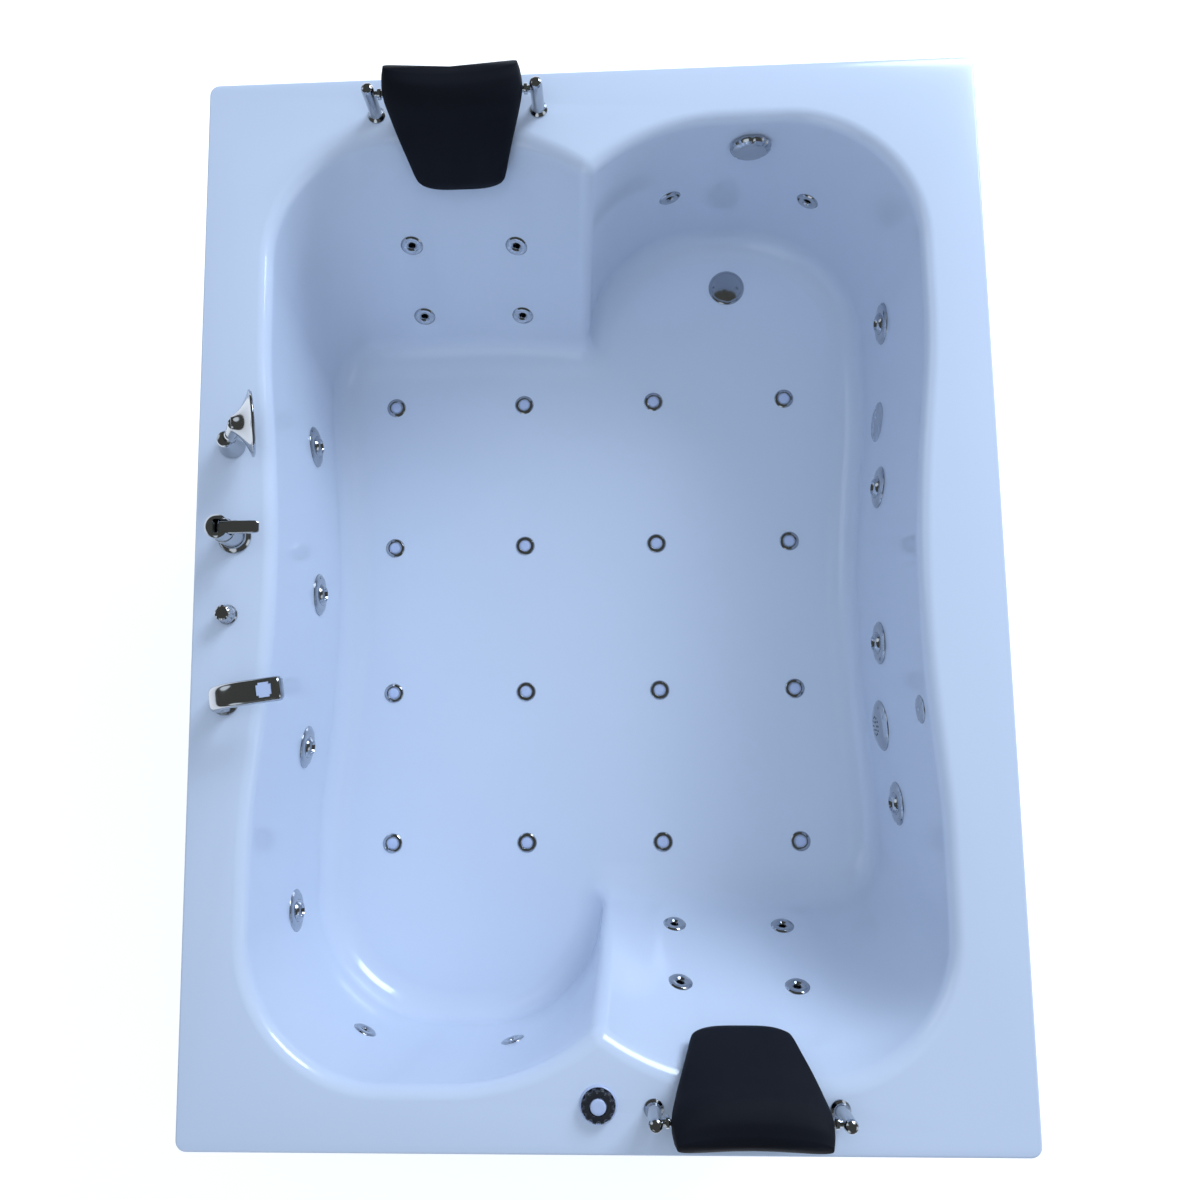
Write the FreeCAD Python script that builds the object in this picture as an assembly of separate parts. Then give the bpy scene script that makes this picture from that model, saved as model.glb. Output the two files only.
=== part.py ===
import FreeCAD, Part
import math
import os

# Two-person jetted bathtub: an acrylic shell on a steel frame, with its jets, waste,
# taps, headrests, pump, blower and pipes. Millimetres. X runs across the tub, Y along
# it, Z up. The origin is on the floor under the middle of the rim.
# The shell is the same when it is turned half round about Z: at +Y the foot well lies at
# +X and the sloping seat at -X, and at -Y the other way round.

Vector = FreeCAD.Vector

# ------------------------------------------------------------------ overall sizes
TUB_LENGTH = 1830.0
TUB_WIDTH = 1360.0
RIM_HEIGHT = 600.0
BASIN_DEPTH = 480.0
SHELL_WALL = 8.0
RIM_CORNER_RADIUS = 18.0
LIP_DROP = 30.0
LIP_WALL = 6.0

# ------------------------------------------------------------------ basin outline
RIM_ROLL = 22.0             # radius of the rolled edge between deck and wall
FLOOR_ROUND = 55.0          # radius between wall and floor
FOOT_END_DECK = 80.0        # deck width beyond the foot well, to the rolled edge
SEAT_END_DECK = 83.0
FOOT_SIDE_DECK = 83.0
SEAT_SIDE_DECK = 97.0
WAIST_SIDE_DECK = 128.0
SIDE_DRAFT = 15.0           # how far the side walls come in between rim and floor
FOOT_END_DRAFT = 3.0
SEAT_RECLINE = 245.0        # how far the backrest comes in between rim and floor
LOBE_START_SHARE = 0.437    # of the half length, from the middle to where the waist ends
WAIST_ROUNDNESS = 0.015625  # radius per square of the distance from the middle to the waist's end
LOBE_EASE_ROUNDNESS = 0.0075
FOOT_CORNER_TOP = 228.0
FOOT_CORNER_FLOOR = 262.0
SEAT_CORNER_TOP = 228.0
SEAT_CORNER_FLOOR = 100.0
NOSE_FROM_END = 189.0       # the nose between seat and foot well, from the rim's end
NOSE_RECLINE = 170.0
NOSE_SHIFT = 8.0
NOSE_RADIUS_TOP = 26.0
NOSE_RADIUS_FLOOR = 16.0
FOOT_SHOULDER_TOP = 120.0
FOOT_SHOULDER_FLOOR = 18.0
SEAT_SHOULDER_TOP = 120.0
SEAT_SHOULDER_FLOOR = 130.0
SHOULDER_SHARE = 0.84       # how much of the edge beside the nose is rounded

# ------------------------------------------------------------------ fits
SEAT_SINK = 0.5             # depth of the flat that is faced on the wall for a fitting
HOLE_CLEARANCE = 0.5        # between a fitting's tail and its hole in the shell
THREAD_CLEARANCE = 0.3
RUN_CLEARANCE = 0.3
SHAFT_CLEARANCE = 0.05
PUSH_CLEARANCE = 0.2

# ------------------------------------------------------------------ frame
TUBE_SIZE = 30.0
TUBE_WALL = 2.0
RAIL_BOTTOM = 34.0
UPRIGHT_TO_LIP = 3.0
END_RAIL_FROM_END = 30.0
MID_RAIL_SHARE = 0.517      # of the way to the outer rail
OUTER_RAIL_FROM_END = 315.0
RIGHT_POST_Y = 60.0
LEFT_POST_Y = 167.0
BEARER_WIDTH = 60.0
BEARER_COLUMNS = (-286.0, -10.0, 266.0)
OUTER_BEARER_OFFSET = 140.0
BOARD_WIDTH = 380.0
BOARD_THICK = 12.0
FOOT_PAD_RADIUS = 22.0
FOOT_PAD_THICK = 8.0
FOOT_STUD_RADIUS = 6.0
FOOT_NUT_ACROSS = 19.0
FOOT_NUT_THICK = 10.0
FOOT_STUD_ABOVE = 20.0

# ------------------------------------------------------------------ side jets
SIDE_JET_DEPTH = 275.0
RIGHT_JET_Y = (535.0, 209.0, -89.0, -386.0)
LEFT_JET_Y = (314.0, 20.0, -272.0, -575.0)
JET_BEZEL_RADIUS = 40.0
JET_BEZEL_THICK = 6.0
JET_TAIL_RADIUS = 28.0
JET_TAIL_LENGTH = 26.0
JET_BALL_RADIUS = 23.0
JET_BALL_SINK = 5.0
JET_BALL_FRONT = 13.0
JET_BALL_BACK = 16.0
JET_NOZZLE_BORE = 9.0
JET_BODY_RADIUS = 32.0
JET_BODY_FLANGE = 37.0
JET_BODY_LENGTH = 44.0
JET_SPIGOT_RADIUS = 9.0

# ------------------------------------------------------------------ small jets
MICRO_BEZEL_RADIUS = 22.0
MICRO_BEZEL_THICK = 4.0
MICRO_TAIL_RADIUS = 12.0
MICRO_TAIL_LENGTH = 20.0
MICRO_BORE = 6.0
MICRO_BODY_RADIUS = 16.0
MICRO_BODY_LENGTH = 28.0
BACK_JET_COLUMNS = (143.0, 348.0)
BACK_JET_DEPTHS = (220.0, 380.0)
FOOT_JET_COLUMNS = (160.0, 430.0)
FOOT_JET_DEPTH = 260.0
FLUTE_WIDTH = 85.0
FLUTE_DEPTH = 4.0
FLUTE_TOP_DEPTH = 75.0
FLUTE_FLOOR_DEPTH = 425.0

# ------------------------------------------------------------------ floor air jets
AIR_JET_FROM_SIDE = 266.0   # from the rim's edge to the outer air jets, before the shift
AIR_JET_FROM_END = 454.5
AIR_JET_CENTRE_X = -10.0
AIR_JET_CENTRE_Y = -7.0
AIR_JET_COUNT = 4
AIR_CAP_RADIUS = 20.0
AIR_CAP_THICK = 4.0
AIR_TAIL_RADIUS = 9.0
AIR_TAIL_LENGTH = 16.0
AIR_BODY_RADIUS = 14.0
AIR_PIPE_RADIUS = 9.0
AIR_PIPE_WALL = 2.0
AIR_PIPE_BELOW = 17.0       # from the shell's underside down to the pipe's axis
AIR_HEADER_FROM_END = 385.0

# ------------------------------------------------------------------ other wall fittings
SUCTION_Y = -242.0
SUCTION_DEPTH = 320.0
SUCTION_RADIUS = 48.0
SUCTION_TAIL_RADIUS = 26.0
SUCTION_PIPE_RADIUS = 25.0
LIGHT_Y = 351.0
LIGHT_DEPTH = 320.0
LIGHT_RADIUS = 39.0
LIGHT_TAIL_RADIUS = 27.0
SENSOR_Y = -222.0
SENSOR_DEPTH = 62.0
SENSOR_RADIUS = 24.0
SENSOR_TAIL_RADIUS = 11.0

# ------------------------------------------------------------------ waste and overflow
WASTE_X = 290.0
WASTE_FROM_END = 212.0
WASTE_FLANGE_RADIUS = 38.0
WASTE_FLANGE_THICK = 4.0
WASTE_TAIL_RADIUS = 26.0
WASTE_PLUG_RADIUS = 31.0
WASTE_PIPE_RADIUS = 20.0
WASTE_PIPE_WALL = 2.5
WASTE_PIPE_BELOW = 26.0
WASTE_BODY_RADIUS = 31.0
WASTE_SPIGOT = 40.0
WASTE_CUP_BELOW = 4.0         # from the outlet pipe down to the cup's underside
WASTE_OUTLET_FROM_EDGE = 80.0
WASTE_PIPE_BODY_RADIUS = 22.0
WASTE_COLLAR_RADIUS = 24.0
WASTE_COLLAR_LENGTH = 10.0
PLUG_LIFT = 10.0
OVERFLOW_X = 299.0
OVERFLOW_DEPTH = 88.0
OVERFLOW_RADIUS = 38.0
OVERFLOW_TAIL_RADIUS = 24.0

# ------------------------------------------------------------------ taps on the deck
TAP_DECK_FROM_EDGE = 62.0   # from the rim's long edge to the middle of the tap deck
MIXER_Y = 82.0
MIXER_FROM_EDGE = 70.0
MIXER_BASE_RADIUS = 29.0
MIXER_BODY_RADIUS = 21.0
MIXER_BODY_HEIGHT = 62.0
MIXER_CAP_RADIUS = 20.0
MIXER_CAP_HEIGHT = 36.0
LEVER_LENGTH = 67.0
LEVER_WIDTH = 22.0
LEVER_THICK = 9.0
DIVERTER_Y = -52.0
KNOB_RADIUS = 17.0
KNOB_HEIGHT = 34.0
SPOUT_Y = -198.0
SPOUT_BASE_RADIUS = 24.0
SPOUT_WIDTH = 40.0
SPOUT_THICK = 26.0
SPOUT_HEIGHT = 105.0
SPOUT_REACH = 122.0
SPOUT_TURN = 8.0
SPOUT_MOUTH_LENGTH = 26.0
SPOUT_MOUTH_FROM_TIP = 8.0
SPOUT_MOUTH_WALL = 7.0
SPOUT_MOUTH_ROOF = 2.0
SPOUT_BEND = 52.0
SHOWER_Y = 243.0
HOLDER_RADIUS = 23.5
HOLDER_HEIGHT = 46.0
HANDLE_RADIUS = 11.0
TAIL_THREAD_RADIUS = 10.5   # G 1/2 supply tails
TAIL_SPACING = 44.0
VALVE_DROP = 105.0
SUPPLY_PIPE_RADIUS = 8.0

# ------------------------------------------------------------------ air dial
DIAL_X = -3.0
DIAL_FROM_END = 77.0
DIAL_BEZEL_RADIUS = 30.0
DIAL_RING_RADIUS = 26.5
DIAL_BUTTON_RADIUS = 12.5
DIAL_BUTTON_GAP = 4.5
DIAL_HEIGHT = 16.0
DIAL_FLUTES = 12
BUTTON_TRAVEL = 3.0

# ------------------------------------------------------------------ headrests
REST_CENTRE_X = 229.0
REST_POST_SPACING = 290.0
REST_POST_FROM_END = 71.0
REST_ROD_HEIGHT = 66.0
REST_POST_RADIUS = 11.0
REST_FLANGE_RADIUS = 16.0
REST_POST_HEIGHT = 90.0
REST_ROD_RADIUS = 6.0

# ------------------------------------------------------------------ pump and blower
PUMP_FROM_EDGE = 350.0      # from the rim's long edge to the middle of the pump's board
MOTOR_RADIUS = 62.0
MOTOR_LENGTH = 170.0
MOTOR_WALL = 5.0
STATOR_BORE = 34.0
ROTOR_RADIUS = 33.0
PUMP_SHAFT_RADIUS = 8.0
VOLUTE_RADIUS = 70.0
VOLUTE_WIDTH = 62.0
IMPELLER_RADIUS = 52.0
PUMP_AXIS_ABOVE_BOARD = 74.0
PUMP_PORT_RADIUS = 25.0
FAN_COVER_LENGTH = 46.0
FAN_RADIUS = 50.0
BLOWER_FROM_EDGE = 380.0
BLOWER_FROM_END = 173.0
BLOWER_RADIUS = 88.0
BLOWER_HEIGHT = 96.0
BLOWER_MOTOR_RADIUS = 48.0
BLOWER_MOTOR_HEIGHT = 62.0
BLOWER_WHEEL_RADIUS = 72.0
BLOWER_SHAFT_RADIUS = 5.0
BLOWER_WALL = 4.0
BLOWER_PORT_RADIUS = 19.0
PIPE_WALL = 2.5
HEADER_RADIUS = 13.0

# ------------------------------------------------------------------ smaller sizes
END_POST_X = 150.0
DECK_TAIL_RADIUS = 8.0
DECK_TAIL_LENGTH = 14.0
DECK_NUT_RADIUS = 15.0
DECK_NUT_THICK = 7.0
SEAL_THICK = 2.0
JET_BODY_FROM_WALL = 30.0
HEADER_ABOVE_JETS = 53.0
HEADER_LANE_FROM_EDGE = 68.0
HEADER_END_X = 118.0
HEADER_RUN_OUT = 22.0
HEADER_BEND = 40.0
FOOT_CORNER_FROM_END = 225.0
SEAT_CORNER_FROM_END = 315.0
SUCTION_BEND = 36.0
PLUG_STEM_RADIUS = 4.0
OVERFLOW_DROP_FROM_END = 28.0
OVERFLOW_SLOTS = 8
WASTE_BEND = 42.0
CARTRIDGE_RADIUS = 12.0
LEVER_PIVOT_X = 3.0
LEVER_PIVOT_UP = 20.0
LEVER_BOSS_RADIUS = 6.5
LEVER_PIN_RADIUS = 2.5
VALVE_RADIUS = 20.0
TAIL_LENGTH = 26.0
KNOB_STEM_RADIUS = 5.0
KNOB_GRIPS = 10
SHOWER_PIPE_FROM_EDGE = 90.0
SHOWER_PIPE_CORNERS = (50.0, 40.0)  # from the diverter and from the holder
SUPPLY_PIPE_DROP = 45.0
SHOWER_PIPE_DROP = 70.0
SUPPLY_BEND = 14.0
SPOUT_FALL = 12.0
HANDLE_WAY = (0.45, 0.16, 0.88)
HANDLE_LENGTH = 72.0
HOLDER_STEM_RADIUS = 8.0
HEAD_WAY = (0.94, 0.10, -0.33)
HEAD_RADIUS = 56.0
HEAD_DEPTH = 36.0
DIAL_STEM_BORE = 5.0
DIAL_CAN_RADIUS = 19.0
DIAL_CAN_DEPTH = 44.0
DIAL_STEM_LENGTH = 30.0
REST_SLOPE = 53.6
REST_SECTIONS = (
    (-46.0, 0.0, 216.0, 24.0),
    (-30.0, 0.0, 236.0, 58.0),
    (0.0, 0.0, 242.0, 76.0),
    (36.0, 5.0, 226.0, 62.0),
    (76.0, 14.0, 200.0, 40.0),
    (120.0, 13.0, 176.0, 32.0),
    (158.0, 9.0, 160.0, 24.0),
    (172.0, 7.0, 150.0, 9.0),
)
PUMP_FACE_FROM_EDGE = 260.0
PUMP_PORT_FROM_EDGE = 229.0
PUMP_PORT_TOP = 250.0
PUMP_INLET_FROM_EDGE = 158.0
MOTOR_FINS = 24
TERMINAL_HALF_WIDTH = 30.0
IMPELLER_VANES = 6
FAN_BLADES = 8
BLOWER_VANES = 24
CONTROL_X = -20.0
CONTROL_SIZE = (150.0, 60.0, 120.0)

# ------------------------------------------------------------------ worked out
HALF_LENGTH = TUB_LENGTH / 2
HALF_WIDTH = TUB_WIDTH / 2
LOBE_START = round(HALF_LENGTH * LOBE_START_SHARE)
WAIST_RADIUS = WAIST_ROUNDNESS * LOBE_START ** 2
LOBE_EASE_RADIUS = LOBE_EASE_ROUNDNESS * LOBE_START ** 2
FLOOR_TOP = RIM_HEIGHT - BASIN_DEPTH
FLOOR_UNDER = FLOOR_TOP - SHELL_WALL
DECK_UNDER = RIM_HEIGHT - SHELL_WALL
RAIL_TOP = RAIL_BOTTOM + TUBE_SIZE
BOARD_TOP = RAIL_TOP + BOARD_THICK
END_RAIL_Y = HALF_LENGTH - END_RAIL_FROM_END
OUTER_RAIL_Y = HALF_LENGTH - OUTER_RAIL_FROM_END
MID_RAIL_Y = round(OUTER_RAIL_Y * MID_RAIL_SHARE)
SIDE_RAIL_X = HALF_WIDTH - LIP_WALL - UPRIGHT_TO_LIP - TUBE_SIZE / 2
TAP_DECK_X = -HALF_WIDTH + TAP_DECK_FROM_EDGE
AIR_JET_SPACING_X = (HALF_WIDTH - AIR_JET_FROM_SIDE) * 2 / (AIR_JET_COUNT - 1)
AIR_JET_SPACING_Y = (HALF_LENGTH - AIR_JET_FROM_END) * 2 / (AIR_JET_COUNT - 1)
AIR_HEADER_Y = HALF_LENGTH - AIR_HEADER_FROM_END
HEADER_LANE_X = HALF_WIDTH - HEADER_LANE_FROM_EDGE
FOOT_CORNER_Y = HALF_LENGTH - FOOT_CORNER_FROM_END
SEAT_CORNER_Y = HALF_LENGTH - SEAT_CORNER_FROM_END
WASTE_OUTLET_X = HALF_WIDTH - WASTE_OUTLET_FROM_EDGE
OVERFLOW_DROP_Y = HALF_LENGTH - OVERFLOW_DROP_FROM_END
SHOWER_PIPE_X = -HALF_WIDTH + SHOWER_PIPE_FROM_EDGE
PUMP_X = HALF_WIDTH - PUMP_FROM_EDGE
PUMP_FACE_X = HALF_WIDTH - PUMP_FACE_FROM_EDGE
PUMP_PORT_X = HALF_WIDTH - PUMP_PORT_FROM_EDGE
PUMP_INLET_X = HALF_WIDTH - PUMP_INLET_FROM_EDGE
BLOWER_X = -HALF_WIDTH + BLOWER_FROM_EDGE
BLOWER_Y = HALF_LENGTH - BLOWER_FROM_END
BACK_SLOPE = SEAT_RECLINE / BASIN_DEPTH
UP = Vector(0, 0, 1)
HEADER_HEIGHT = RIM_HEIGHT - SIDE_JET_DEPTH + HEADER_ABOVE_JETS
STACK = 10.0                # how far a cutting tool runs past what it cuts


# ------------------------------------------------------------------ small helpers
def save(name, *shapes):
    """Writes one node: a single solid, or a group of separate ones."""
    solids = [solid for shape in shapes for solid in shape.Solids]
    shape = solids[0] if len(solids) == 1 else Part.makeCompound(solids)
    shape.exportStep("parts/" + name + ".step")
    print(name, len(solids), round(shape.Volume / 1000.0, 1), shape.isValid())


def aim(shape, origin, axis):
    """Moves a shape that was built along +Z from the origin to a place and direction."""
    turn = FreeCAD.Rotation(UP, axis)
    moved = shape.copy()
    moved.Placement = FreeCAD.Placement(origin, turn)
    return moved


def rod(radius, start, end, origin=Vector(0, 0, 0), axis=UP):
    """A round bar between two distances along an axis through origin."""
    bar = Part.makeCylinder(radius, end - start, Vector(0, 0, start), UP)
    return aim(bar, origin, axis)


def turned(profile, origin=Vector(0, 0, 0), axis=UP):
    """A turned piece: profile is a closed list of (radius, distance along the axis)."""
    points = [Vector(radius, 0, along) for radius, along in profile]
    face = Part.Face(Part.makePolygon(points + [points[0]]))
    return aim(face.revolve(Vector(0, 0, 0), UP, 360), origin, axis)


def block(low, high):
    """A box between two corners."""
    size = [b - a for a, b in zip(low, high)]
    return Part.makeBox(size[0], size[1], size[2], Vector(*low))


def fused(shapes):
    """One solid out of pieces that touch or overlap."""
    shapes = list(shapes)
    return shapes[0].multiFuse(shapes[1:]).removeSplitter()


def ring_of(shape, count):
    """Copies of a shape, evenly round the Z axis."""
    copies = []
    for step in range(count):
        copy = shape.copy()
        copy.rotate(Vector(0, 0, 0), UP, 360.0 * step / count)
        copies.append(copy)
    return copies


def half_turn(shape):
    """The same piece on the other end of the tub."""
    copy = shape.copy()
    copy.rotate(Vector(0, 0, 0), UP, 180)
    return copy


def blend(top, floor, depth):
    """A value that runs evenly from the rim to the basin's floor."""
    return top + (floor - top) * depth / BASIN_DEPTH


def bent_bar(points, radius, bend):
    """A solid bar along straight runs that are joined by arcs of one radius."""
    edges = []
    start = points[0]
    for before, corner, after in zip(points, points[1:], points[2:]):
        into = (corner - before).normalize()
        out = (after - corner).normalize()
        turn = into.getAngle(out)
        if turn < 0.001:
            continue
        tangent = bend * math.tan(turn / 2)
        first = corner - into * tangent
        last = corner + out * tangent
        middle_way = (out - into).normalize()
        middle = corner + middle_way * (bend / math.cos(turn / 2) - bend)
        edges.append(Part.LineSegment(start, first).toShape())
        edges.append(Part.Arc(first, middle, last).toShape())
        start = last
    edges.append(Part.LineSegment(start, points[-1]).toShape())
    path = Part.Wire(edges)
    heading = (points[1] - points[0]).normalize()
    ring = Part.Wire(Part.makeCircle(radius, points[0], heading))
    sweep = Part.BRepOffsetAPI.MakePipeShell(path)
    sweep.add(ring, False, False)
    sweep.build()
    sweep.makeSolid()
    return sweep.shape()


def bent_pipe(points, radius, wall, bend):
    """A hollow pipe, open at both ends."""
    points = [Vector(*point) for point in points]
    return bent_bar(points, radius, bend).cut(bent_bar(points, radius - wall, bend))


# ------------------------------------------------------------------ basin outline
def outline_corners(depth):
    """Corners of the wall line at a depth below the rim: (x, y, rounding radius).

    They run counter-clockwise from the waist at +X. The second half is the first,
    turned half round.
    """
    side_x = HALF_WIDTH - RIM_ROLL - blend(0.0, SIDE_DRAFT, depth)
    foot_x = side_x - FOOT_SIDE_DECK
    seat_x = side_x - SEAT_SIDE_DECK
    waist_x = side_x - WAIST_SIDE_DECK
    foot_y = HALF_LENGTH - RIM_ROLL - FOOT_END_DECK - blend(0.0, FOOT_END_DRAFT, depth)
    seat_y = HALF_LENGTH - SEAT_END_DECK - RIM_ROLL - BACK_SLOPE * depth
    nose_x = blend(0.0, -NOSE_SHIFT, depth)
    nose_y = HALF_LENGTH - NOSE_FROM_END - blend(0.0, NOSE_RECLINE, depth)
    foot_shoulder = blend(FOOT_SHOULDER_TOP, FOOT_SHOULDER_FLOOR, depth)
    seat_shoulder = -blend(SEAT_SHOULDER_TOP, SEAT_SHOULDER_FLOOR, depth)

    def shoulder_radius(x, y):
        """Radius that rounds most of the edge between the nose and a shoulder."""
        edge = math.hypot(x - nose_x, y - nose_y)
        turn = math.atan2(y - nose_y, abs(x - nose_x))
        return SHOULDER_SHARE * edge / math.tan(turn / 2)

    half = [
        (waist_x, 0.0, WAIST_RADIUS),
        (foot_x, LOBE_START, LOBE_EASE_RADIUS),
        (foot_x, foot_y, blend(FOOT_CORNER_TOP, FOOT_CORNER_FLOOR, depth)),
        (foot_shoulder, foot_y, shoulder_radius(foot_shoulder, foot_y)),
        (nose_x, nose_y, blend(NOSE_RADIUS_TOP, NOSE_RADIUS_FLOOR, depth)),
        (seat_shoulder, seat_y, shoulder_radius(seat_shoulder, seat_y)),
        (-seat_x, seat_y, blend(SEAT_CORNER_TOP, SEAT_CORNER_FLOOR, depth)),
        (-seat_x, LOBE_START, LOBE_EASE_RADIUS),
    ]
    return half + [(-x, -y, radius) for x, y, radius in half]


def outline_parts(depth, inset):
    """The outline at a depth, moved inwards by inset, as rounded corners in order.

    Each part is (start, middle, end, centre, radius, bulge): bulge is +1 where the
    basin bulges out and -1 where the shell pokes in.
    """
    corners = outline_corners(depth)
    parts = []
    for index, (x, y, radius) in enumerate(corners):
        before = corners[index - 1]
        after = corners[(index + 1) % len(corners)]
        corner = Vector(x, y, 0)
        into = (corner - Vector(before[0], before[1], 0)).normalize()
        out = (Vector(after[0], after[1], 0) - corner).normalize()
        bulge = 1.0 if into.cross(out).z > 0 else -1.0
        turn = into.getAngle(out)
        tangent = radius * math.tan(turn / 2)
        to_centre = (out - into).normalize()
        centre = corner + to_centre * (radius / math.cos(turn / 2))
        start = corner - into * tangent
        end = corner + out * tangent
        moved_radius = radius - bulge * inset
        scale = moved_radius / radius
        start = centre + (start - centre) * scale
        end = centre + (end - centre) * scale
        middle = centre - to_centre * moved_radius
        parts.append((start, middle, end, centre, moved_radius, bulge))
    return parts


def outline_wire(depth, inset, height):
    """The closed wire of the outline at a height."""
    lift = Vector(0, 0, height)
    parts = outline_parts(depth, inset)
    edges = []
    for index, (start, middle, end, _, _, _) in enumerate(parts):
        following = parts[(index + 1) % len(parts)][0]
        edges.append(Part.Arc(start + lift, middle + lift, end + lift).toShape())
        edges.append(Part.LineSegment(end + lift, following + lift).toShape())
    return Part.Wire(edges)


def outline_hit(start_x, start_y, way_x, way_y, depth, inset=0.0):
    """Where a straight line from inside the basin meets the wall, and the wall's normal.

    Gives the point and the unit vector that points into the basin, both level.
    """
    origin = Vector(start_x, start_y, 0)
    way = Vector(way_x, way_y, 0).normalize()
    parts = outline_parts(depth, inset)
    found = []
    for index, (start, middle, end, centre, radius, bulge) in enumerate(parts):
        following = parts[(index + 1) % len(parts)][0]
        run = following - end
        cross = way.cross(run).z
        if abs(cross) > 1e-9:
            distance = (end - origin).cross(run).z / cross
            share = (end - origin).cross(way).z / cross
            if distance > 0 and -1e-9 <= share <= 1 + 1e-9:
                found.append((distance, Vector(-run.y, run.x, 0).normalize()))
        offset = origin - centre
        along = offset.dot(way)
        root = along * along - offset.dot(offset) + radius * radius
        if root < 0:
            continue
        half_angle = (start - centre).getAngle(middle - centre)
        for sign in (-1.0, 1.0):
            distance = -along + sign * math.sqrt(root)
            spoke = origin + way * distance - centre
            if distance > 0 and spoke.getAngle(middle - centre) <= half_angle + 1e-9:
                found.append((distance, spoke.normalize() * -bulge))
    distance, normal = min(found, key=lambda hit: hit[0])
    return origin + way * distance, normal


def wall_place(start_x, start_y, way_x, way_y, depth):
    """Point on the basin's wall at a depth, and the wall's normal into the basin."""
    point, level = outline_hit(start_x, start_y, way_x, way_y, depth)
    lower, _ = outline_hit(start_x, start_y, way_x, way_y, depth + 1.0)
    draft = (lower - point).dot(level)
    normal = (level + UP * draft).normalize()
    return point + UP * (RIM_HEIGHT - depth), normal


# ------------------------------------------------------------------ where things sit
def side_places(depth, right, left):
    """Places on the right wall, then on the left one."""
    places = [wall_place(0.0, y, 1.0, 0.0, depth) for y in right]
    places += [wall_place(0.0, y, -1.0, 0.0, depth) for y in left]
    return places


def back_jet_places():
    """Places on both backrests, in the bottom of the flutes."""
    places = []
    for depth in BACK_JET_DEPTHS:
        for x in BACK_JET_COLUMNS:
            point, normal = wall_place(-x, 0.0, 0.0, 1.0, depth)
            places.append((point - normal * FLUTE_DEPTH, normal))
    return places + [turn_place(place) for place in places]


def foot_jet_places():
    """Places on the end walls of both foot wells."""
    places = [wall_place(x, 0.0, 0.0, 1.0, FOOT_JET_DEPTH) for x in FOOT_JET_COLUMNS]
    return places + [turn_place(place) for place in places]


def turn_place(place):
    """A place moved to the other end of the tub."""
    point, normal = place
    return Vector(-point.x, -point.y, point.z), Vector(-normal.x, -normal.y, normal.z)


def air_jet_places():
    """Places of the air jets on the basin's floor."""
    middle = (AIR_JET_COUNT - 1) / 2
    places = []
    for column in range(AIR_JET_COUNT):
        for row in range(AIR_JET_COUNT):
            x = AIR_JET_CENTRE_X + (column - middle) * AIR_JET_SPACING_X
            y = AIR_JET_CENTRE_Y + (row - middle) * AIR_JET_SPACING_Y
            places.append((Vector(x, y, FLOOR_TOP), UP))
    return places


def behind(place, distance):
    """Point on a fitting's axis behind the wall's inner face."""
    point, normal = place
    return point - normal * distance


def small_pipe_point(place):
    """Point of the pipe that runs behind a small jet's body."""
    return behind(place, SHELL_WALL - SEAT_SINK + MICRO_BODY_LENGTH + HEADER_RADIUS - 2)


SIDE_JETS = side_places(SIDE_JET_DEPTH, RIGHT_JET_Y, LEFT_JET_Y)
BACK_JETS = back_jet_places()
FOOT_JETS = foot_jet_places()
AIR_JETS = air_jet_places()
PUMP_Y = small_pipe_point(BACK_JETS[4]).y
SUCTION = wall_place(0.0, SUCTION_Y, 1.0, 0.0, SUCTION_DEPTH)
LIGHT = wall_place(0.0, LIGHT_Y, 1.0, 0.0, LIGHT_DEPTH)
SENSOR = wall_place(0.0, SENSOR_Y, 1.0, 0.0, SENSOR_DEPTH)
OVERFLOW = wall_place(OVERFLOW_X, 0.0, 0.0, 1.0, OVERFLOW_DEPTH)
WASTE = (Vector(WASTE_X, HALF_LENGTH - WASTE_FROM_END, FLOOR_TOP), UP)
MIXER = Vector(-HALF_WIDTH + MIXER_FROM_EDGE, MIXER_Y, RIM_HEIGHT)
DIVERTER = Vector(TAP_DECK_X, DIVERTER_Y, RIM_HEIGHT)
SPOUT = Vector(TAP_DECK_X, SPOUT_Y, RIM_HEIGHT)
SHOWER = Vector(TAP_DECK_X, SHOWER_Y, RIM_HEIGHT)
DIAL = Vector(DIAL_X, -HALF_LENGTH + DIAL_FROM_END, RIM_HEIGHT)
REST_POST_Y = HALF_LENGTH - REST_POST_FROM_END
REST_POSTS = [
    Vector(side * REST_CENTRE_X + shift * REST_POST_SPACING / 2, -side * REST_POST_Y, RIM_HEIGHT)
    for side in (-1, 1)
    for shift in (-1, 1)
]


# ------------------------------------------------------------------ shell
def basin_levels(wall):
    """Depth, wall-line depth and inset of each section, for a skin wall mm outside."""
    levels = []
    for angle in (0, 30, 60, 90):
        sine = math.sin(math.radians(angle))
        cosine = math.cos(math.radians(angle))
        reach = RIM_ROLL - wall
        levels.append((RIM_ROLL - reach * cosine, -RIM_ROLL + reach * sine))
    start = RIM_ROLL
    end = BASIN_DEPTH - FLOOR_ROUND
    for share in (0.3, 0.65, 1.0):
        levels.append((start + (end - start) * share, -wall))
    for angle in (25, 45, 67, 90):
        sine = math.sin(math.radians(angle))
        cosine = math.cos(math.radians(angle))
        reach = FLOOR_ROUND + wall
        levels.append((end + reach * sine, FLOOR_ROUND - reach * cosine))
    return levels


def basin(wall):
    """The basin's space, grown outwards by wall."""
    wires = []
    for depth, inset in basin_levels(wall):
        line_depth = min(depth, BASIN_DEPTH)
        wires.append(outline_wire(line_depth, inset, RIM_HEIGHT - depth))
    return Part.makeLoft(wires, True, True)


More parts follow.
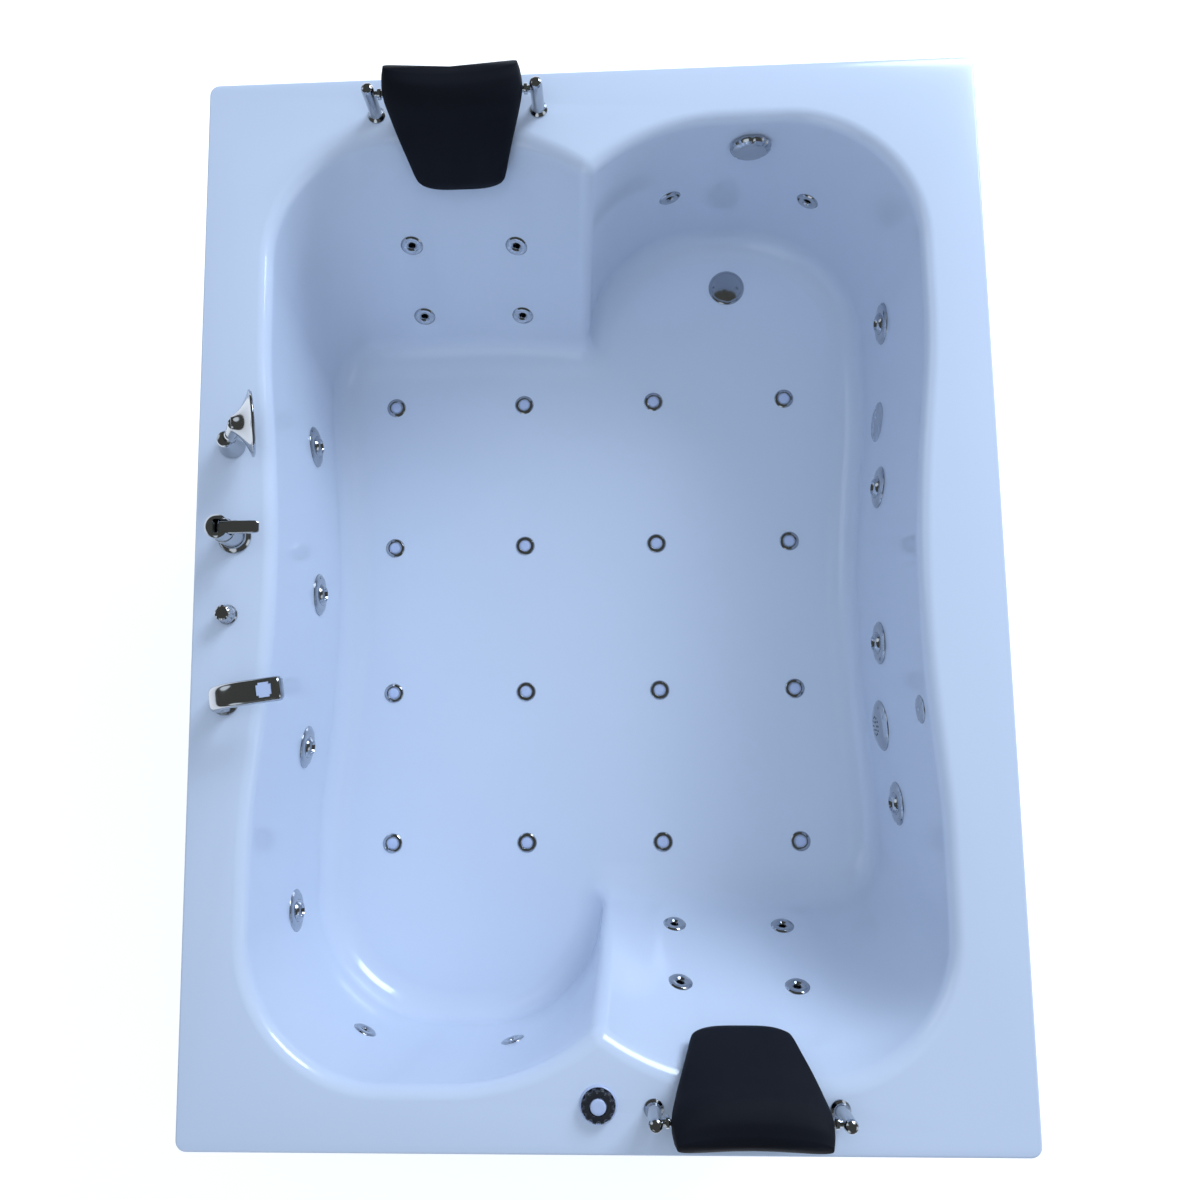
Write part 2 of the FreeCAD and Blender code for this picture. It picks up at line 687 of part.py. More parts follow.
def rounded_slab(half_x, half_y, radius, low, high):
    """A slab with rounded corners."""
    slab = block((-half_x, -half_y, low), (half_x, half_y, high))
    upright = [edge for edge in slab.Edges if abs(edge.tangentAt(edge.FirstParameter).z) > 0.9]
    return slab.makeFillet(radius, upright)


def flute_tool(x):
    """Rounded tool for a shallow flute down the backrest at x, as thin as the flute."""
    radius = (FLUTE_WIDTH ** 2 / 4 + FLUTE_DEPTH ** 2) / (2 * FLUTE_DEPTH)
    top, normal = wall_place(x, 0.0, 0.0, 1.0, FLUTE_TOP_DEPTH + FLUTE_WIDTH / 2)
    bottom, _ = wall_place(x, 0.0, 0.0, 1.0, FLUTE_FLOOR_DEPTH - FLUTE_WIDTH / 2)
    lift = normal * (radius - FLUTE_DEPTH)
    way = bottom - top
    bar = Part.makeCylinder(radius, way.Length, top + lift, way)
    ends = [Part.makeSphere(radius, point + lift) for point in (top, bottom)]
    reach = way.Length / 2 + FLUTE_WIDTH
    skin = block((-FLUTE_WIDTH, -reach, -2 * FLUTE_DEPTH), (FLUTE_WIDTH, reach, 1.0))
    return fused([bar] + ends).common(aim(skin, (top + bottom) / 2, normal))


def wall_cutters(place, hole, seat, back_seat):
    """Hole through the wall, and the flats that a fitting seats on inside and behind."""
    point, normal = place
    back = SHELL_WALL - SEAT_SINK
    return [
        rod(hole, -SHELL_WALL - STACK, STACK, point, normal),
        rod(seat, -SEAT_SINK, STACK, point, normal),
        rod(back_seat, -back - STACK, -back, point, normal),
    ]


def floor_cutters(place, hole):
    """Plain hole through the flat floor or deck."""
    point, normal = place
    return [rod(hole, -SHELL_WALL - STACK, STACK, point, normal)]


def make_shell():
    """Deck, rolled edge, basin and lip as one moulding with its holes."""
    slab = rounded_slab(HALF_WIDTH, HALF_LENGTH, RIM_CORNER_RADIUS, DECK_UNDER, RIM_HEIGHT)
    slab = slab.makeFillet(SHELL_WALL * 0.6, [
        edge for edge in slab.Edges
        if edge.BoundBox.ZMin > RIM_HEIGHT - 0.001
    ])
    skirt = rounded_slab(HALF_WIDTH, HALF_LENGTH, RIM_CORNER_RADIUS, RIM_HEIGHT - LIP_DROP, DECK_UNDER)
    inside = rounded_slab(HALF_WIDTH - LIP_WALL, HALF_LENGTH - LIP_WALL,
                          RIM_CORNER_RADIUS - LIP_WALL, RIM_HEIGHT - LIP_DROP, DECK_UNDER)
    shell = fused([slab, skirt.cut(inside), basin(SHELL_WALL)])
    shell = shell.cut(basin(0.0))
    flutes = [flute_tool(-x) for x in BACK_JET_COLUMNS]
    flutes += [half_turn(tool) for tool in flutes]
    shell = shell.cut(flutes)
    cutters = []
    for place in SIDE_JETS:
        cutters += wall_cutters(place, JET_TAIL_RADIUS + HOLE_CLEARANCE,
                                JET_BEZEL_RADIUS + HOLE_CLEARANCE, JET_BODY_FLANGE + HOLE_CLEARANCE)
    for place in BACK_JETS + FOOT_JETS:
        cutters += wall_cutters(place, MICRO_TAIL_RADIUS + HOLE_CLEARANCE,
                                MICRO_BEZEL_RADIUS + HOLE_CLEARANCE, MICRO_BODY_RADIUS + HOLE_CLEARANCE)
    for place, tail, flange, back in (
            (SUCTION, SUCTION_TAIL_RADIUS, SUCTION_RADIUS, SUCTION_TAIL_RADIUS + 8),
            (LIGHT, LIGHT_TAIL_RADIUS, LIGHT_RADIUS, LIGHT_TAIL_RADIUS + 8),
            (SENSOR, SENSOR_TAIL_RADIUS, SENSOR_RADIUS, SENSOR_TAIL_RADIUS + 8),
            (OVERFLOW, OVERFLOW_TAIL_RADIUS, OVERFLOW_RADIUS, OVERFLOW_TAIL_RADIUS + 8)):
        cutters += wall_cutters(place, tail + HOLE_CLEARANCE, flange + HOLE_CLEARANCE, back + HOLE_CLEARANCE)
    for place in AIR_JETS:
        cutters += floor_cutters(place, AIR_TAIL_RADIUS + HOLE_CLEARANCE)
    cutters += floor_cutters(WASTE, WASTE_TAIL_RADIUS + HOLE_CLEARANCE)
    for point in [MIXER, DIVERTER, SPOUT, SHOWER, DIAL] + REST_POSTS:
        cutters += floor_cutters((point, UP), DECK_TAIL_RADIUS + HOLE_CLEARANCE)
    return shell.cut(cutters)


# ------------------------------------------------------------------ frame
def tube(low, high, way):
    """A square tube between two corners, open at its ends along X, Y or Z."""
    bore_low = [a if axis == way else a + TUBE_WALL for axis, a in zip("XYZ", low)]
    bore_high = [b if axis == way else b - TUBE_WALL for axis, b in zip("XYZ", high)]
    return block(low, high).cut(block(bore_low, bore_high))


def foot_places():
    """Where the levelling feet stand, under the long rails."""
    return [
        Vector(side * SIDE_RAIL_X, row, 0)
        for side in (-1, 1)
        for row in (-END_RAIL_Y, -MID_RAIL_Y, MID_RAIL_Y, END_RAIL_Y)
    ]


def make_frame():
    """Long rails, cross rails, uprights and the blocks under the floor."""
    half = TUBE_SIZE / 2
    long_rails = []
    for side in (-1, 1):
        rail = tube((side * SIDE_RAIL_X - half, -END_RAIL_Y - half, RAIL_BOTTOM),
                    (side * SIDE_RAIL_X + half, END_RAIL_Y + half, RAIL_TOP), "Y")
        for foot in foot_places():
            rail = rail.cut(rod(FOOT_STUD_RADIUS + PUSH_CLEARANCE, RAIL_BOTTOM - 1,
                                RAIL_BOTTOM + TUBE_WALL + 1, foot))
        long_rails.append(rail)
    save("long_rails", *long_rails)
    reach = SIDE_RAIL_X - half
    rows = (-END_RAIL_Y, -OUTER_RAIL_Y, -MID_RAIL_Y, 0.0, MID_RAIL_Y, OUTER_RAIL_Y, END_RAIL_Y)
    save("cross_rails", *[
        tube((-reach, row - half, RAIL_BOTTOM), (reach, row + half, RAIL_TOP), "X") for row in rows
    ])
    posts = [(side * SIDE_RAIL_X, end * END_RAIL_Y) for side in (-1, 1) for end in (-1, 1)]
    posts += [(SIDE_RAIL_X, RIGHT_POST_Y), (-SIDE_RAIL_X, LEFT_POST_Y)]
    posts += [(END_POST_X, END_RAIL_Y), (-END_POST_X, -END_RAIL_Y)]
    save("uprights", *[
        tube((x - half, y - half, RAIL_TOP), (x + half, y + half, DECK_UNDER), "Z") for x, y in posts
    ])
    spots = [(x, y) for x in BEARER_COLUMNS for y in (-MID_RAIL_Y, 0.0, MID_RAIL_Y)]
    for end in (-1, 1):
        for shift in (-OUTER_BEARER_OFFSET, OUTER_BEARER_OFFSET):
            spots.append((end * WASTE_X + shift, end * OUTER_RAIL_Y))
    wide = BEARER_WIDTH / 2
    save("floor_bearers", *[
        block((x - wide, y - half, RAIL_TOP), (x + wide, y + half, FLOOR_UNDER)) for x, y in spots
    ])
    boards = []
    for x, end in ((PUMP_X, -1), (BLOWER_X, 1)):
        low_y, high_y = sorted((end * (OUTER_RAIL_Y - half), end * (END_RAIL_Y + half)))
        boards.append(block((x - BOARD_WIDTH / 2, low_y, RAIL_TOP), (x + BOARD_WIDTH / 2, high_y, BOARD_TOP)))
    save("equipment_boards", *boards)


def hexagon(across, low, high, hole):
    """A hexagon nut with a plain bore."""
    corner = across / math.sqrt(3)
    points = [
        Vector(corner * math.cos(math.radians(60 * step)), corner * math.sin(math.radians(60 * step)), low)
        for step in range(7)
    ]
    nut = Part.Face(Part.makePolygon(points)).extrude(Vector(0, 0, high - low))
    return nut.cut(rod(hole, low - 1, high + 1))


def make_feet():
    """Levelling feet on threaded studs, and their lock nuts under the rails."""
    feet = []
    nuts = []
    for place in foot_places():
        foot = turned([
            (0, 0), (FOOT_PAD_RADIUS, 0), (FOOT_PAD_RADIUS, FOOT_PAD_THICK / 2),
            (FOOT_STUD_RADIUS * 2, FOOT_PAD_THICK + 4), (FOOT_STUD_RADIUS, FOOT_PAD_THICK + 4),
            (FOOT_STUD_RADIUS, RAIL_BOTTOM + FOOT_STUD_ABOVE), (0, RAIL_BOTTOM + FOOT_STUD_ABOVE),
        ], place)
        feet.append(foot)
        bore = FOOT_STUD_RADIUS + SHAFT_CLEARANCE
        nut = hexagon(FOOT_NUT_ACROSS, RAIL_BOTTOM - FOOT_NUT_THICK, RAIL_BOTTOM, bore)
        nuts.append(aim(nut, place, UP))
    save("levelling_feet", *feet)
    save("foot_nuts", *nuts)


# ------------------------------------------------------------------ jets
def header_point(place):
    """Point of the side header above a side jet's body."""
    point = behind(place, JET_BODY_FROM_WALL)
    return Vector(point.x, point.y, HEADER_HEIGHT)


def make_side_jets(headers):
    """Bezels, bodies and turning nozzles of the side jets."""
    bezels = []
    bodies = []
    back = SHELL_WALL - SEAT_SINK + SEAL_THICK
    for number, (point, normal) in enumerate(SIDE_JETS, 1):
        bezel = turned([
            (0, -JET_TAIL_LENGTH), (JET_TAIL_RADIUS, -JET_TAIL_LENGTH), (JET_TAIL_RADIUS, -SEAT_SINK),
            (JET_BEZEL_RADIUS, -SEAT_SINK), (JET_BEZEL_RADIUS, JET_BEZEL_THICK * 0.3),
            (JET_BEZEL_RADIUS - 4, JET_BEZEL_THICK * 0.8), (JET_BEZEL_RADIUS - 9, JET_BEZEL_THICK),
            (0, JET_BEZEL_THICK),
        ])
        socket = Part.makeSphere(JET_BALL_RADIUS + RUN_CLEARANCE, Vector(0, 0, -JET_BALL_SINK))
        bore = rod(JET_BALL_RADIUS - 3, -JET_TAIL_LENGTH - 1, -JET_BALL_SINK)
        bezels.append(aim(bezel.cut([socket, bore]), point, normal))
        ball = Part.makeSphere(JET_BALL_RADIUS, Vector(0, 0, -JET_BALL_SINK))
        ball = ball.common(rod(JET_BALL_RADIUS + 1, -JET_BALL_SINK - JET_BALL_BACK, JET_BALL_FRONT))
        flare = Part.makeCone(JET_NOZZLE_BORE, JET_NOZZLE_BORE + 3, 6, Vector(0, 0, JET_BALL_FRONT - 6), UP)
        ball = ball.cut([rod(JET_NOZZLE_BORE, -JET_BALL_SINK - JET_BALL_RADIUS, JET_BALL_FRONT), flare])
        save("jet_nozzle_%d" % number, aim(ball, point, normal))
        end = back + JET_BODY_LENGTH
        body = turned([
            (JET_TAIL_RADIUS + THREAD_CLEARANCE, -back), (JET_BODY_FLANGE, -back),
            (JET_BODY_FLANGE, -back - 5),
            (JET_BODY_RADIUS, -back - 5), (JET_BODY_RADIUS, -end), (0, -end), (0, -end + 4),
            (JET_TAIL_RADIUS + THREAD_CLEARANCE, -end + 4),
        ], point, normal)
        middle = behind((point, normal), JET_BODY_FROM_WALL)
        top = HEADER_HEIGHT - middle.z
        spigot = rod(JET_SPIGOT_RADIUS, JET_BODY_RADIUS - 3, top, middle)
        water = rod(JET_SPIGOT_RADIUS - 2.5, JET_BODY_RADIUS - 8, top, middle)
        bodies.append(body.fuse(spigot).cut([water] + headers))
    save("side_jet_bezels", *bezels)
    save("side_jet_bodies", *bodies)


def make_seals():
    """Rubber washers behind the side jets and under the waste."""
    back = SHELL_WALL - SEAT_SINK
    seals = [
        rod(JET_BODY_FLANGE, -back - SEAL_THICK, -back, point, normal)
        .cut(rod(JET_TAIL_RADIUS + THREAD_CLEARANCE, -back - SEAL_THICK, -back, point, normal))
        for point, normal in SIDE_JETS
    ]
    point, normal = WASTE
    waste = rod(WASTE_BODY_RADIUS, -SHELL_WALL - SEAL_THICK, -SHELL_WALL, point, normal)
    hole = rod(WASTE_TAIL_RADIUS + THREAD_CLEARANCE, -SHELL_WALL - SEAL_THICK, -SHELL_WALL, point, normal)
    save("seals", *seals, waste.cut(hole))


def make_small_jets(headers):
    """Fixed jets in the backrests and foot wells, with their bodies."""
    bezels = []
    bodies = []
    back = SHELL_WALL - SEAT_SINK
    end = back + MICRO_BODY_LENGTH
    for place in BACK_JETS + FOOT_JETS:
        point, normal = place
        bezels.append(turned([
            (MICRO_BORE, -MICRO_TAIL_LENGTH), (MICRO_TAIL_RADIUS, -MICRO_TAIL_LENGTH),
            (MICRO_TAIL_RADIUS, -SEAT_SINK), (MICRO_BEZEL_RADIUS, -SEAT_SINK),
            (MICRO_BEZEL_RADIUS, MICRO_BEZEL_THICK * 0.3), (MICRO_BEZEL_RADIUS - 4, MICRO_BEZEL_THICK),
            (MICRO_BORE + 4, MICRO_BEZEL_THICK), (MICRO_BORE, MICRO_BEZEL_THICK * 0.4),
        ], point, normal))
        body = turned([
            (MICRO_TAIL_RADIUS + THREAD_CLEARANCE, -back), (MICRO_BODY_RADIUS, -back),
            (MICRO_BODY_RADIUS, -end),
            (MICRO_BORE, -end), (MICRO_BORE, -end + 5), (MICRO_TAIL_RADIUS + THREAD_CLEARANCE, -end + 5),
        ], point, normal)
        bodies.append(body.cut(headers))
    save("small_jet_bezels", *bezels)
    save("small_jet_bodies", *bodies)


def header_routes():
    """Routes of the two long headers and of the two pipes behind the lower back jets."""
    routes = []
    lower = []
    for end, side_jets, back_jets, foot_jets in (
            (-1, sorted(SIDE_JETS[:4], key=lambda place: -place[0].y), BACK_JETS[4:], FOOT_JETS[:2]),
            (1, sorted(SIDE_JETS[4:], key=lambda place: place[0].y), BACK_JETS[:4], FOOT_JETS[2:])):
        side = -end
        first, second = [small_pipe_point(place) for place in foot_jets]
        run_in = (first - second).normalize() * HEADER_RUN_OUT
        along = [header_point(place) for place in side_jets]
        lane = side * HEADER_LANE_X
        upper = small_pipe_point(back_jets[0])
        deep = small_pipe_point(back_jets[2])
        points = [first + run_in, second, Vector(lane, -end * FOOT_CORNER_Y, HEADER_HEIGHT)] + along
        points += [
            Vector(lane, end * SEAT_CORNER_Y, HEADER_HEIGHT),
            Vector(lane, upper.y, upper.z),
            Vector(side * HEADER_END_X, upper.y, upper.z),
        ]
        routes.append(points)
        share = (abs(deep.y) - SEAT_CORNER_Y) / (abs(upper.y) - SEAT_CORNER_Y)
        meeting = HEADER_HEIGHT + (upper.z - HEADER_HEIGHT) * share
        lower.append([
            Vector(side * HEADER_END_X, deep.y, deep.z),
            Vector(lane, deep.y, deep.z),
            Vector(lane, deep.y, meeting),
        ])
    return routes, lower


def make_headers():
    """Water pipes round the tub, and the riser from the pump; gives the cutting bars."""
    routes, lower = header_routes()
    bars = [bent_bar(points, HEADER_RADIUS, HEADER_BEND) for points in routes]
    pipes = [bent_pipe(points, HEADER_RADIUS, PIPE_WALL, HEADER_BEND) for points in routes]
    low_bars = [bent_bar(points, HEADER_RADIUS, HEADER_BEND).cut(bars) for points in lower]
    low_pipes = [
        bent_pipe(points, HEADER_RADIUS, PIPE_WALL, HEADER_BEND).cut(bars) for points in lower
    ]
    header = small_pipe_point(BACK_JETS[4])
    riser = Vector(PUMP_PORT_X, header.y, 0)
    stack = rod(HEADER_RADIUS, PUMP_PORT_TOP, header.z, riser)
    hole = rod(HEADER_RADIUS - PIPE_WALL, PUMP_PORT_TOP, header.z, riser)
    low_pipes.append(stack.cut([hole] + bars))
    save("jet_headers", *pipes, *low_pipes)
    return bars + low_bars


def make_air():
    """Floor air jets, and the air pipes from the blower to them."""
    caps = []
    bodies = []
    pipe_height = FLOOR_UNDER - AIR_PIPE_BELOW
    columns = sorted({point.x for point, _ in AIR_JETS})
    rows = sorted({point.y for point, _ in AIR_JETS})
    across = Vector(1, 0, 0)
    header = Vector(0, AIR_HEADER_Y, pipe_height)
    left = columns[0] - HEADER_RUN_OUT
    right = columns[-1] + HEADER_RUN_OUT
    outer = [rod(HEADER_RADIUS, left, right, header, across)]
    inner = [rod(HEADER_RADIUS - PIPE_WALL, left + PIPE_WALL, right - PIPE_WALL, header, across)]
    for x in columns:
        start = Vector(x, 0, pipe_height)
        outer.append(rod(AIR_PIPE_RADIUS, rows[0] - HEADER_RUN_OUT, AIR_HEADER_Y, start, Vector(0, 1, 0)))
        inner.append(rod(AIR_PIPE_RADIUS - AIR_PIPE_WALL, rows[0] - HEADER_RUN_OUT + AIR_PIPE_WALL,
                         AIR_HEADER_Y, start, Vector(0, 1, 0)))
    feed_end = BLOWER_Y - BLOWER_RADIUS - RUN_CLEARANCE
    feed = Vector(BLOWER_X, 0, pipe_height)
    outer.append(rod(HEADER_RADIUS, AIR_HEADER_Y, feed_end, feed, Vector(0, 1, 0)))
    inner.append(rod(HEADER_RADIUS - PIPE_WALL, AIR_HEADER_Y, feed_end + 1, feed, Vector(0, 1, 0)))
    solid_pipes = fused(outer)
    save("air_pipes", solid_pipes.cut(inner))
    body_end = -SHELL_WALL - AIR_PIPE_BELOW
    for point, normal in AIR_JETS:
        caps.append(turned([
            (0, AIR_CAP_THICK), (AIR_CAP_RADIUS - 6, AIR_CAP_THICK), (AIR_CAP_RADIUS, 1.0),
            (AIR_CAP_RADIUS, 0),
            (AIR_TAIL_RADIUS, 0), (AIR_TAIL_RADIUS, -AIR_TAIL_LENGTH),
            (AIR_TAIL_RADIUS - 3, -AIR_TAIL_LENGTH),
            (AIR_TAIL_RADIUS - 3, AIR_CAP_THICK - 2), (0, AIR_CAP_THICK - 2),
        ], point, normal))
        body = turned([
            (AIR_TAIL_RADIUS + THREAD_CLEARANCE, -SHELL_WALL), (AIR_BODY_RADIUS, -SHELL_WALL),
            (AIR_BODY_RADIUS, body_end), (0, body_end), (0, -SHELL_WALL - 11),
            (AIR_TAIL_RADIUS + THREAD_CLEARANCE, -SHELL_WALL - 11),
        ], point, normal)
        bodies.append(body.cut(solid_pipes))
    save("air_jet_caps", *caps)
    save("air_jet_bodies", *bodies)


# ------------------------------------------------------------------ wall fittings
def make_suction():
    """Domed suction cover, and its body with the pipe to the pump."""
    point, normal = SUCTION
    cover = turned([
        (0, 12), (20, 11), (36, 7), (SUCTION_RADIUS - 3, 3), (SUCTION_RADIUS, 1),
        (SUCTION_RADIUS, -SEAT_SINK),
        (SUCTION_TAIL_RADIUS, -SEAT_SINK), (SUCTION_TAIL_RADIUS, -16), (SUCTION_TAIL_RADIUS - 3, -16),
        (SUCTION_TAIL_RADIUS - 3, 2), (0, 6),
    ])
    slots = []
    for ring, count in ((9.0, 6), (17.0, 10)):
        slots += ring_of(rod(2.4, 0, 20, Vector(ring, 0, 0)), count)
    save("suction_cover", aim(cover.cut(slots), point, normal))
    back = SHELL_WALL - SEAT_SINK
    start = behind(SUCTION, back)
    pump_axis = BOARD_TOP + PUMP_AXIS_ABOVE_BOARD
    route = [
        start, Vector(HEADER_LANE_X, start.y, start.z),
        Vector(HEADER_LANE_X, start.y, pump_axis), Vector(HEADER_LANE_X, PUMP_Y, pump_axis),
        Vector(PUMP_INLET_X, PUMP_Y, pump_axis),
    ]
    pipe = bent_pipe(route, SUCTION_PIPE_RADIUS, PIPE_WALL, SUCTION_BEND)
    flange = turned([
        (SUCTION_TAIL_RADIUS + THREAD_CLEARANCE, -back), (SUCTION_TAIL_RADIUS + 8, -back),
        (SUCTION_TAIL_RADIUS + 8, -back - 12), (SUCTION_PIPE_RADIUS - PIPE_WALL, -back - 12),
        (SUCTION_PIPE_RADIUS - PIPE_WALL, -back - 9.5), (SUCTION_TAIL_RADIUS + THREAD_CLEARANCE, -back - 9.5),
    ], point, normal)
    clear = rod(SUCTION_TAIL_RADIUS + THREAD_CLEARANCE, -back - 9.5, 20, point, normal)
    save("suction_pipe", flange.fuse(pipe.cut([clear, wall_slab(SUCTION)])))


def wall_slab(place):
    """A tool that takes away what lies on the basin's side of a fitting's back seat."""
    point, normal = place
    return rod(SUCTION_RADIUS, -SHELL_WALL + SEAT_SINK, 40, point, normal)


def make_light():
    """Underwater light: lens with its ring, and the lamp housing behind the wall."""
    point, normal = LIGHT
    back = SHELL_WALL - SEAT_SINK
    save("light_lens", turned([
        (0, 7), (LIGHT_RADIUS * 0.5, 6), (LIGHT_RADIUS - 5, 4), (LIGHT_RADIUS, 2), (LIGHT_RADIUS, -SEAT_SINK),
        (LIGHT_TAIL_RADIUS, -SEAT_SINK), (LIGHT_TAIL_RADIUS, -18), (LIGHT_TAIL_RADIUS - 3, -18),
        (LIGHT_TAIL_RADIUS - 3, 1), (0, 3),
    ], point, normal))
    save("light_housing", turned([
        (LIGHT_TAIL_RADIUS + THREAD_CLEARANCE, -back), (LIGHT_TAIL_RADIUS + 8, -back),
        (LIGHT_TAIL_RADIUS + 8, -back - 8), (LIGHT_TAIL_RADIUS + 4, -back - 8), (LIGHT_TAIL_RADIUS + 2, -46),
        (8, -46), (8, -58), (0, -58), (0, -42), (LIGHT_TAIL_RADIUS - 4, -42), (LIGHT_TAIL_RADIUS - 4, -20),
        (LIGHT_TAIL_RADIUS + THREAD_CLEARANCE, -20),
    ], point, normal))


def make_sensor():
    """Water level sensor: a small round plate with its stem and nut."""
    point, normal = SENSOR
    back = SHELL_WALL - SEAT_SINK
    plate = turned([
        (0, 3), (SENSOR_RADIUS - 5, 3), (SENSOR_RADIUS, 1), (SENSOR_RADIUS, -SEAT_SINK),
        (SENSOR_TAIL_RADIUS, -SEAT_SINK), (SENSOR_TAIL_RADIUS, -28), (0, -28),
    ], point, normal)
    nut = turned([
        (SENSOR_TAIL_RADIUS + SHAFT_CLEARANCE, -back), (SENSOR_TAIL_RADIUS + 7, -back),
        (SENSOR_TAIL_RADIUS + 7, -back - 8), (SENSOR_TAIL_RADIUS + SHAFT_CLEARANCE, -back - 8),
    ], point, normal)
    save("level_sensor", plate, nut)


# ------------------------------------------------------------------ waste and overflow
def make_waste():
    """Waste flange, pop-up plug, body with its tee, overflow and outlet."""
    point, normal = WASTE
    pipe_height = FLOOR_UNDER - WASTE_PIPE_BELOW
    stem_hole = PLUG_STEM_RADIUS + PUSH_CLEARANCE
    flange = turned([
        (WASTE_PLUG_RADIUS - 3, 0), (WASTE_FLANGE_RADIUS, 0), (WASTE_FLANGE_RADIUS, 1.5),
        (WASTE_FLANGE_RADIUS - 3, WASTE_FLANGE_THICK), (WASTE_PLUG_RADIUS - 1, WASTE_FLANGE_THICK),
        (WASTE_TAIL_RADIUS - 4, 1), (WASTE_TAIL_RADIUS - 4, -14), (WASTE_TAIL_RADIUS, -14),
        (WASTE_TAIL_RADIUS, 0),
    ], point, normal)
    bridge = block((-WASTE_TAIL_RADIUS + 2, -3, -12), (WASTE_TAIL_RADIUS - 2, 3, -8))
    guide = rod(PLUG_STEM_RADIUS + 3, -14, -6)
    bridge = aim(bridge.fuse(guide).cut(rod(stem_hole, -20, 0)), point, normal)
    save("waste_flange", flange.fuse(bridge))
    save("waste_plug", turned([
        (0, WASTE_FLANGE_THICK + 5), (WASTE_PLUG_RADIUS - 12, WASTE_FLANGE_THICK + 4.2),
        (WASTE_PLUG_RADIUS, WASTE_FLANGE_THICK + 1.5),
        (WASTE_PLUG_RADIUS, WASTE_FLANGE_THICK + RUN_CLEARANCE),
        (PLUG_STEM_RADIUS, WASTE_FLANGE_THICK + RUN_CLEARANCE), (PLUG_STEM_RADIUS, -22), (0, -22),
    ], point, normal))
    low = pipe_height - FLOOR_TOP
    under = -SHELL_WALL - SEAL_THICK
    inside = WASTE_TAIL_RADIUS + THREAD_CLEARANCE
    bore = WASTE_PIPE_RADIUS - WASTE_PIPE_WALL
    cup_under = low - WASTE_PIPE_RADIUS - WASTE_CUP_BELOW
    cup_floor = cup_under + WASTE_PIPE_WALL
    body = turned([
        (inside, under), (WASTE_BODY_RADIUS, under), (WASTE_BODY_RADIUS, cup_under), (0, cup_under),
        (0, cup_floor), (inside, cup_floor),
    ], point, normal)
    centre = Vector(point.x, point.y, pipe_height)
    along = Vector(1, 0, 0)
    reach = WASTE_OUTLET_X - point.x
    collar_end = reach - WASTE_SPIGOT
    outlet = rod(WASTE_PIPE_BODY_RADIUS, 0, collar_end, centre, along)
    collar = rod(WASTE_COLLAR_RADIUS, collar_end - WASTE_COLLAR_LENGTH, collar_end, centre, along)
    spigot = rod(WASTE_PIPE_RADIUS, collar_end - WASTE_COLLAR_LENGTH, reach, centre, along)
    core = rod(inside, cup_floor, under, point)
    tee = fused([body, outlet.cut(core), collar, spigot])
    outlet_bore = rod(bore, 0, reach, centre, along)
    overflow_bore = rod(bore, 0, 2 * WASTE_BODY_RADIUS, centre, Vector(0, 1, 0))
    save("waste_body", tee.cut([outlet_bore, overflow_bore]))
    make_overflow(centre, rod(WASTE_BODY_RADIUS, cup_under, under, point))


def make_overflow(tee_centre, tee_bar):
    """Overflow with its turning knob, elbow and the pipe down to the waste's tee."""
    wall, normal = OVERFLOW
    back = SHELL_WALL - SEAT_SINK
    start = behind(OVERFLOW, back)
    route = [
        start,
        Vector(start.x, OVERFLOW_DROP_Y, start.z),
        Vector(start.x, OVERFLOW_DROP_Y, tee_centre.z),
        tee_centre,
    ]
    bore = WASTE_PIPE_RADIUS - WASTE_PIPE_WALL
    pipe = bent_pipe(route, WASTE_PIPE_RADIUS, WASTE_PIPE_WALL, WASTE_BEND)
    inside = OVERFLOW_TAIL_RADIUS + THREAD_CLEARANCE
    outside = OVERFLOW_TAIL_RADIUS + 8
    opening = bore + WASTE_PIPE_WALL / 2
    elbow = turned([
        (inside, -back), (outside, -back), (outside, -back - 14), (opening, -back - 14),
        (opening, -back - 10), (inside, -back - 10),
    ], wall, normal)
    front = rod(OVERFLOW_RADIUS, -back - 12, 40, wall, normal)
    save("overflow_pipe", elbow.fuse(pipe.cut([front, tee_bar])))
    knob = turned([
        (0, 16), (OVERFLOW_RADIUS - 10, 15), (OVERFLOW_RADIUS - 2, 11), (OVERFLOW_RADIUS, 7),
        (OVERFLOW_RADIUS, 3), (OVERFLOW_RADIUS - 4, RUN_CLEARANCE), (OVERFLOW_TAIL_RADIUS - 1, RUN_CLEARANCE),
        (OVERFLOW_TAIL_RADIUS - 1, -8), (0, -8),
    ])
    grip = rod(4, 2, 30, Vector(OVERFLOW_RADIUS + 1.5, 0, 0))
    grips = ring_of(grip, OVERFLOW_SLOTS)
    save("overflow_knob", aim(knob.cut(grips), wall, normal))


# ------------------------------------------------------------------ taps
def deck_tail(place):
    """Threaded stem through the deck."""
    return rod(DECK_TAIL_RADIUS, -SHELL_WALL - DECK_TAIL_LENGTH, 0, place)


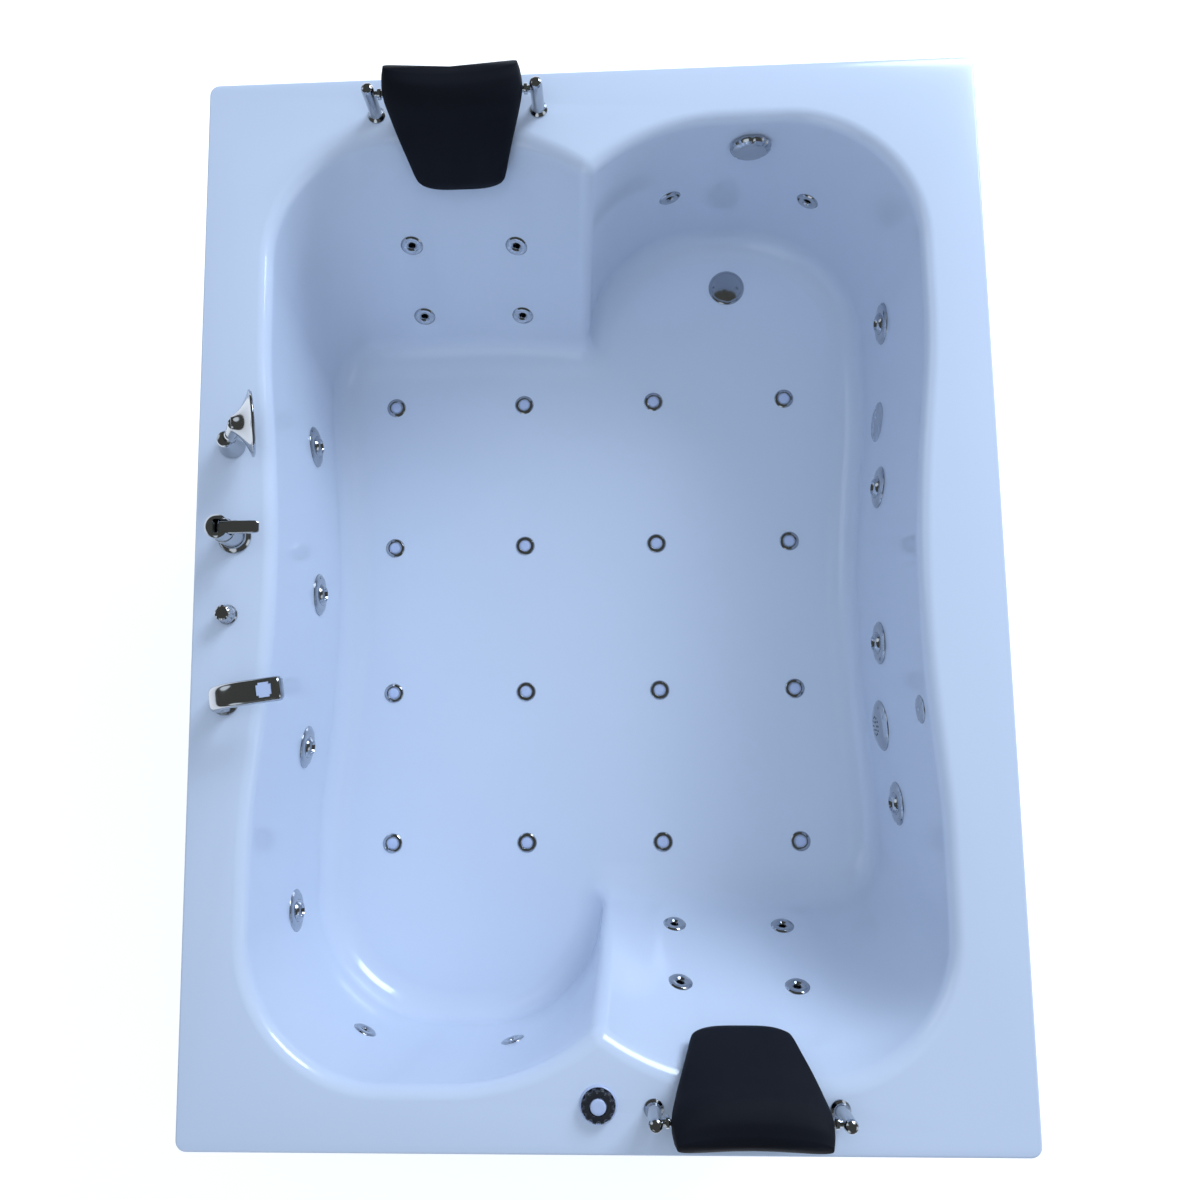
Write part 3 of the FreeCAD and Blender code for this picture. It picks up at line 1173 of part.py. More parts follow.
def make_mixer():
    """Single-lever mixer: base, turning cap and lifting lever."""
    body_top = MIXER_BODY_HEIGHT
    base = turned([
        (0, 0), (MIXER_BASE_RADIUS, 0), (MIXER_BASE_RADIUS, 3), (MIXER_BASE_RADIUS - 3, 6),
        (MIXER_BODY_RADIUS, 6), (MIXER_BODY_RADIUS, body_top), (0, body_top),
    ], MIXER)
    socket = rod(CARTRIDGE_RADIUS + SHAFT_CLEARANCE, body_top - 16, body_top, MIXER)
    save("mixer_base", base.fuse(deck_tail(MIXER)).cut(socket))
    low = body_top + RUN_CLEARANCE
    top = low + MIXER_CAP_HEIGHT
    cap = turned([
        (0, body_top - 14), (CARTRIDGE_RADIUS, body_top - 14), (CARTRIDGE_RADIUS, low),
        (MIXER_CAP_RADIUS, low),
        (MIXER_CAP_RADIUS, top - 3), (MIXER_CAP_RADIUS - 3, top), (0, top),
    ])
    pivot = Vector(LEVER_PIVOT_X, 0, low + LEVER_PIVOT_UP)
    half = LEVER_WIDTH / 2
    slot = block((LEVER_PIVOT_X - LEVER_BOSS_RADIUS - 1, -half - RUN_CLEARANCE, low + 5),
                 (MIXER_CAP_RADIUS + 1, half + RUN_CLEARANCE, top + 1))
    pin_start = pivot - Vector(0, half + 3, 0)
    pin = Part.makeCylinder(LEVER_PIN_RADIUS, LEVER_WIDTH + 6, pin_start, Vector(0, 1, 0))
    cap = cap.cut(slot).fuse(pin)
    save("mixer_cap", aim(cap, MIXER, UP))
    boss = Part.makeCylinder(LEVER_BOSS_RADIUS, LEVER_WIDTH, pivot - Vector(0, half, 0), Vector(0, 1, 0))
    thin = LEVER_THICK / 2
    arm = block((LEVER_PIVOT_X, -half, pivot.z - thin), (LEVER_LENGTH, half, pivot.z + thin))
    ends = [edge for edge in arm.Edges if edge.CenterOfMass.x > LEVER_LENGTH - 0.1]
    arm = arm.makeFillet(LEVER_THICK * 0.3, ends)
    lever = arm.fuse(boss).cut(
        Part.makeCylinder(LEVER_PIN_RADIUS + SHAFT_CLEARANCE, LEVER_WIDTH + 8, pivot - Vector(0, half + 4, 0),
                          Vector(0, 1, 0)))
    save("mixer_lever", aim(lever, MIXER, UP))


def make_deck_valves():
    """Brass bodies under the deck for the mixer and the diverter, and their pipes."""
    low = -SHELL_WALL - VALVE_DROP
    hole = DECK_TAIL_RADIUS + SHAFT_CLEARANCE
    mixer = rod(VALVE_RADIUS, low, -SHELL_WALL, MIXER)
    tails = []
    for side in (-1, 1):
        place = MIXER + Vector(0, side * TAIL_SPACING / 2, 0)
        tails.append(rod(TAIL_THREAD_RADIUS, low - TAIL_LENGTH, low, place))
    shoulder = block((-TAIL_THREAD_RADIUS - 2, -TAIL_SPACING / 2 - 13, low),
                     (TAIL_THREAD_RADIUS + 2, TAIL_SPACING / 2 + 13, low + 16))
    shoulder = aim(shoulder, MIXER, UP)
    mixer = fused([mixer, shoulder] + tails)
    bores = [rod(hole, -SHELL_WALL - 16, 0, MIXER)]
    for side in (-1, 1):
        place = MIXER + Vector(0, side * TAIL_SPACING / 2, 0)
        bores.append(rod(TAIL_THREAD_RADIUS - 3, low - TAIL_LENGTH - 1, low + 8, place))
    mixer = mixer.cut(bores)
    diverter = rod(VALVE_RADIUS - 2, low + 20, -SHELL_WALL, DIVERTER)
    neck = rod(DECK_TAIL_RADIUS, -SHELL_WALL, 0, DIVERTER)
    diverter = diverter.fuse(neck).cut(rod(KNOB_STEM_RADIUS + SHAFT_CLEARANCE, -SHELL_WALL - 30, 1, DIVERTER))
    save("deck_valves", mixer, diverter)
    make_supply_pipes()


def make_supply_pipes():
    """Pipes under the deck: mixer to diverter, diverter to spout and to hand shower."""
    high = DECK_UNDER - SUPPLY_PIPE_DROP
    low = DECK_UNDER - SHOWER_PIPE_DROP
    top = DECK_UNDER - DECK_TAIL_LENGTH - PUSH_CLEARANCE
    routes = (
        [Vector(MIXER.x, MIXER.y, high), Vector(DIVERTER.x, DIVERTER.y, high)],
        [Vector(DIVERTER.x, DIVERTER.y, high), Vector(SPOUT.x, SPOUT.y, high), Vector(SPOUT.x, SPOUT.y, top)],
        [
            Vector(DIVERTER.x, DIVERTER.y, low),
            Vector(SHOWER_PIPE_X, DIVERTER.y + SHOWER_PIPE_CORNERS[0], low),
            Vector(SHOWER_PIPE_X, SHOWER.y - SHOWER_PIPE_CORNERS[1], low),
            Vector(SHOWER.x, SHOWER.y, low),
            Vector(SHOWER.x, SHOWER.y, top),
        ],
    )
    bodies = [valve_bar(MIXER), valve_bar(DIVERTER)]
    save("supply_pipes", *[
        bent_pipe(route, SUPPLY_PIPE_RADIUS, 1.5, SUPPLY_BEND).cut(bodies) for route in routes
    ])


def valve_bar(place):
    """The round outside of a valve body, to trim pipes against."""
    radius = VALVE_RADIUS if place is MIXER else VALVE_RADIUS - 2
    return rod(radius, -SHELL_WALL - VALVE_DROP, -SHELL_WALL, place)


def make_diverter():
    """Diverter knob on its stem."""
    knob = turned([
        (0, RUN_CLEARANCE), (KNOB_RADIUS, RUN_CLEARANCE), (KNOB_RADIUS, 4), (KNOB_RADIUS - 3, 6),
        (KNOB_RADIUS - 3, KNOB_HEIGHT - 8), (KNOB_RADIUS - 5, KNOB_HEIGHT - 2), (0, KNOB_HEIGHT),
    ])
    stem = rod(KNOB_STEM_RADIUS, -SHELL_WALL - 24, 1)
    grips = ring_of(rod(2.0, 7, KNOB_HEIGHT + 5, Vector(KNOB_RADIUS - 2, 0, 0)), KNOB_GRIPS)
    save("diverter_knob", aim(knob.fuse(stem).cut(grips), DIVERTER, UP))


def rounded_outline(half_x, half_y, radius, height):
    """Wire of a rectangle with rounded corners, level at a height."""
    edges = []
    corners = [(1, 1), (-1, 1), (-1, -1), (1, -1)]
    for index, (side_x, side_y) in enumerate(corners):
        centre = Vector(side_x * (half_x - radius), side_y * (half_y - radius), height)
        angle = 90 * index
        points = [
            centre + Vector(radius * math.cos(math.radians(a)), radius * math.sin(math.radians(a)), 0)
            for a in (angle, angle + 45, angle + 90)
        ]
        edges.append(Part.Arc(*points).toShape())
    wires = []
    for index, edge in enumerate(edges):
        wires.append(edge)
        following = edges[(index + 1) % 4]
        wires.append(Part.LineSegment(edge.Vertexes[-1].Point, following.Vertexes[0].Point).toShape())
    return Part.Wire(wires)


def make_spout():
    """Broad spout that rises from the deck and bends over the basin."""
    rise = SPOUT_HEIGHT - SPOUT_THICK / 2
    start = Vector(0, 0, 0)
    corner = Vector(0, 0, rise)
    tip = Vector(SPOUT_REACH, 0, rise - SPOUT_FALL)
    out = (tip - corner).normalize()
    turn = UP.getAngle(out)
    tangent = SPOUT_BEND * math.tan(turn / 2)
    first = corner - UP * tangent
    last = corner + out * tangent
    middle = corner + (out - UP).normalize() * (SPOUT_BEND / math.cos(turn / 2) - SPOUT_BEND)
    path = Part.Wire([
        Part.LineSegment(start, first).toShape(), Part.Arc(first, middle, last).toShape(),
        Part.LineSegment(last, tip).toShape(),
    ])
    sweep = Part.BRepOffsetAPI.MakePipeShell(path)
    sweep.add(rounded_outline(SPOUT_THICK / 2, SPOUT_WIDTH / 2, SPOUT_THICK * 0.42, 0), False, False)
    sweep.build()
    sweep.makeSolid()
    arch = sweep.shape()
    base = turned([
        (0, 0), (SPOUT_BASE_RADIUS, 0), (SPOUT_BASE_RADIUS, 4), (SPOUT_BASE_RADIUS - 3, 7), (0, 7),
    ])
    mouth_end = SPOUT_REACH - SPOUT_MOUTH_FROM_TIP
    mouth_half = SPOUT_WIDTH / 2 - SPOUT_MOUTH_WALL
    mouth = block((mouth_end - SPOUT_MOUTH_LENGTH, -mouth_half, rise - SPOUT_FALL - SPOUT_THICK),
                  (mouth_end, mouth_half, rise - SPOUT_FALL - SPOUT_MOUTH_ROOF))
    spout = arch.fuse(base).cut(mouth)
    spout.rotate(Vector(0, 0, 0), UP, SPOUT_TURN)
    save("spout", aim(spout, SPOUT, UP).fuse(deck_tail(SPOUT)))


def make_hand_shower():
    """Holder on the deck and the hand shower that stands in it."""
    way = Vector(*HANDLE_WAY).normalize()
    seat = SHOWER + Vector(0, 0, HOLDER_HEIGHT * 0.55)
    holder = turned([
        (0, RUN_CLEARANCE), (HOLDER_RADIUS, RUN_CLEARANCE), (HOLDER_RADIUS, 4), (HOLDER_RADIUS - 3, 14),
        (HOLDER_RADIUS - 7, HOLDER_HEIGHT * 0.8), (HOLDER_RADIUS - 11, HOLDER_HEIGHT), (0, HOLDER_HEIGHT),
    ], SHOWER)
    holder = holder.fuse(rod(HOLDER_STEM_RADIUS, -SHELL_WALL - 13, RUN_CLEARANCE + 1, SHOWER))
    holder = holder.cut(rod(HANDLE_RADIUS + RUN_CLEARANCE, 0, 80, seat, way))
    save("shower_holder", holder)
    neck = seat + way * HANDLE_LENGTH
    handle = Part.makeCone(HANDLE_RADIUS, HANDLE_RADIUS - 1.5, HANDLE_LENGTH - RUN_CLEARANCE,
                           seat + way * RUN_CLEARANCE, way)
    face_way = Vector(*HEAD_WAY).normalize()
    head = turned([
        (0, -HEAD_DEPTH), (HANDLE_RADIUS + 2, -HEAD_DEPTH), (HEAD_RADIUS * 0.45, -HEAD_DEPTH * 0.62),
        (HEAD_RADIUS * 0.8, -HEAD_DEPTH * 0.3), (HEAD_RADIUS, -6), (HEAD_RADIUS, -1), (HEAD_RADIUS - 2, 0),
        (HEAD_RADIUS - 5, 0), (HEAD_RADIUS - 6, -2), (0, -2),
    ], neck + face_way * HEAD_DEPTH * 0.8, face_way)
    holes = []
    for ring, count in ((14.0, 6), (28.0, 12), (41.0, 18)):
        holes += ring_of(rod(1.2, -5, 1, Vector(ring, 0, 0)), count)
    holes = [aim(hole, neck + face_way * HEAD_DEPTH * 0.8, face_way) for hole in holes]
    elbow = Part.makeSphere(HANDLE_RADIUS + 1.0, neck)
    save("hand_shower", fused([handle, elbow, head]).cut(Part.makeCompound(holes)))


def make_dial():
    """Air dial on the foot deck: bezel, fluted ring and button in its middle."""
    bezel = turned([
        (DIAL_STEM_BORE, 0), (DIAL_BEZEL_RADIUS, 0), (DIAL_BEZEL_RADIUS, 3), (DIAL_BEZEL_RADIUS - 2, 5),
        (DIAL_RING_RADIUS + RUN_CLEARANCE, 5), (DIAL_RING_RADIUS + RUN_CLEARANCE, 2), (DIAL_STEM_BORE, 2),
    ], DIAL)
    stem_bore = rod(DIAL_STEM_BORE, -SHELL_WALL - 40, 2, DIAL)
    tail = rod(DECK_TAIL_RADIUS, -SHELL_WALL - DIAL_CAN_DEPTH - 2, 1, DIAL).cut(stem_bore)
    can = turned([
        (DECK_TAIL_RADIUS, -SHELL_WALL), (DIAL_CAN_RADIUS, -SHELL_WALL),
        (DIAL_CAN_RADIUS, -SHELL_WALL - DIAL_CAN_DEPTH), (DECK_TAIL_RADIUS, -SHELL_WALL - DIAL_CAN_DEPTH),
    ], DIAL)
    save("dial_bezel", fused([bezel, tail, can]))
    low = 2 + RUN_CLEARANCE
    bore = DIAL_BUTTON_RADIUS + DIAL_BUTTON_GAP
    ring = turned([
        (bore, low), (DIAL_RING_RADIUS, low), (DIAL_RING_RADIUS, DIAL_HEIGHT - 3),
        (DIAL_RING_RADIUS - 3, DIAL_HEIGHT), (bore, DIAL_HEIGHT),
    ])
    flutes = ring_of(rod(4.0, 5.5, DIAL_HEIGHT + 5, Vector(DIAL_RING_RADIUS + 0.5, 0, 0)), DIAL_FLUTES)
    save("dial_ring", aim(ring.cut(flutes), DIAL, UP))
    stem = DIAL_STEM_BORE - SHAFT_CLEARANCE
    stem_end = -SHELL_WALL - DIAL_STEM_LENGTH
    under = 2 + BUTTON_TRAVEL + 1
    save("dial_button", turned([
        (0, stem_end), (stem, stem_end), (stem, under), (DIAL_BUTTON_RADIUS, under),
        (DIAL_BUTTON_RADIUS, DIAL_HEIGHT), (DIAL_BUTTON_RADIUS - 2, DIAL_HEIGHT + 1.5), (0, DIAL_HEIGHT + 2),
    ], DIAL))


def make_deck_nuts():
    """Nuts under the deck for the spout and the headrest posts."""
    nuts = []
    for place in [SPOUT] + REST_POSTS:
        nut = hexagon(2 * DECK_NUT_RADIUS * 0.87, -SHELL_WALL - DECK_NUT_THICK, -SHELL_WALL,
                      DECK_TAIL_RADIUS + SHAFT_CLEARANCE)
        nuts.append(aim(nut, place, UP))
    save("deck_nuts", *nuts)


# ------------------------------------------------------------------ headrests
def make_headrests():
    """Brackets with their rods, and the moulded pads that hang on the rods."""
    brackets = []
    for first, second in ((REST_POSTS[0], REST_POSTS[1]), (REST_POSTS[2], REST_POSTS[3])):
        pieces = []
        for post in (first, second):
            pieces.append(turned([
                (0, 0), (REST_FLANGE_RADIUS, 0), (REST_FLANGE_RADIUS, 2), (REST_POST_RADIUS, 6),
                (REST_POST_RADIUS, REST_POST_HEIGHT - 6), (REST_POST_RADIUS - 3, REST_POST_HEIGHT - 1),
                (0, REST_POST_HEIGHT),
            ], post))
            pieces.append(deck_tail(post))
        lift = Vector(0, 0, REST_ROD_HEIGHT)
        span = second - first
        pieces.append(Part.makeCylinder(REST_ROD_RADIUS, span.Length, first + lift, span))
        brackets.append(fused(pieces))
    save("headrest_brackets", *brackets)
    pad = headrest_pad()
    save("headrest_1", half_turn(pad))
    save("headrest_2", pad)


def headrest_pad():
    """Pad at -Y: a thick roll on the rod, thinning to a flap that lies on the backrest.

    Sections are (distance down the slope, offset up from it, width, thickness).
    """
    place = Vector(REST_CENTRE_X, REST_POSTS[2].y, RIM_HEIGHT + REST_ROD_HEIGHT)
    slope = math.radians(REST_SLOPE)
    down = Vector(0, math.cos(slope), -math.sin(slope))
    off = Vector(0, math.sin(slope), math.cos(slope))
    wires = []
    for along, rise, width, thick in REST_SECTIONS:
        wire = rounded_outline(width / 2, thick / 2, thick * 0.46, 0)
        turn = FreeCAD.Rotation(Vector(1, 0, 0), off, down * -1, "ZXY")
        wire.Placement = FreeCAD.Placement(place + down * along + off * rise, turn)
        wires.append(wire)
    pad = Part.makeLoft(wires, True, False)
    bore = Part.makeCylinder(REST_ROD_RADIUS + SHAFT_CLEARANCE, REST_POST_SPACING,
                             place - Vector(REST_POST_SPACING / 2, 0, 0), Vector(1, 0, 0))
    return pad.cut(bore)


# ------------------------------------------------------------------ pump and blower
def make_pump():
    """Pump with its wet end, motor, fan cover and the rotor that turns in them."""
    height = BOARD_TOP + PUMP_AXIS_ABOVE_BOARD
    face = Vector(PUMP_FACE_X, PUMP_Y, height)
    along = Vector(1, 0, 0)
    shaft_hole = PUMP_SHAFT_RADIUS + SHAFT_CLEARANCE
    wide = VOLUTE_WIDTH
    volute = turned([
        (shaft_hole, 0), (VOLUTE_RADIUS - 6, 0), (VOLUTE_RADIUS, 6), (VOLUTE_RADIUS, wide - 6),
        (VOLUTE_RADIUS - 6, wide), (PUMP_PORT_RADIUS, wide), (PUMP_PORT_RADIUS, PUMP_INLET_X - PUMP_FACE_X),
        (PUMP_PORT_RADIUS - 5, PUMP_INLET_X - PUMP_FACE_X), (PUMP_PORT_RADIUS - 5, wide - 6),
        (VOLUTE_RADIUS - 12, wide - 6), (VOLUTE_RADIUS - 6, wide - 12), (VOLUTE_RADIUS - 6, 12),
        (VOLUTE_RADIUS - 12, 6), (shaft_hole, 6),
    ], face, along)
    port = Vector(PUMP_PORT_X, PUMP_Y, 0)
    stub = rod(HEADER_RADIUS + 6, height + VOLUTE_RADIUS - 4.5, PUMP_PORT_TOP, port)
    stub_bore = rod(HEADER_RADIUS - PIPE_WALL, height + VOLUTE_RADIUS - 20, PUMP_PORT_TOP, port)
    foot = block((PUMP_FACE_X + 6, PUMP_Y - 50, BOARD_TOP),
                 (PUMP_FACE_X + wide - 6, PUMP_Y + 50, height - VOLUTE_RADIUS + 12))
    foot = foot.cut(rod(VOLUTE_RADIUS - 3, -10, wide + 10, face, along))
    save("pump_wet_end", fused([volute, stub, foot]).cut(stub_bore))
    length = MOTOR_LENGTH
    motor = turned([
        (shaft_hole, -length), (MOTOR_RADIUS - 8, -length), (MOTOR_RADIUS, -length + 8), (MOTOR_RADIUS, -8),
        (MOTOR_RADIUS - 8, 0), (shaft_hole, 0), (shaft_hole, -10), (STATOR_BORE, -10),
        (STATOR_BORE, -length + 10),
        (shaft_hole, -length + 10),
    ], face, along)
    fins = []
    for step in range(MOTOR_FINS):
        fin = block((MOTOR_RADIUS - 2, -1.5, -length + 20), (MOTOR_RADIUS + 5, 1.5, -20))
        fin.rotate(Vector(0, 0, 0), UP, 360.0 * (step + 0.5) / MOTOR_FINS)
        fins.append(aim(fin, face, along))
    cradle = block((PUMP_FACE_X - length + 40, PUMP_Y - 45, BOARD_TOP),
                   (PUMP_FACE_X - 50, PUMP_Y + 45, height - MOTOR_RADIUS + 14))
    cradle = cradle.cut(rod(MOTOR_RADIUS - 2, -length, 0, face, along))
    save("pump_motor", fused([motor, cradle] + fins))
    tail = -length
    cover = turned([
        (0, tail - FAN_COVER_LENGTH), (MOTOR_RADIUS - 10, tail - FAN_COVER_LENGTH),
        (MOTOR_RADIUS - 4, tail - FAN_COVER_LENGTH + 6), (MOTOR_RADIUS - 4, tail + 2),
        (MOTOR_RADIUS - 7, tail + 2), (MOTOR_RADIUS - 7, tail - FAN_COVER_LENGTH + 7),
        (MOTOR_RADIUS - 12, tail - FAN_COVER_LENGTH + 3), (0, tail - FAN_COVER_LENGTH + 3),
    ])
    slots = []
    for radius in (14.0, 24.0, 34.0, 44.0):
        count = int(radius / 2.4)
        slot = rod(2.2, tail - FAN_COVER_LENGTH - 2, tail - FAN_COVER_LENGTH + 5, Vector(radius, 0, 0))
        slots += ring_of(slot, count)
    cover = cover.cut(slots)
    save("pump_fan_cover", aim(cover.cut(turned([
        (0, tail), (MOTOR_RADIUS - 8, tail), (MOTOR_RADIUS, tail + 8), (MOTOR_RADIUS, tail + 20),
        (0, tail + 20),
    ])), face, along))
    shaft = rod(PUMP_SHAFT_RADIUS, tail - 28, wide * 0.62)
    rotor = rod(ROTOR_RADIUS, -length + 35, -35)
    impeller = rod(IMPELLER_RADIUS, 12, 16)
    vane = block((PUMP_SHAFT_RADIUS - 3, -1.5, 15), (IMPELLER_RADIUS - 1, 1.5, 30))
    blade = block((10, -1, tail - 26), (FAN_RADIUS, 1, tail - 8))
    hub = rod(16, tail - 28, tail - 6)
    pieces = [shaft, rotor, impeller, hub]
    pieces += ring_of(vane, IMPELLER_VANES)
    pieces += ring_of(blade, FAN_BLADES)
    save("pump_rotor", aim(fused(pieces), face, along))
    box_x = PUMP_FACE_X - length / 2
    top = height + MOTOR_RADIUS + 4
    seat = height + math.sqrt(MOTOR_RADIUS ** 2 - TERMINAL_HALF_WIDTH ** 2)
    box = block((box_x - 42, PUMP_Y - TERMINAL_HALF_WIDTH, seat),
                (box_x + 42, PUMP_Y + TERMINAL_HALF_WIDTH, top + 34))
    gland = Part.makeCylinder(9, 18, Vector(box_x - 42 - 18, PUMP_Y, top + 14), along)
    gland_bore = Part.makeCylinder(5, 20, Vector(box_x - 42 - 19, PUMP_Y, top + 14), along)
    box = box.fuse(gland).cut([motor, gland_bore] + fins)
    save("terminal_box", box)


def make_blower():
    """Air blower: drum with its motor can, and the wheel that turns in it."""
    middle = Vector(BLOWER_X, BLOWER_Y, BOARD_TOP)
    shaft_hole = BLOWER_SHAFT_RADIUS + SHAFT_CLEARANCE
    high = BLOWER_HEIGHT
    top = high + BLOWER_MOTOR_HEIGHT
    wall = BLOWER_WALL
    housing = turned([
        (0, 0), (BLOWER_RADIUS, 0), (BLOWER_RADIUS, high - 8), (BLOWER_RADIUS - 8, high),
        (BLOWER_MOTOR_RADIUS, high),
        (BLOWER_MOTOR_RADIUS, top - 8), (BLOWER_MOTOR_RADIUS - 8, top), (0, top), (0, top - wall),
        (BLOWER_MOTOR_RADIUS - wall - 6, top - wall), (BLOWER_MOTOR_RADIUS - wall, top - 10),
        (BLOWER_MOTOR_RADIUS - wall, high), (shaft_hole, high), (shaft_hole, high - wall),
        (BLOWER_RADIUS - wall - 6, high - wall), (BLOWER_RADIUS - wall, high - 12),
        (BLOWER_RADIUS - wall, wall),
        (0, wall),
    ])
    vents = []
    for radius in (58.0, 68.0):
        vents += ring_of(rod(3.0, high - 10, high + 5, Vector(radius, 0, 0)), 18)
    housing = aim(housing.cut(vents), middle, UP)
    pipe_height = FLOOR_UNDER - AIR_PIPE_BELOW
    port_start = Vector(BLOWER_X, BLOWER_Y, pipe_height)
    port = rod(BLOWER_PORT_RADIUS - 3, BLOWER_RADIUS - 10, BLOWER_RADIUS + 14, port_start, Vector(0, -1, 0))
    bore = rod(HEADER_RADIUS + PUSH_CLEARANCE, BLOWER_RADIUS - 20, BLOWER_RADIUS + 20, port_start,
               Vector(0, -1, 0))
    drum = rod(BLOWER_RADIUS - wall, wall, high - 12, middle)
    housing = housing.fuse(port.cut(drum)).cut(bore)
    save("blower_housing", housing)
    shaft = rod(BLOWER_SHAFT_RADIUS, 16, top - 14)
    plate = rod(BLOWER_WHEEL_RADIUS, 30, 33)
    core = rod(28, high + 8, top - 16)
    vane = block((BLOWER_WHEEL_RADIUS - 26, -1, 32), (BLOWER_WHEEL_RADIUS, 1, high - 16))
    rim = turned([
        (BLOWER_WHEEL_RADIUS - 20, high - 18), (BLOWER_WHEEL_RADIUS, high - 18),
        (BLOWER_WHEEL_RADIUS, high - 15),
        (BLOWER_WHEEL_RADIUS - 20, high - 15),
    ])
    pieces = [shaft, plate, core, rim] + ring_of(vane, BLOWER_VANES)
    save("blower_wheel", aim(fused(pieces), middle, UP))


def make_control_box():
    """Control box on the end rail, with two cable glands."""
    half = CONTROL_SIZE[0] / 2
    low_y = END_RAIL_Y + TUBE_SIZE / 2 - CONTROL_SIZE[1]
    box = block((CONTROL_X - half, low_y, RAIL_TOP),
                (CONTROL_X + half, low_y + CONTROL_SIZE[1], RAIL_TOP + CONTROL_SIZE[2]))
    hollow = block((CONTROL_X - half + 3, low_y + 3, RAIL_TOP + 3),
                   (CONTROL_X + half - 3, low_y + CONTROL_SIZE[1] - 3, RAIL_TOP + CONTROL_SIZE[2] - 3))
    glands = []
    bores = []
    for shift in (-25, 25):
        start = Vector(CONTROL_X + shift, low_y + CONTROL_SIZE[1] / 2, RAIL_TOP + CONTROL_SIZE[2] - 2)
        glands.append(Part.makeCylinder(9, 18, start, UP))
        bores.append(Part.makeCylinder(5, 30, start - UP * 5, UP))
    save("control_box", fused([box.cut(hollow)] + glands).cut(bores))


def main():
    """Builds every piece of the tub."""
    os.makedirs("parts", exist_ok=True)
    make_frame()
    make_feet()
    headers = make_headers()
    make_side_jets(headers)
    make_small_jets(headers)
    make_seals()
    make_air()
    make_suction()
    make_light()
    make_sensor()
    make_waste()
    make_mixer()
    make_deck_valves()
    make_diverter()
    make_spout()
    make_hand_shower()
    make_dial()
    make_deck_nuts()
    make_headrests()
    make_pump()
    make_blower()
    make_control_box()
    save("tub_shell", make_shell())


if __name__ == "__main__":
    main()
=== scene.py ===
"""Looks of a two-person jetted bathtub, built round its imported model.

Sizes in the classes are millimetres, as on the maker's drawing. Meshes are in metres: X runs
across the tub, Y along it, Z up, and the origin is on the floor under the middle of the rim.
The shell is the same after a half turn about Z, so many pieces come in turned pairs.
"""

from __future__ import annotations

import logging
import math
from collections.abc import Callable, Sequence
from dataclasses import dataclass
from enum import Enum, IntEnum

import bmesh
import bpy
from mathutils import Matrix, Vector
from mathutils.geometry import tessellate_polygon

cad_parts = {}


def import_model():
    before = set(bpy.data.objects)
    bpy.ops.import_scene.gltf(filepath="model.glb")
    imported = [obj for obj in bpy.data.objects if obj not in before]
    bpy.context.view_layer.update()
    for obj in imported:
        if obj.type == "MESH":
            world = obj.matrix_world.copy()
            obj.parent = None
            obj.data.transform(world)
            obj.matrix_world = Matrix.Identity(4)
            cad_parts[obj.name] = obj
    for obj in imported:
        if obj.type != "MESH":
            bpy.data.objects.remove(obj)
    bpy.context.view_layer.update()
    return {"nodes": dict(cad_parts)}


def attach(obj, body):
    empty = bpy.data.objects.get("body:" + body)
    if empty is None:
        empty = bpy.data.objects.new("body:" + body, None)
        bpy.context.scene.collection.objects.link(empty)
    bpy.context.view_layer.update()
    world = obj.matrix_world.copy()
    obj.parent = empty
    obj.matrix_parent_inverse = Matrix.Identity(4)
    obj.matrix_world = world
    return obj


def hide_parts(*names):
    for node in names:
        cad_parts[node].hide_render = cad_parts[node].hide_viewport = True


LOG = logging.getLogger("bathtub")
MM = 0.001
TINY = 1e-6
LINE_TOLERANCE = 1e-9
SHARP_ANGLE = 32.0
UP = Vector((0.0, 0.0, 1.0))
ACROSS = Vector((1.0, 0.0, 0.0))
ALONG = Vector((0.0, 1.0, 0.0))
HOUSE_BODY = "tub"

Triple = tuple[float, float, float]
Profile = Sequence[tuple[float, float]]
Shape = bmesh.types.BMesh
Ring = Sequence[bmesh.types.BMVert]
Tree = bpy.types.NodeTree
Socket = bpy.types.NodeSocket


# ---- where things sit
@dataclass(frozen=True)
class Place:
    """A point on the tub in millimetres, and the unit vector that a fitting there faces."""

    point: Vector
    normal: Vector

    def turned(self) -> "Place":
        """The same place on the other end of the tub."""
        p, n = self.point, self.normal
        return Place(Vector((-p.x, -p.y, p.z)), Vector((-n.x, -n.y, n.z)))

    def sunk(self, distance: float) -> "Place":
        """The place moved into the wall by a distance."""
        return Place(self.point - self.normal * distance, self.normal)

    def rotation(self) -> Matrix:
        """Rotation that takes +Z to the normal."""
        return UP.rotation_difference(self.normal).to_matrix()

    def matrix(self, unit: float = MM) -> Matrix:
        """Placement that takes +Z to the normal, with lengths in metres unless unit says otherwise."""
        return Matrix.Translation(self.point * unit) @ self.rotation().to_4x4()


@dataclass(frozen=True)
class Arc:
    """A rounded corner of the basin's wall line; bulge is 1 where it rounds outwards, else -1."""

    start: Vector
    middle: Vector
    end: Vector
    centre: Vector
    radius: float
    bulge: float


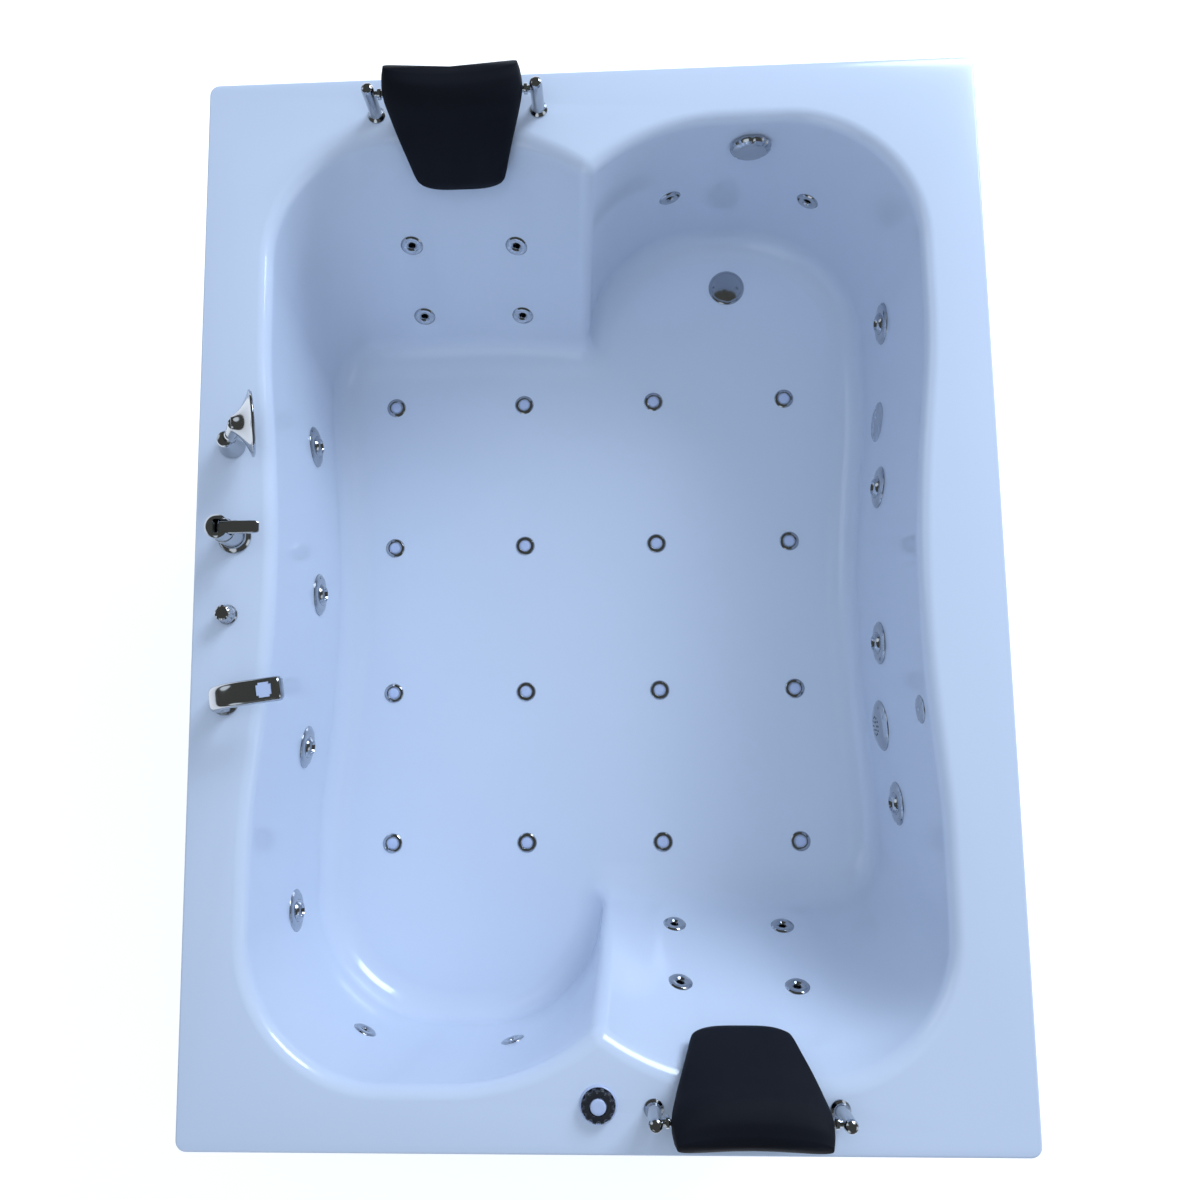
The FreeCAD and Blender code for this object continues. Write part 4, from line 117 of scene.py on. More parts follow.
@dataclass(frozen=True)
class BasinOutline:
    """The basin's wall line at any depth: corners joined by straight runs and rounded."""

    half_length: float = 915.0
    half_width: float = 680.0
    rim_height: float = 600.0
    depth: float = 480.0
    rim_roll: float = 22.0
    floor_round: float = 55.0
    foot_end_deck: float = 80.0
    seat_end_deck: float = 83.0
    foot_side_deck: float = 83.0
    seat_side_deck: float = 97.0
    waist_side_deck: float = 128.0
    side_draft: float = 15.0
    foot_end_draft: float = 3.0
    seat_recline: float = 245.0
    lobe_start: float = 400.0
    waist_radius: float = 2500.0
    lobe_ease_radius: float = 1200.0
    foot_corner: tuple[float, float] = (228.0, 262.0)
    seat_corner: tuple[float, float] = (228.0, 100.0)
    nose_from_end: float = 189.0
    nose_recline: float = 170.0
    nose_shift: float = 8.0
    nose_radius: tuple[float, float] = (26.0, 16.0)
    foot_shoulder: tuple[float, float] = (120.0, 18.0)
    seat_shoulder: tuple[float, float] = (120.0, 130.0)
    shoulder_share: float = 0.84

    def blend(self, top: float, floor: float, depth: float) -> float:
        """A value that runs evenly from the rim to the floor."""
        return top + (floor - top) * depth / self.depth

    def corners(self, depth: float) -> list[Triple]:
        """Corners of the wall line, counter-clockwise from the waist at +X.

        Args:
            depth: Distance below the rim.

        Returns:
            (x, y, rounding radius) of each corner.
        """
        side_x = self.half_width - self.rim_roll - self.blend(0.0, self.side_draft, depth)
        foot_x = side_x - self.foot_side_deck
        seat_x = side_x - self.seat_side_deck
        waist_x = side_x - self.waist_side_deck
        foot_y = self.half_length - self.rim_roll - self.foot_end_deck
        foot_y -= self.blend(0.0, self.foot_end_draft, depth)
        seat_y = self.half_length - self.seat_end_deck - self.rim_roll
        seat_y -= self.seat_recline / self.depth * depth
        nose_x = self.blend(0.0, -self.nose_shift, depth)
        nose_y = self.half_length - self.nose_from_end - self.blend(0.0, self.nose_recline, depth)
        foot_shoulder = self.blend(*self.foot_shoulder, depth)
        seat_shoulder = -self.blend(*self.seat_shoulder, depth)

        def shoulder_radius(x: float, y: float) -> float:
            """Radius that rounds most of the edge between the nose and a shoulder.

            Args:
                x: The shoulder's x.
                y: The shoulder's y.

            Returns:
                The radius.
            """
            edge = math.hypot(x - nose_x, y - nose_y)
            turn = math.atan2(y - nose_y, abs(x - nose_x))
            return self.shoulder_share * edge / math.tan(turn / 2)

        half = [
            (waist_x, 0.0, self.waist_radius),
            (foot_x, self.lobe_start, self.lobe_ease_radius),
            (foot_x, foot_y, self.blend(*self.foot_corner, depth)),
            (foot_shoulder, foot_y, shoulder_radius(foot_shoulder, foot_y)),
            (nose_x, nose_y, self.blend(*self.nose_radius, depth)),
            (seat_shoulder, seat_y, shoulder_radius(seat_shoulder, seat_y)),
            (-seat_x, seat_y, self.blend(*self.seat_corner, depth)),
            (-seat_x, self.lobe_start, self.lobe_ease_radius),
        ]
        return half + [(-x, -y, radius) for x, y, radius in half]

    def arcs(self, depth: float, inset: float) -> list[Arc]:
        """The rounded corners at a depth, moved into the basin by an inset.

        Args:
            depth: Distance below the rim.
            inset: Distance from the wall line into the basin.

        Returns:
            The arc of each corner.
        """
        corners = self.corners(depth)
        found = []
        for index, (x, y, radius) in enumerate(corners):
            before = corners[index - 1]
            after = corners[(index + 1) % len(corners)]
            corner = Vector((x, y, 0.0))
            into = (corner - Vector((before[0], before[1], 0.0))).normalized()
            out = (Vector((after[0], after[1], 0.0)) - corner).normalized()
            bulge = 1.0 if into.cross(out).z > 0 else -1.0
            turn = into.angle(out)
            tangent = radius * math.tan(turn / 2)
            to_centre = (out - into).normalized()
            centre = corner + to_centre * (radius / math.cos(turn / 2))
            inner = radius - bulge * inset
            scale = inner / radius
            start = centre + (corner - into * tangent - centre) * scale
            end = centre + (corner + out * tangent - centre) * scale
            found.append(Arc(start, centre - to_centre * inner, end, centre, inner, bulge))
        return found

    def loop(self, depth: float, inset: float, arc_steps: Sequence[int],
             run_steps: Sequence[int]) -> list[Vector]:
        """Points round the outline, the same number at every depth.

        Args:
            depth: Distance below the rim.
            inset: Distance from the wall line into the basin.
            arc_steps: Steps on each of the first half's corners.
            run_steps: Steps on the straight run after each of those corners.

        Returns:
            The points, level at zero height.
        """
        arcs = self.arcs(depth, inset)
        points: list[Vector] = []
        for index, arc in enumerate(arcs):
            following = arcs[(index + 1) % len(arcs)].start
            steps = arc_steps[index % len(arc_steps)]
            first, last = arc.start - arc.centre, arc.end - arc.centre
            sweep = first.angle(last)
            way = 1.0 if first.cross(last).z > 0 else -1.0
            for step in range(steps):
                turn = Matrix.Rotation(way * sweep * step / steps, 3, "Z")
                points.append(arc.centre + turn @ first)
            runs = run_steps[index % len(run_steps)]
            for step in range(runs):
                points.append(arc.end.lerp(following, step / runs))
        return points

    def hit(self, x: float, y: float, way: Vector, depth: float) -> tuple[Vector, Vector]:
        """Where a level line from inside the basin meets the wall.

        Args:
            x: Start of the line.
            y: Start of the line.
            way: Its direction.
            depth: Distance below the rim.

        Returns:
            The point and the wall's level normal, into the basin.
        """
        origin = Vector((x, y, 0.0))
        arcs = self.arcs(depth, 0.0)
        found: list[tuple[float, Vector]] = []
        for index, arc in enumerate(arcs):
            run = arcs[(index + 1) % len(arcs)].start - arc.end
            cross = way.cross(run).z
            if abs(cross) > LINE_TOLERANCE:
                distance = (arc.end - origin).cross(run).z / cross
                share = (arc.end - origin).cross(way).z / cross
                if distance > 0 and -LINE_TOLERANCE <= share <= 1 + LINE_TOLERANCE:
                    found.append((distance, Vector((-run.y, run.x, 0.0)).normalized()))
            offset = origin - arc.centre
            along = offset.dot(way)
            root = along * along - offset.dot(offset) + arc.radius * arc.radius
            if root < 0:
                continue
            middle = arc.middle - arc.centre
            half_angle = (arc.start - arc.centre).angle(middle)
            for sign in (-1.0, 1.0):
                distance = -along + sign * math.sqrt(root)
                spoke = origin + way * distance - arc.centre
                if distance > 0 and spoke.angle(middle) <= half_angle + TINY:
                    found.append((distance, spoke.normalized() * -arc.bulge))
        distance, normal = min(found, key=lambda item: item[0])
        return origin + way * distance, normal

    def wall(self, x: float, y: float, way: tuple[float, float], depth: float) -> Place:
        """Place on the basin's wall, met from (x, y) along way at a depth.

        Args:
            x: Start of the line.
            y: Start of the line.
            way: Its direction.
            depth: Distance below the rim.

        Returns:
            The place, its normal square to the sloping wall.
        """
        line = Vector((way[0], way[1], 0.0))
        point, level = self.hit(x, y, line, depth)
        lower, _ = self.hit(x, y, line, depth + 1.0)
        draft = (lower - point).dot(level)
        normal = (level + UP * draft).normalized()
        return Place(point + UP * (self.rim_height - depth), normal)

    def end_wall(self, x: float, depth: float) -> Place:
        """A place on the end wall at +Y."""
        return self.wall(x, 0.0, (0.0, 1.0), depth)

    def deck(self, x: float, y: float) -> Place:
        """A place on the deck."""
        return Place(Vector((x, y, self.rim_height)), UP)


OUTLINE = BasinOutline()
FLOOR_TOP = OUTLINE.rim_height - OUTLINE.depth


@dataclass(frozen=True)
class FittingMap:
    """Where the fittings that come in rows or pairs stand."""

    side_depth: float = 275.0
    right_jets: tuple[float, ...] = (535.0, 209.0, -89.0, -386.0)
    left_jets: tuple[float, ...] = (314.0, 20.0, -272.0, -575.0)
    back_columns: tuple[float, float] = (143.0, 348.0)
    back_depths: tuple[float, float] = (220.0, 380.0)
    foot_columns: tuple[float, float] = (160.0, 430.0)
    foot_depth: float = 260.0
    flute_depth: float = 4.0
    air_spacing: tuple[float, float] = (276.0, 307.0)
    air_centre: tuple[float, float] = (-10.0, -7.0)
    air_count: int = 4
    headrest_spot: tuple[float, float] = (229.0, -844.0)
    post_reach: float = 145.0

    def both_ends(self, places: list[Place]) -> list[Place]:
        """The places, and the same ones on the other end."""
        return places + [place.turned() for place in places]

    def side_jets(self) -> list[Place]:
        """Side jets, the right wall's first."""
        left = [OUTLINE.wall(0.0, y, (-1.0, 0.0), self.side_depth) for y in self.left_jets]
        return [OUTLINE.wall(0.0, y, (1.0, 0.0), self.side_depth) for y in self.right_jets] + left

    def back_jets(self) -> list[Place]:
        """Jets in the bottom of the backrests' flutes."""
        return self.both_ends([OUTLINE.end_wall(-x, depth).sunk(self.flute_depth)
                               for depth in self.back_depths for x in self.back_columns])

    def foot_jets(self) -> list[Place]:
        """Jets on the foot wells' end walls."""
        return self.both_ends([OUTLINE.end_wall(x, self.foot_depth) for x in self.foot_columns])

    def air_jets(self) -> list[Place]:
        """Air jets on the floor, in rows and columns.

        Returns:
            Their places, a row at a time.
        """
        middle = (self.air_count - 1) / 2
        steps = [index - middle for index in range(self.air_count)]
        return [
            Place(Vector((self.air_centre[0] + column * self.air_spacing[0],
                          self.air_centre[1] + row * self.air_spacing[1], FLOOR_TOP)), UP)
            for column in steps for row in steps
        ]

    def posts(self) -> list[Place]:
        """Posts of both headrests, the pair at +Y first.

        Returns:
            Their places.
        """
        x, y = self.headrest_spot
        return [OUTLINE.deck(side * x + shift * self.post_reach, side * y)
                for side in (-1, 1) for shift in (-1, 1)]


class Face(Enum):
    """Faces of the tub that single fittings sit on."""

    RIGHT_WALL = "right wall"
    END_WALL = "end wall"
    FLOOR = "floor"
    DECK = "deck"


class Spot(Enum):
    """Single fittings: the face that each sits on, and its two distances there.

    On a wall they are the distance along it and the depth below the rim. On the deck and the
    floor they are x and y.
    """

    SUCTION = (Face.RIGHT_WALL, -242.0, 320.0)
    LIGHT = (Face.RIGHT_WALL, 351.0, 320.0)
    SENSOR = (Face.RIGHT_WALL, -222.0, 62.0)
    OVERFLOW = (Face.END_WALL, 299.0, 88.0)
    WASTE = (Face.FLOOR, 290.0, 703.0)
    MIXER = (Face.DECK, -610.0, 82.0)
    DIVERTER = (Face.DECK, -618.0, -52.0)
    SPOUT = (Face.DECK, -618.0, -198.0)
    SHOWER = (Face.DECK, -618.0, 243.0)
    DIAL = (Face.DECK, -3.0, -838.0)

    def place(self) -> Place:
        """The fitting's place.

        Returns:
            The place on the spot's own face.
        """
        face, first, second = self.value
        if face is Face.RIGHT_WALL:
            return OUTLINE.wall(0.0, first, (1.0, 0.0), second)
        if face is Face.END_WALL:
            return OUTLINE.end_wall(first, second)
        if face is Face.DECK:
            return OUTLINE.deck(first, second)
        return Place(Vector((first, second, FLOOR_TOP)), UP)


FITTINGS = FittingMap()


# ---- node helpers
def add_node(tree: Tree, kind: str, inputs: dict[str | int, object] | None = None,
             **settings: object) -> bpy.types.Node:
    """Adds a node, and sets or links its inputs.

    Args:
        tree: The tree to add to.
        kind: Type of the node.
        inputs: Input's name or number to a value, or to the socket that feeds it.
        settings: Properties of the node.

    Returns:
        The node.
    """
    node = tree.nodes.new(kind)
    for name, value in settings.items():
        setattr(node, name, value)
    for label, value in (inputs or {}).items():
        if isinstance(value, Socket):
            tree.links.new(value, node.inputs[label])
        else:
            node.inputs[label].default_value = value
    return node


def combine(tree: Tree, operation: str, first: object, second: object, clamp: bool = False) -> Socket:
    """Result of a math operation on two values or sockets."""
    node = add_node(tree, "ShaderNodeMath", {0: first, 1: second}, operation=operation, use_clamp=clamp)
    return node.outputs[0]


def remap(tree: Tree, value: Socket, source: tuple[float, float], target: tuple[float, float] = (0.0, 1.0),
          interpolation: str = "LINEAR") -> Socket:
    """Moves a value from one range to another, held within it.

    Args:
        tree: The tree to add to.
        value: Socket with the value.
        source: Range that it comes from.
        target: Range that it goes to.
        interpolation: How it runs between the two ends.

    Returns:
        The moved value's socket.
    """
    node = add_node(tree, "ShaderNodeMapRange", {
        "Value": value, "From Min": source[0], "From Max": source[1],
        "To Min": target[0], "To Max": target[1],
    }, interpolation_type=interpolation)
    return node.outputs["Result"]


def object_point(tree: Tree) -> Socket:
    """The shaded point in Object coordinates."""
    return add_node(tree, "ShaderNodeTexCoord").outputs["Object"]


def facing_up(tree: Tree) -> Socket:
    """How far the surface faces up: 1 is level, -1 is upside down."""
    normal = add_node(tree, "ShaderNodeNewGeometry").outputs["Normal"]
    return add_node(tree, "ShaderNodeSeparateXYZ", {0: normal}).outputs["Z"]


def mix_colours(tree: Tree, mask: Socket, first: object, second: object) -> Socket:
    """Mixes two colours by a mask.

    Args:
        tree: The material's nodes.
        mask: Socket between 0 and 1.
        first: Colour or socket at 0.
        second: Colour or socket at 1.

    Returns:
        The mixed colour's socket.
    """
    mix = add_node(tree, "ShaderNodeMix", {0: mask}, data_type="RGBA")
    for socket, value in ((mix.inputs[6], first), (mix.inputs[7], second)):
        if isinstance(value, Socket):
            tree.links.new(value, socket)
        else:
            socket.default_value = (*value, 1.0)
    return mix.outputs[2]


# ---- shared shader groups
class GroupMaker:
    """Builds each shared shader group once."""

    def __init__(self) -> None:
        """Starts with no group built."""
        self.made: dict[str, bpy.types.ShaderNodeTree] = {}

    def new_tree(self, name: str, inputs: dict[str, tuple[str, object]], outputs: Sequence[str]) -> tuple:
        """Makes an empty group with its sockets.

        Args:
            name: Name of the group.
            inputs: Socket name to (socket type, default value).
            outputs: Names of the outputs, all plain numbers.

        Returns:
            The tree, its input node and its output node.
        """
        tree = bpy.data.node_groups.new(name, "ShaderNodeTree")
        for label, (kind, value) in inputs.items():
            socket = tree.interface.new_socket(label, in_out="INPUT", socket_type=kind)
            socket.default_value = value
        for label in outputs:
            tree.interface.new_socket(label, in_out="OUTPUT", socket_type="NodeSocketFloat")
        self.made[name] = tree
        return tree, tree.nodes.new("NodeGroupInput"), tree.nodes.new("NodeGroupOutput")

    def drift(self) -> bpy.types.ShaderNodeTree:
        """Slow and fine variation over a surface: masks for colour, roughness and bump.

        Returns:
            The group, built on the first call.
        """
        if "surface_drift" in self.made:
            return self.made["surface_drift"]
        tree, enter, leave = self.new_tree("surface_drift", {
            "Scale": ("NodeSocketFloat", 6.0), "Fine Scale": ("NodeSocketFloat", 300.0),
            "Stretch": ("NodeSocketVector", (1.0, 1.0, 1.0)),
        }, ("Mask", "Fine"))
        stretched = add_node(tree, "ShaderNodeVectorMath",
                             {0: object_point(tree), 1: enter.outputs["Stretch"]}, operation="MULTIPLY")
        for label, scale, detail in (("Mask", "Scale", 3.0), ("Fine", "Fine Scale", 2.0)):
            noise = add_node(tree, "ShaderNodeTexNoise", {
                "Vector": stretched.outputs[0], "Scale": enter.outputs[scale], "Detail": detail,
            })
            tree.links.new(noise.outputs["Fac"], leave.inputs[label])
        return tree

    def dust(self) -> bpy.types.ShaderNodeTree:
        """Dust that settles on faces that look up.

        Returns:
            The group, built on the first call.
        """
        if "settled_dust" in self.made:
            return self.made["settled_dust"]
        tree, enter, leave = self.new_tree("settled_dust", {
            "Amount": ("NodeSocketFloat", 0.3), "Scale": ("NodeSocketFloat", 20.0),
        }, ("Mask",))
        noise = add_node(tree, "ShaderNodeTexNoise",
                         {"Vector": object_point(tree), "Scale": enter.outputs["Scale"]})
        upward = combine(tree, "MULTIPLY", facing_up(tree), noise.outputs["Fac"], clamp=True)
        tree.links.new(combine(tree, "MULTIPLY", upward, enter.outputs["Amount"], clamp=True),
                       leave.inputs["Mask"])
        return tree


GROUPS = GroupMaker()


# ---- finishes
@dataclass(frozen=True)
class Finish:
    """A surface finish with slow colour drift, varied roughness and fine bump."""

    name: str
    colour: Triple
    drift_colour: Triple
    roughness: tuple[float, float] = (0.3, 0.4)
    metallic: float = 0.0
    coat: float = 0.0
    coat_roughness: float = 0.06
    scale: float = 6.0
    fine_scale: float = 400.0
    stretch: Triple = (1.0, 1.0, 1.0)
    bump: float = 0.05
    bump_depth: float = 0.0005
    dust: float = 0.0
    dust_colour: Triple = (0.42, 0.40, 0.37)
    specular: float = 0.5
    mask_range: tuple[float, float] = (0.3, 0.7)

    @property
    def title(self) -> str:
        """The material's name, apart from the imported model's own."""
        return self.name + "_finish"

    def build(self) -> bpy.types.Material:
        """The material, made on its first use.

        Returns:
            The material.
        """
        known = bpy.data.materials.get(self.title)
        if known:
            return known
        material = bpy.data.materials.new(self.title)
        material.use_nodes = True
        tree = material.node_tree
        surface = tree.nodes["Principled BSDF"]
        for label, value in (("Metallic", self.metallic), ("Coat Weight", self.coat),
                             ("Coat Roughness", self.coat_roughness), ("Specular IOR Level", self.specular)):
            surface.inputs[label].default_value = value
        drift = add_node(tree, "ShaderNodeGroup", node_tree=GROUPS.drift())
        for label, value in (("Scale", self.scale), ("Fine Scale", self.fine_scale),
                             ("Stretch", self.stretch)):
            drift.inputs[label].default_value = value
        colour, height = self.dress(tree, drift)
        tree.links.new(colour, surface.inputs["Base Color"])
        tree.links.new(remap(tree, drift.outputs["Mask"], self.mask_range, self.roughness),
                       surface.inputs["Roughness"])
        bump = add_node(tree, "ShaderNodeBump",
                        {"Strength": self.bump, "Distance": self.bump_depth, "Height": height})
        tree.links.new(bump.outputs["Normal"], surface.inputs["Normal"])
        return material

    def base(self, tree: Tree, drift: bpy.types.Node) -> Socket:
        """The colour as it drifts over the surface."""
        return mix_colours(tree, drift.outputs["Mask"], self.colour, self.drift_colour)

    def dress(self, tree: Tree, drift: bpy.types.Node) -> tuple[Socket, Socket]:
        """Colour of the surface and height of its bump.

        Args:
            tree: The material's nodes.
            drift: The placed drift group.

        Returns:
            The colour's socket and the height's socket.
        """
        colour = self.base(tree, drift)
        if self.dust:
            dust = add_node(tree, "ShaderNodeGroup", node_tree=GROUPS.dust())
            dust.inputs["Amount"].default_value = self.dust
            colour = mix_colours(tree, dust.outputs["Mask"], colour, self.dust_colour)
        return colour, drift.outputs["Fine"]


@dataclass(frozen=True)
class PlywoodFinish(Finish):
    """Plywood: stretched grain on the faces and glued plies on the edges."""

    ply: float = 2.4
    glue: Triple = (0.20, 0.12, 0.06)

    def dress(self, tree: Tree, drift: bpy.types.Node) -> tuple[Socket, Socket]:
        """Adds the plies' dark glue lines to the grain on faces that stand upright.

        Args:
            tree: The material's nodes.
            drift: The placed drift group.

        Returns:
            The colour's socket and the height's socket.
        """
        parts = add_node(tree, "ShaderNodeSeparateXYZ", {0: object_point(tree)})
        half_ply = self.ply * MM / 2
        lines = remap(tree, combine(tree, "PINGPONG", parts.outputs["Z"], half_ply), (0.0, half_ply))
        level = add_node(tree, "ShaderNodeMath", {0: facing_up(tree)}, operation="ABSOLUTE").outputs[0]
        edge = combine(tree, "SUBTRACT", lines, level, clamp=True)
        return mix_colours(tree, edge, self.base(tree, drift), self.glue), drift.outputs["Fine"]


@dataclass(frozen=True)
class FibreFinish(Finish):
    """Sprayed glass fibre in resin: chopped strands that lie every way."""

    strand_scale: float = 55.0
    strand_width: float = 0.18
    strand_colour: Triple = (0.74, 0.72, 0.64)
    warp_scale: float = 9.0

    def dress(self, tree: Tree, drift: bpy.types.Node) -> tuple[Socket, Socket]:
        """Lays the strands over the resin's colour, and sinks them below it.

        Args:
            tree: The material's nodes.
            drift: The placed drift group.

        Returns:
            The colour's socket and the height's socket.
        """
        point = object_point(tree)
        warp = add_node(tree, "ShaderNodeTexNoise", {"Vector": point, "Scale": self.warp_scale})
        bent = add_node(tree, "ShaderNodeVectorMath", {0: point, 1: warp.outputs["Color"]}, operation="ADD")
        cells = add_node(tree, "ShaderNodeTexVoronoi",
                         {"Vector": bent.outputs[0], "Scale": self.strand_scale}, feature="DISTANCE_TO_EDGE")
        resin = remap(tree, cells.outputs["Distance"], (0.0, self.strand_width))
        return mix_colours(tree, resin, self.strand_colour, self.base(tree, drift)), resin


@dataclass(frozen=True)
class SkinFinish(Finish):
    """Moulded foam skin with a fine pebbled grain."""

    pebble_scale: float = 900.0

    def dress(self, tree: Tree, drift: bpy.types.Node) -> tuple[Socket, Socket]:
        """Takes the bump from the pebbles.

        Args:
            tree: The material's nodes.
            drift: The placed drift group.

        Returns:
            The colour's socket and the height's socket.
        """
        pebbles = add_node(tree, "ShaderNodeTexVoronoi",
                           {"Vector": object_point(tree), "Scale": self.pebble_scale})
        return super().dress(tree, drift)[0], pebbles.outputs["Distance"]


@dataclass(frozen=True)
class GlassFinish(Finish):
    """Clear moulded plastic for the lamp's lens."""

    clearness: float = 0.55
    index: float = 1.49

    def build(self) -> bpy.types.Material:
        """The material, made on its first use.

        Returns:
            The material.
        """
        fresh = self.title not in bpy.data.materials
        material = super().build()
        if fresh:
            surface = material.node_tree.nodes["Principled BSDF"]
            surface.inputs["Transmission Weight"].default_value = self.clearness
            surface.inputs["IOR"].default_value = self.index
        return material


ACRYLIC = Finish("acrylic", (0.67, 0.74, 0.87), (0.69, 0.76, 0.88), (0.12, 0.20), coat=0.3, scale=3.0,
                 fine_scale=60.0, bump=0.02, bump_depth=0.0004)
BACKING = FibreFinish("fibre_backing", (0.66, 0.64, 0.52), (0.58, 0.57, 0.47), (0.35, 0.55), scale=5.0,
                      bump=0.5, bump_depth=0.0006)
CHROME = Finish("chrome", (0.47, 0.49, 0.52), (0.52, 0.54, 0.57), (0.07, 0.15), metallic=1.0, scale=18.0,
                fine_scale=500.0, bump=0.01, bump_depth=0.0001)
# Near-black finish for the nozzles' bores: painted shade inside the chrome water way.
BORE_PAINTED_SHADE = Finish("jet_bore", (0.012, 0.012, 0.014), (0.02, 0.02, 0.022), (0.4, 0.6), scale=30.0, bump=0.05)
PALE_PLASTIC = Finish("pale_plastic", (0.49, 0.57, 0.78), (0.52, 0.60, 0.80), (0.18, 0.26), scale=20.0,
                      fine_scale=700.0, bump=0.04, bump_depth=0.0002)
BLACK_PLASTIC = Finish("black_plastic", (0.020, 0.020, 0.023), (0.032, 0.032, 0.034), (0.35, 0.5), scale=14.0,
                       fine_scale=900.0, bump=0.15, bump_depth=0.0003, dust=0.25)
KNOB_BLACK = Finish("knob_black", (0.016, 0.017, 0.022), (0.026, 0.027, 0.032), (0.22, 0.32), scale=40.0,
                    fine_scale=900.0, bump=0.06, bump_depth=0.0002)
PAD_SKIN = SkinFinish("pad_skin", (0.0030, 0.0038, 0.0085), (0.0050, 0.0063, 0.0115), (0.62, 0.76), scale=9.0,
                      bump=0.12, bump_depth=0.0003, specular=0.22)
FRAME_PAINT = Finish("frame_paint", (0.30, 0.32, 0.34), (0.34, 0.36, 0.38), (0.32, 0.45), scale=7.0,
                     fine_scale=250.0, bump=0.10, bump_depth=0.0003, dust=0.55)
ZINC = Finish("zinc_plate", (0.60, 0.60, 0.56), (0.50, 0.49, 0.42), (0.25, 0.42), metallic=1.0, scale=60.0,
              fine_scale=900.0, bump=0.05, bump_depth=0.0002)
PLYWOOD = PlywoodFinish("plywood", (0.56, 0.38, 0.20), (0.42, 0.26, 0.12), (0.55, 0.75), scale=9.0,
                        fine_scale=120.0, stretch=(9.0, 1.0, 4.0), bump=0.25, bump_depth=0.0004)
PIPE_WHITE = Finish("pipe_white", (0.78, 0.78, 0.75), (0.72, 0.72, 0.68), (0.25, 0.36), scale=8.0,
                    fine_scale=300.0, bump=0.04, bump_depth=0.0003, dust=0.4)
GREY_PLASTIC = Finish("grey_plastic", (0.26, 0.28, 0.31), (0.30, 0.32, 0.35), (0.38, 0.5), scale=14.0,
                      fine_scale=800.0, bump=0.12, bump_depth=0.0003, dust=0.3)
RUBBER = Finish("seal_rubber", (0.018, 0.018, 0.018), (0.03, 0.03, 0.03), (0.6, 0.75), scale=30.0, bump=0.1)
BRASS = Finish("brass", (0.72, 0.50, 0.20), (0.60, 0.38, 0.14), (0.22, 0.38), metallic=1.0, scale=35.0,
               bump=0.04)
COPPER = Finish("copper", (0.75, 0.36, 0.20), (0.55, 0.24, 0.13), (0.25, 0.45), metallic=1.0, scale=18.0,
                bump=0.03)
CAST = Finish("cast_aluminium", (0.44, 0.45, 0.46), (0.36, 0.37, 0.38), (0.42, 0.55), metallic=0.7,
              scale=25.0, fine_scale=450.0, bump=0.35, bump_depth=0.0004, dust=0.2)
LENS = GlassFinish("lamp_lens", (0.70, 0.78, 0.92), (0.74, 0.81, 0.94), (0.12, 0.22), scale=40.0,
                   fine_scale=500.0, bump=0.2, bump_depth=0.0003)


# ---- mesh helpers
STRAIGHT_TURN = math.radians(8)
RUN_SHARE = 0.45


class Layer(IntEnum):
    """Which of a piece's finishes a face takes."""

    MAIN = 0
    SECOND = 1


def new_object(name: str, mesh: bpy.types.Mesh, materials: Sequence[Finish]) -> bpy.types.Object:
    """Links a mesh as an object with its materials.

    Args:
        name: Name of the object.
        mesh: Its mesh, with no material yet.
        materials: Finishes, in the order of the faces' indices.

    Returns:
        The object.
    """
    obj = bpy.data.objects.new(name, mesh)
    bpy.context.scene.collection.objects.link(obj)
    for finish in materials:
        mesh.materials.append(finish.build())
    return obj


def soften(mesh: bpy.types.Mesh, angle: float = SHARP_ANGLE) -> None:
    """Shades a mesh smooth, and keeps edges sharper than angle degrees."""
    mesh.shade_smooth()
    mesh.set_sharp_from_angle(angle=math.radians(angle))


def rounded(points: Profile, radius: float, steps: int = 4, closed: bool = False) -> Profile:
    """A profile with its corners rounded.

    Args:
        points: (radius, height) pairs.
        radius: Largest rounding; a short run takes less.
        steps: Steps on each rounding.
        closed: Whether the last point joins the first.

    Returns:
        The new profile.
    """
    result: list[tuple[float, float]] = []
    count = len(points)
    for index, point in enumerate(points):
        if not closed and index in (0, count - 1):
            result.append(point)
            continue
        here = Vector(point)
        before = Vector(points[index - 1])
        after = Vector(points[(index + 1) % count])
        into = here - before
        out = after - here
        turn = into.angle(out, 0.0)
        if turn < STRAIGHT_TURN:
            result.append(point)
            continue
        reach = min(radius * math.tan(turn / 2), into.length * RUN_SHARE, out.length * RUN_SHARE)
        first = here - into.normalized() * reach
        last = here + out.normalized() * reach
        for step in range(steps + 1):
            share = step / steps
            spot = first.lerp(here, share).lerp(here.lerp(last, share), share)
            result.append((spot.x, spot.y))
    return result


def lathe(profile: Profile, segments: int = 72, closed: bool = False,
          ripple: Callable[[float, float, float], float] | None = None) -> Shape:
    """Turns a profile about +Z into a mesh, in millimetres.

    Args:
        profile: (radius, height) pairs; an open one ends on the axis or is left open.
        segments: Steps round the axis.
        closed: Whether the last point joins the first.
        ripple: Gives the radius to use from (radius, height, angle).

    Returns:
        A new bmesh with outward normals.
    """
    mesh = bmesh.new()
    rings: list[Ring] = []
    for radius, height in profile:
        if radius < TINY:
            rings.append([mesh.verts.new((0.0, 0.0, height))])
            continue
        ring = []
        for step in range(segments):
            angle = 2 * math.pi * step / segments
            reach = ripple(radius, height, angle) if ripple else radius
            ring.append(mesh.verts.new((reach * math.cos(angle), reach * math.sin(angle), height)))
        rings.append(ring)
    pairs = list(zip(rings, rings[1:]))
    if closed:
        pairs.append((rings[-1], rings[0]))
    for low, high in pairs:
        bridge(mesh, low, high)
    bmesh.ops.recalc_face_normals(mesh, faces=mesh.faces)
    return mesh


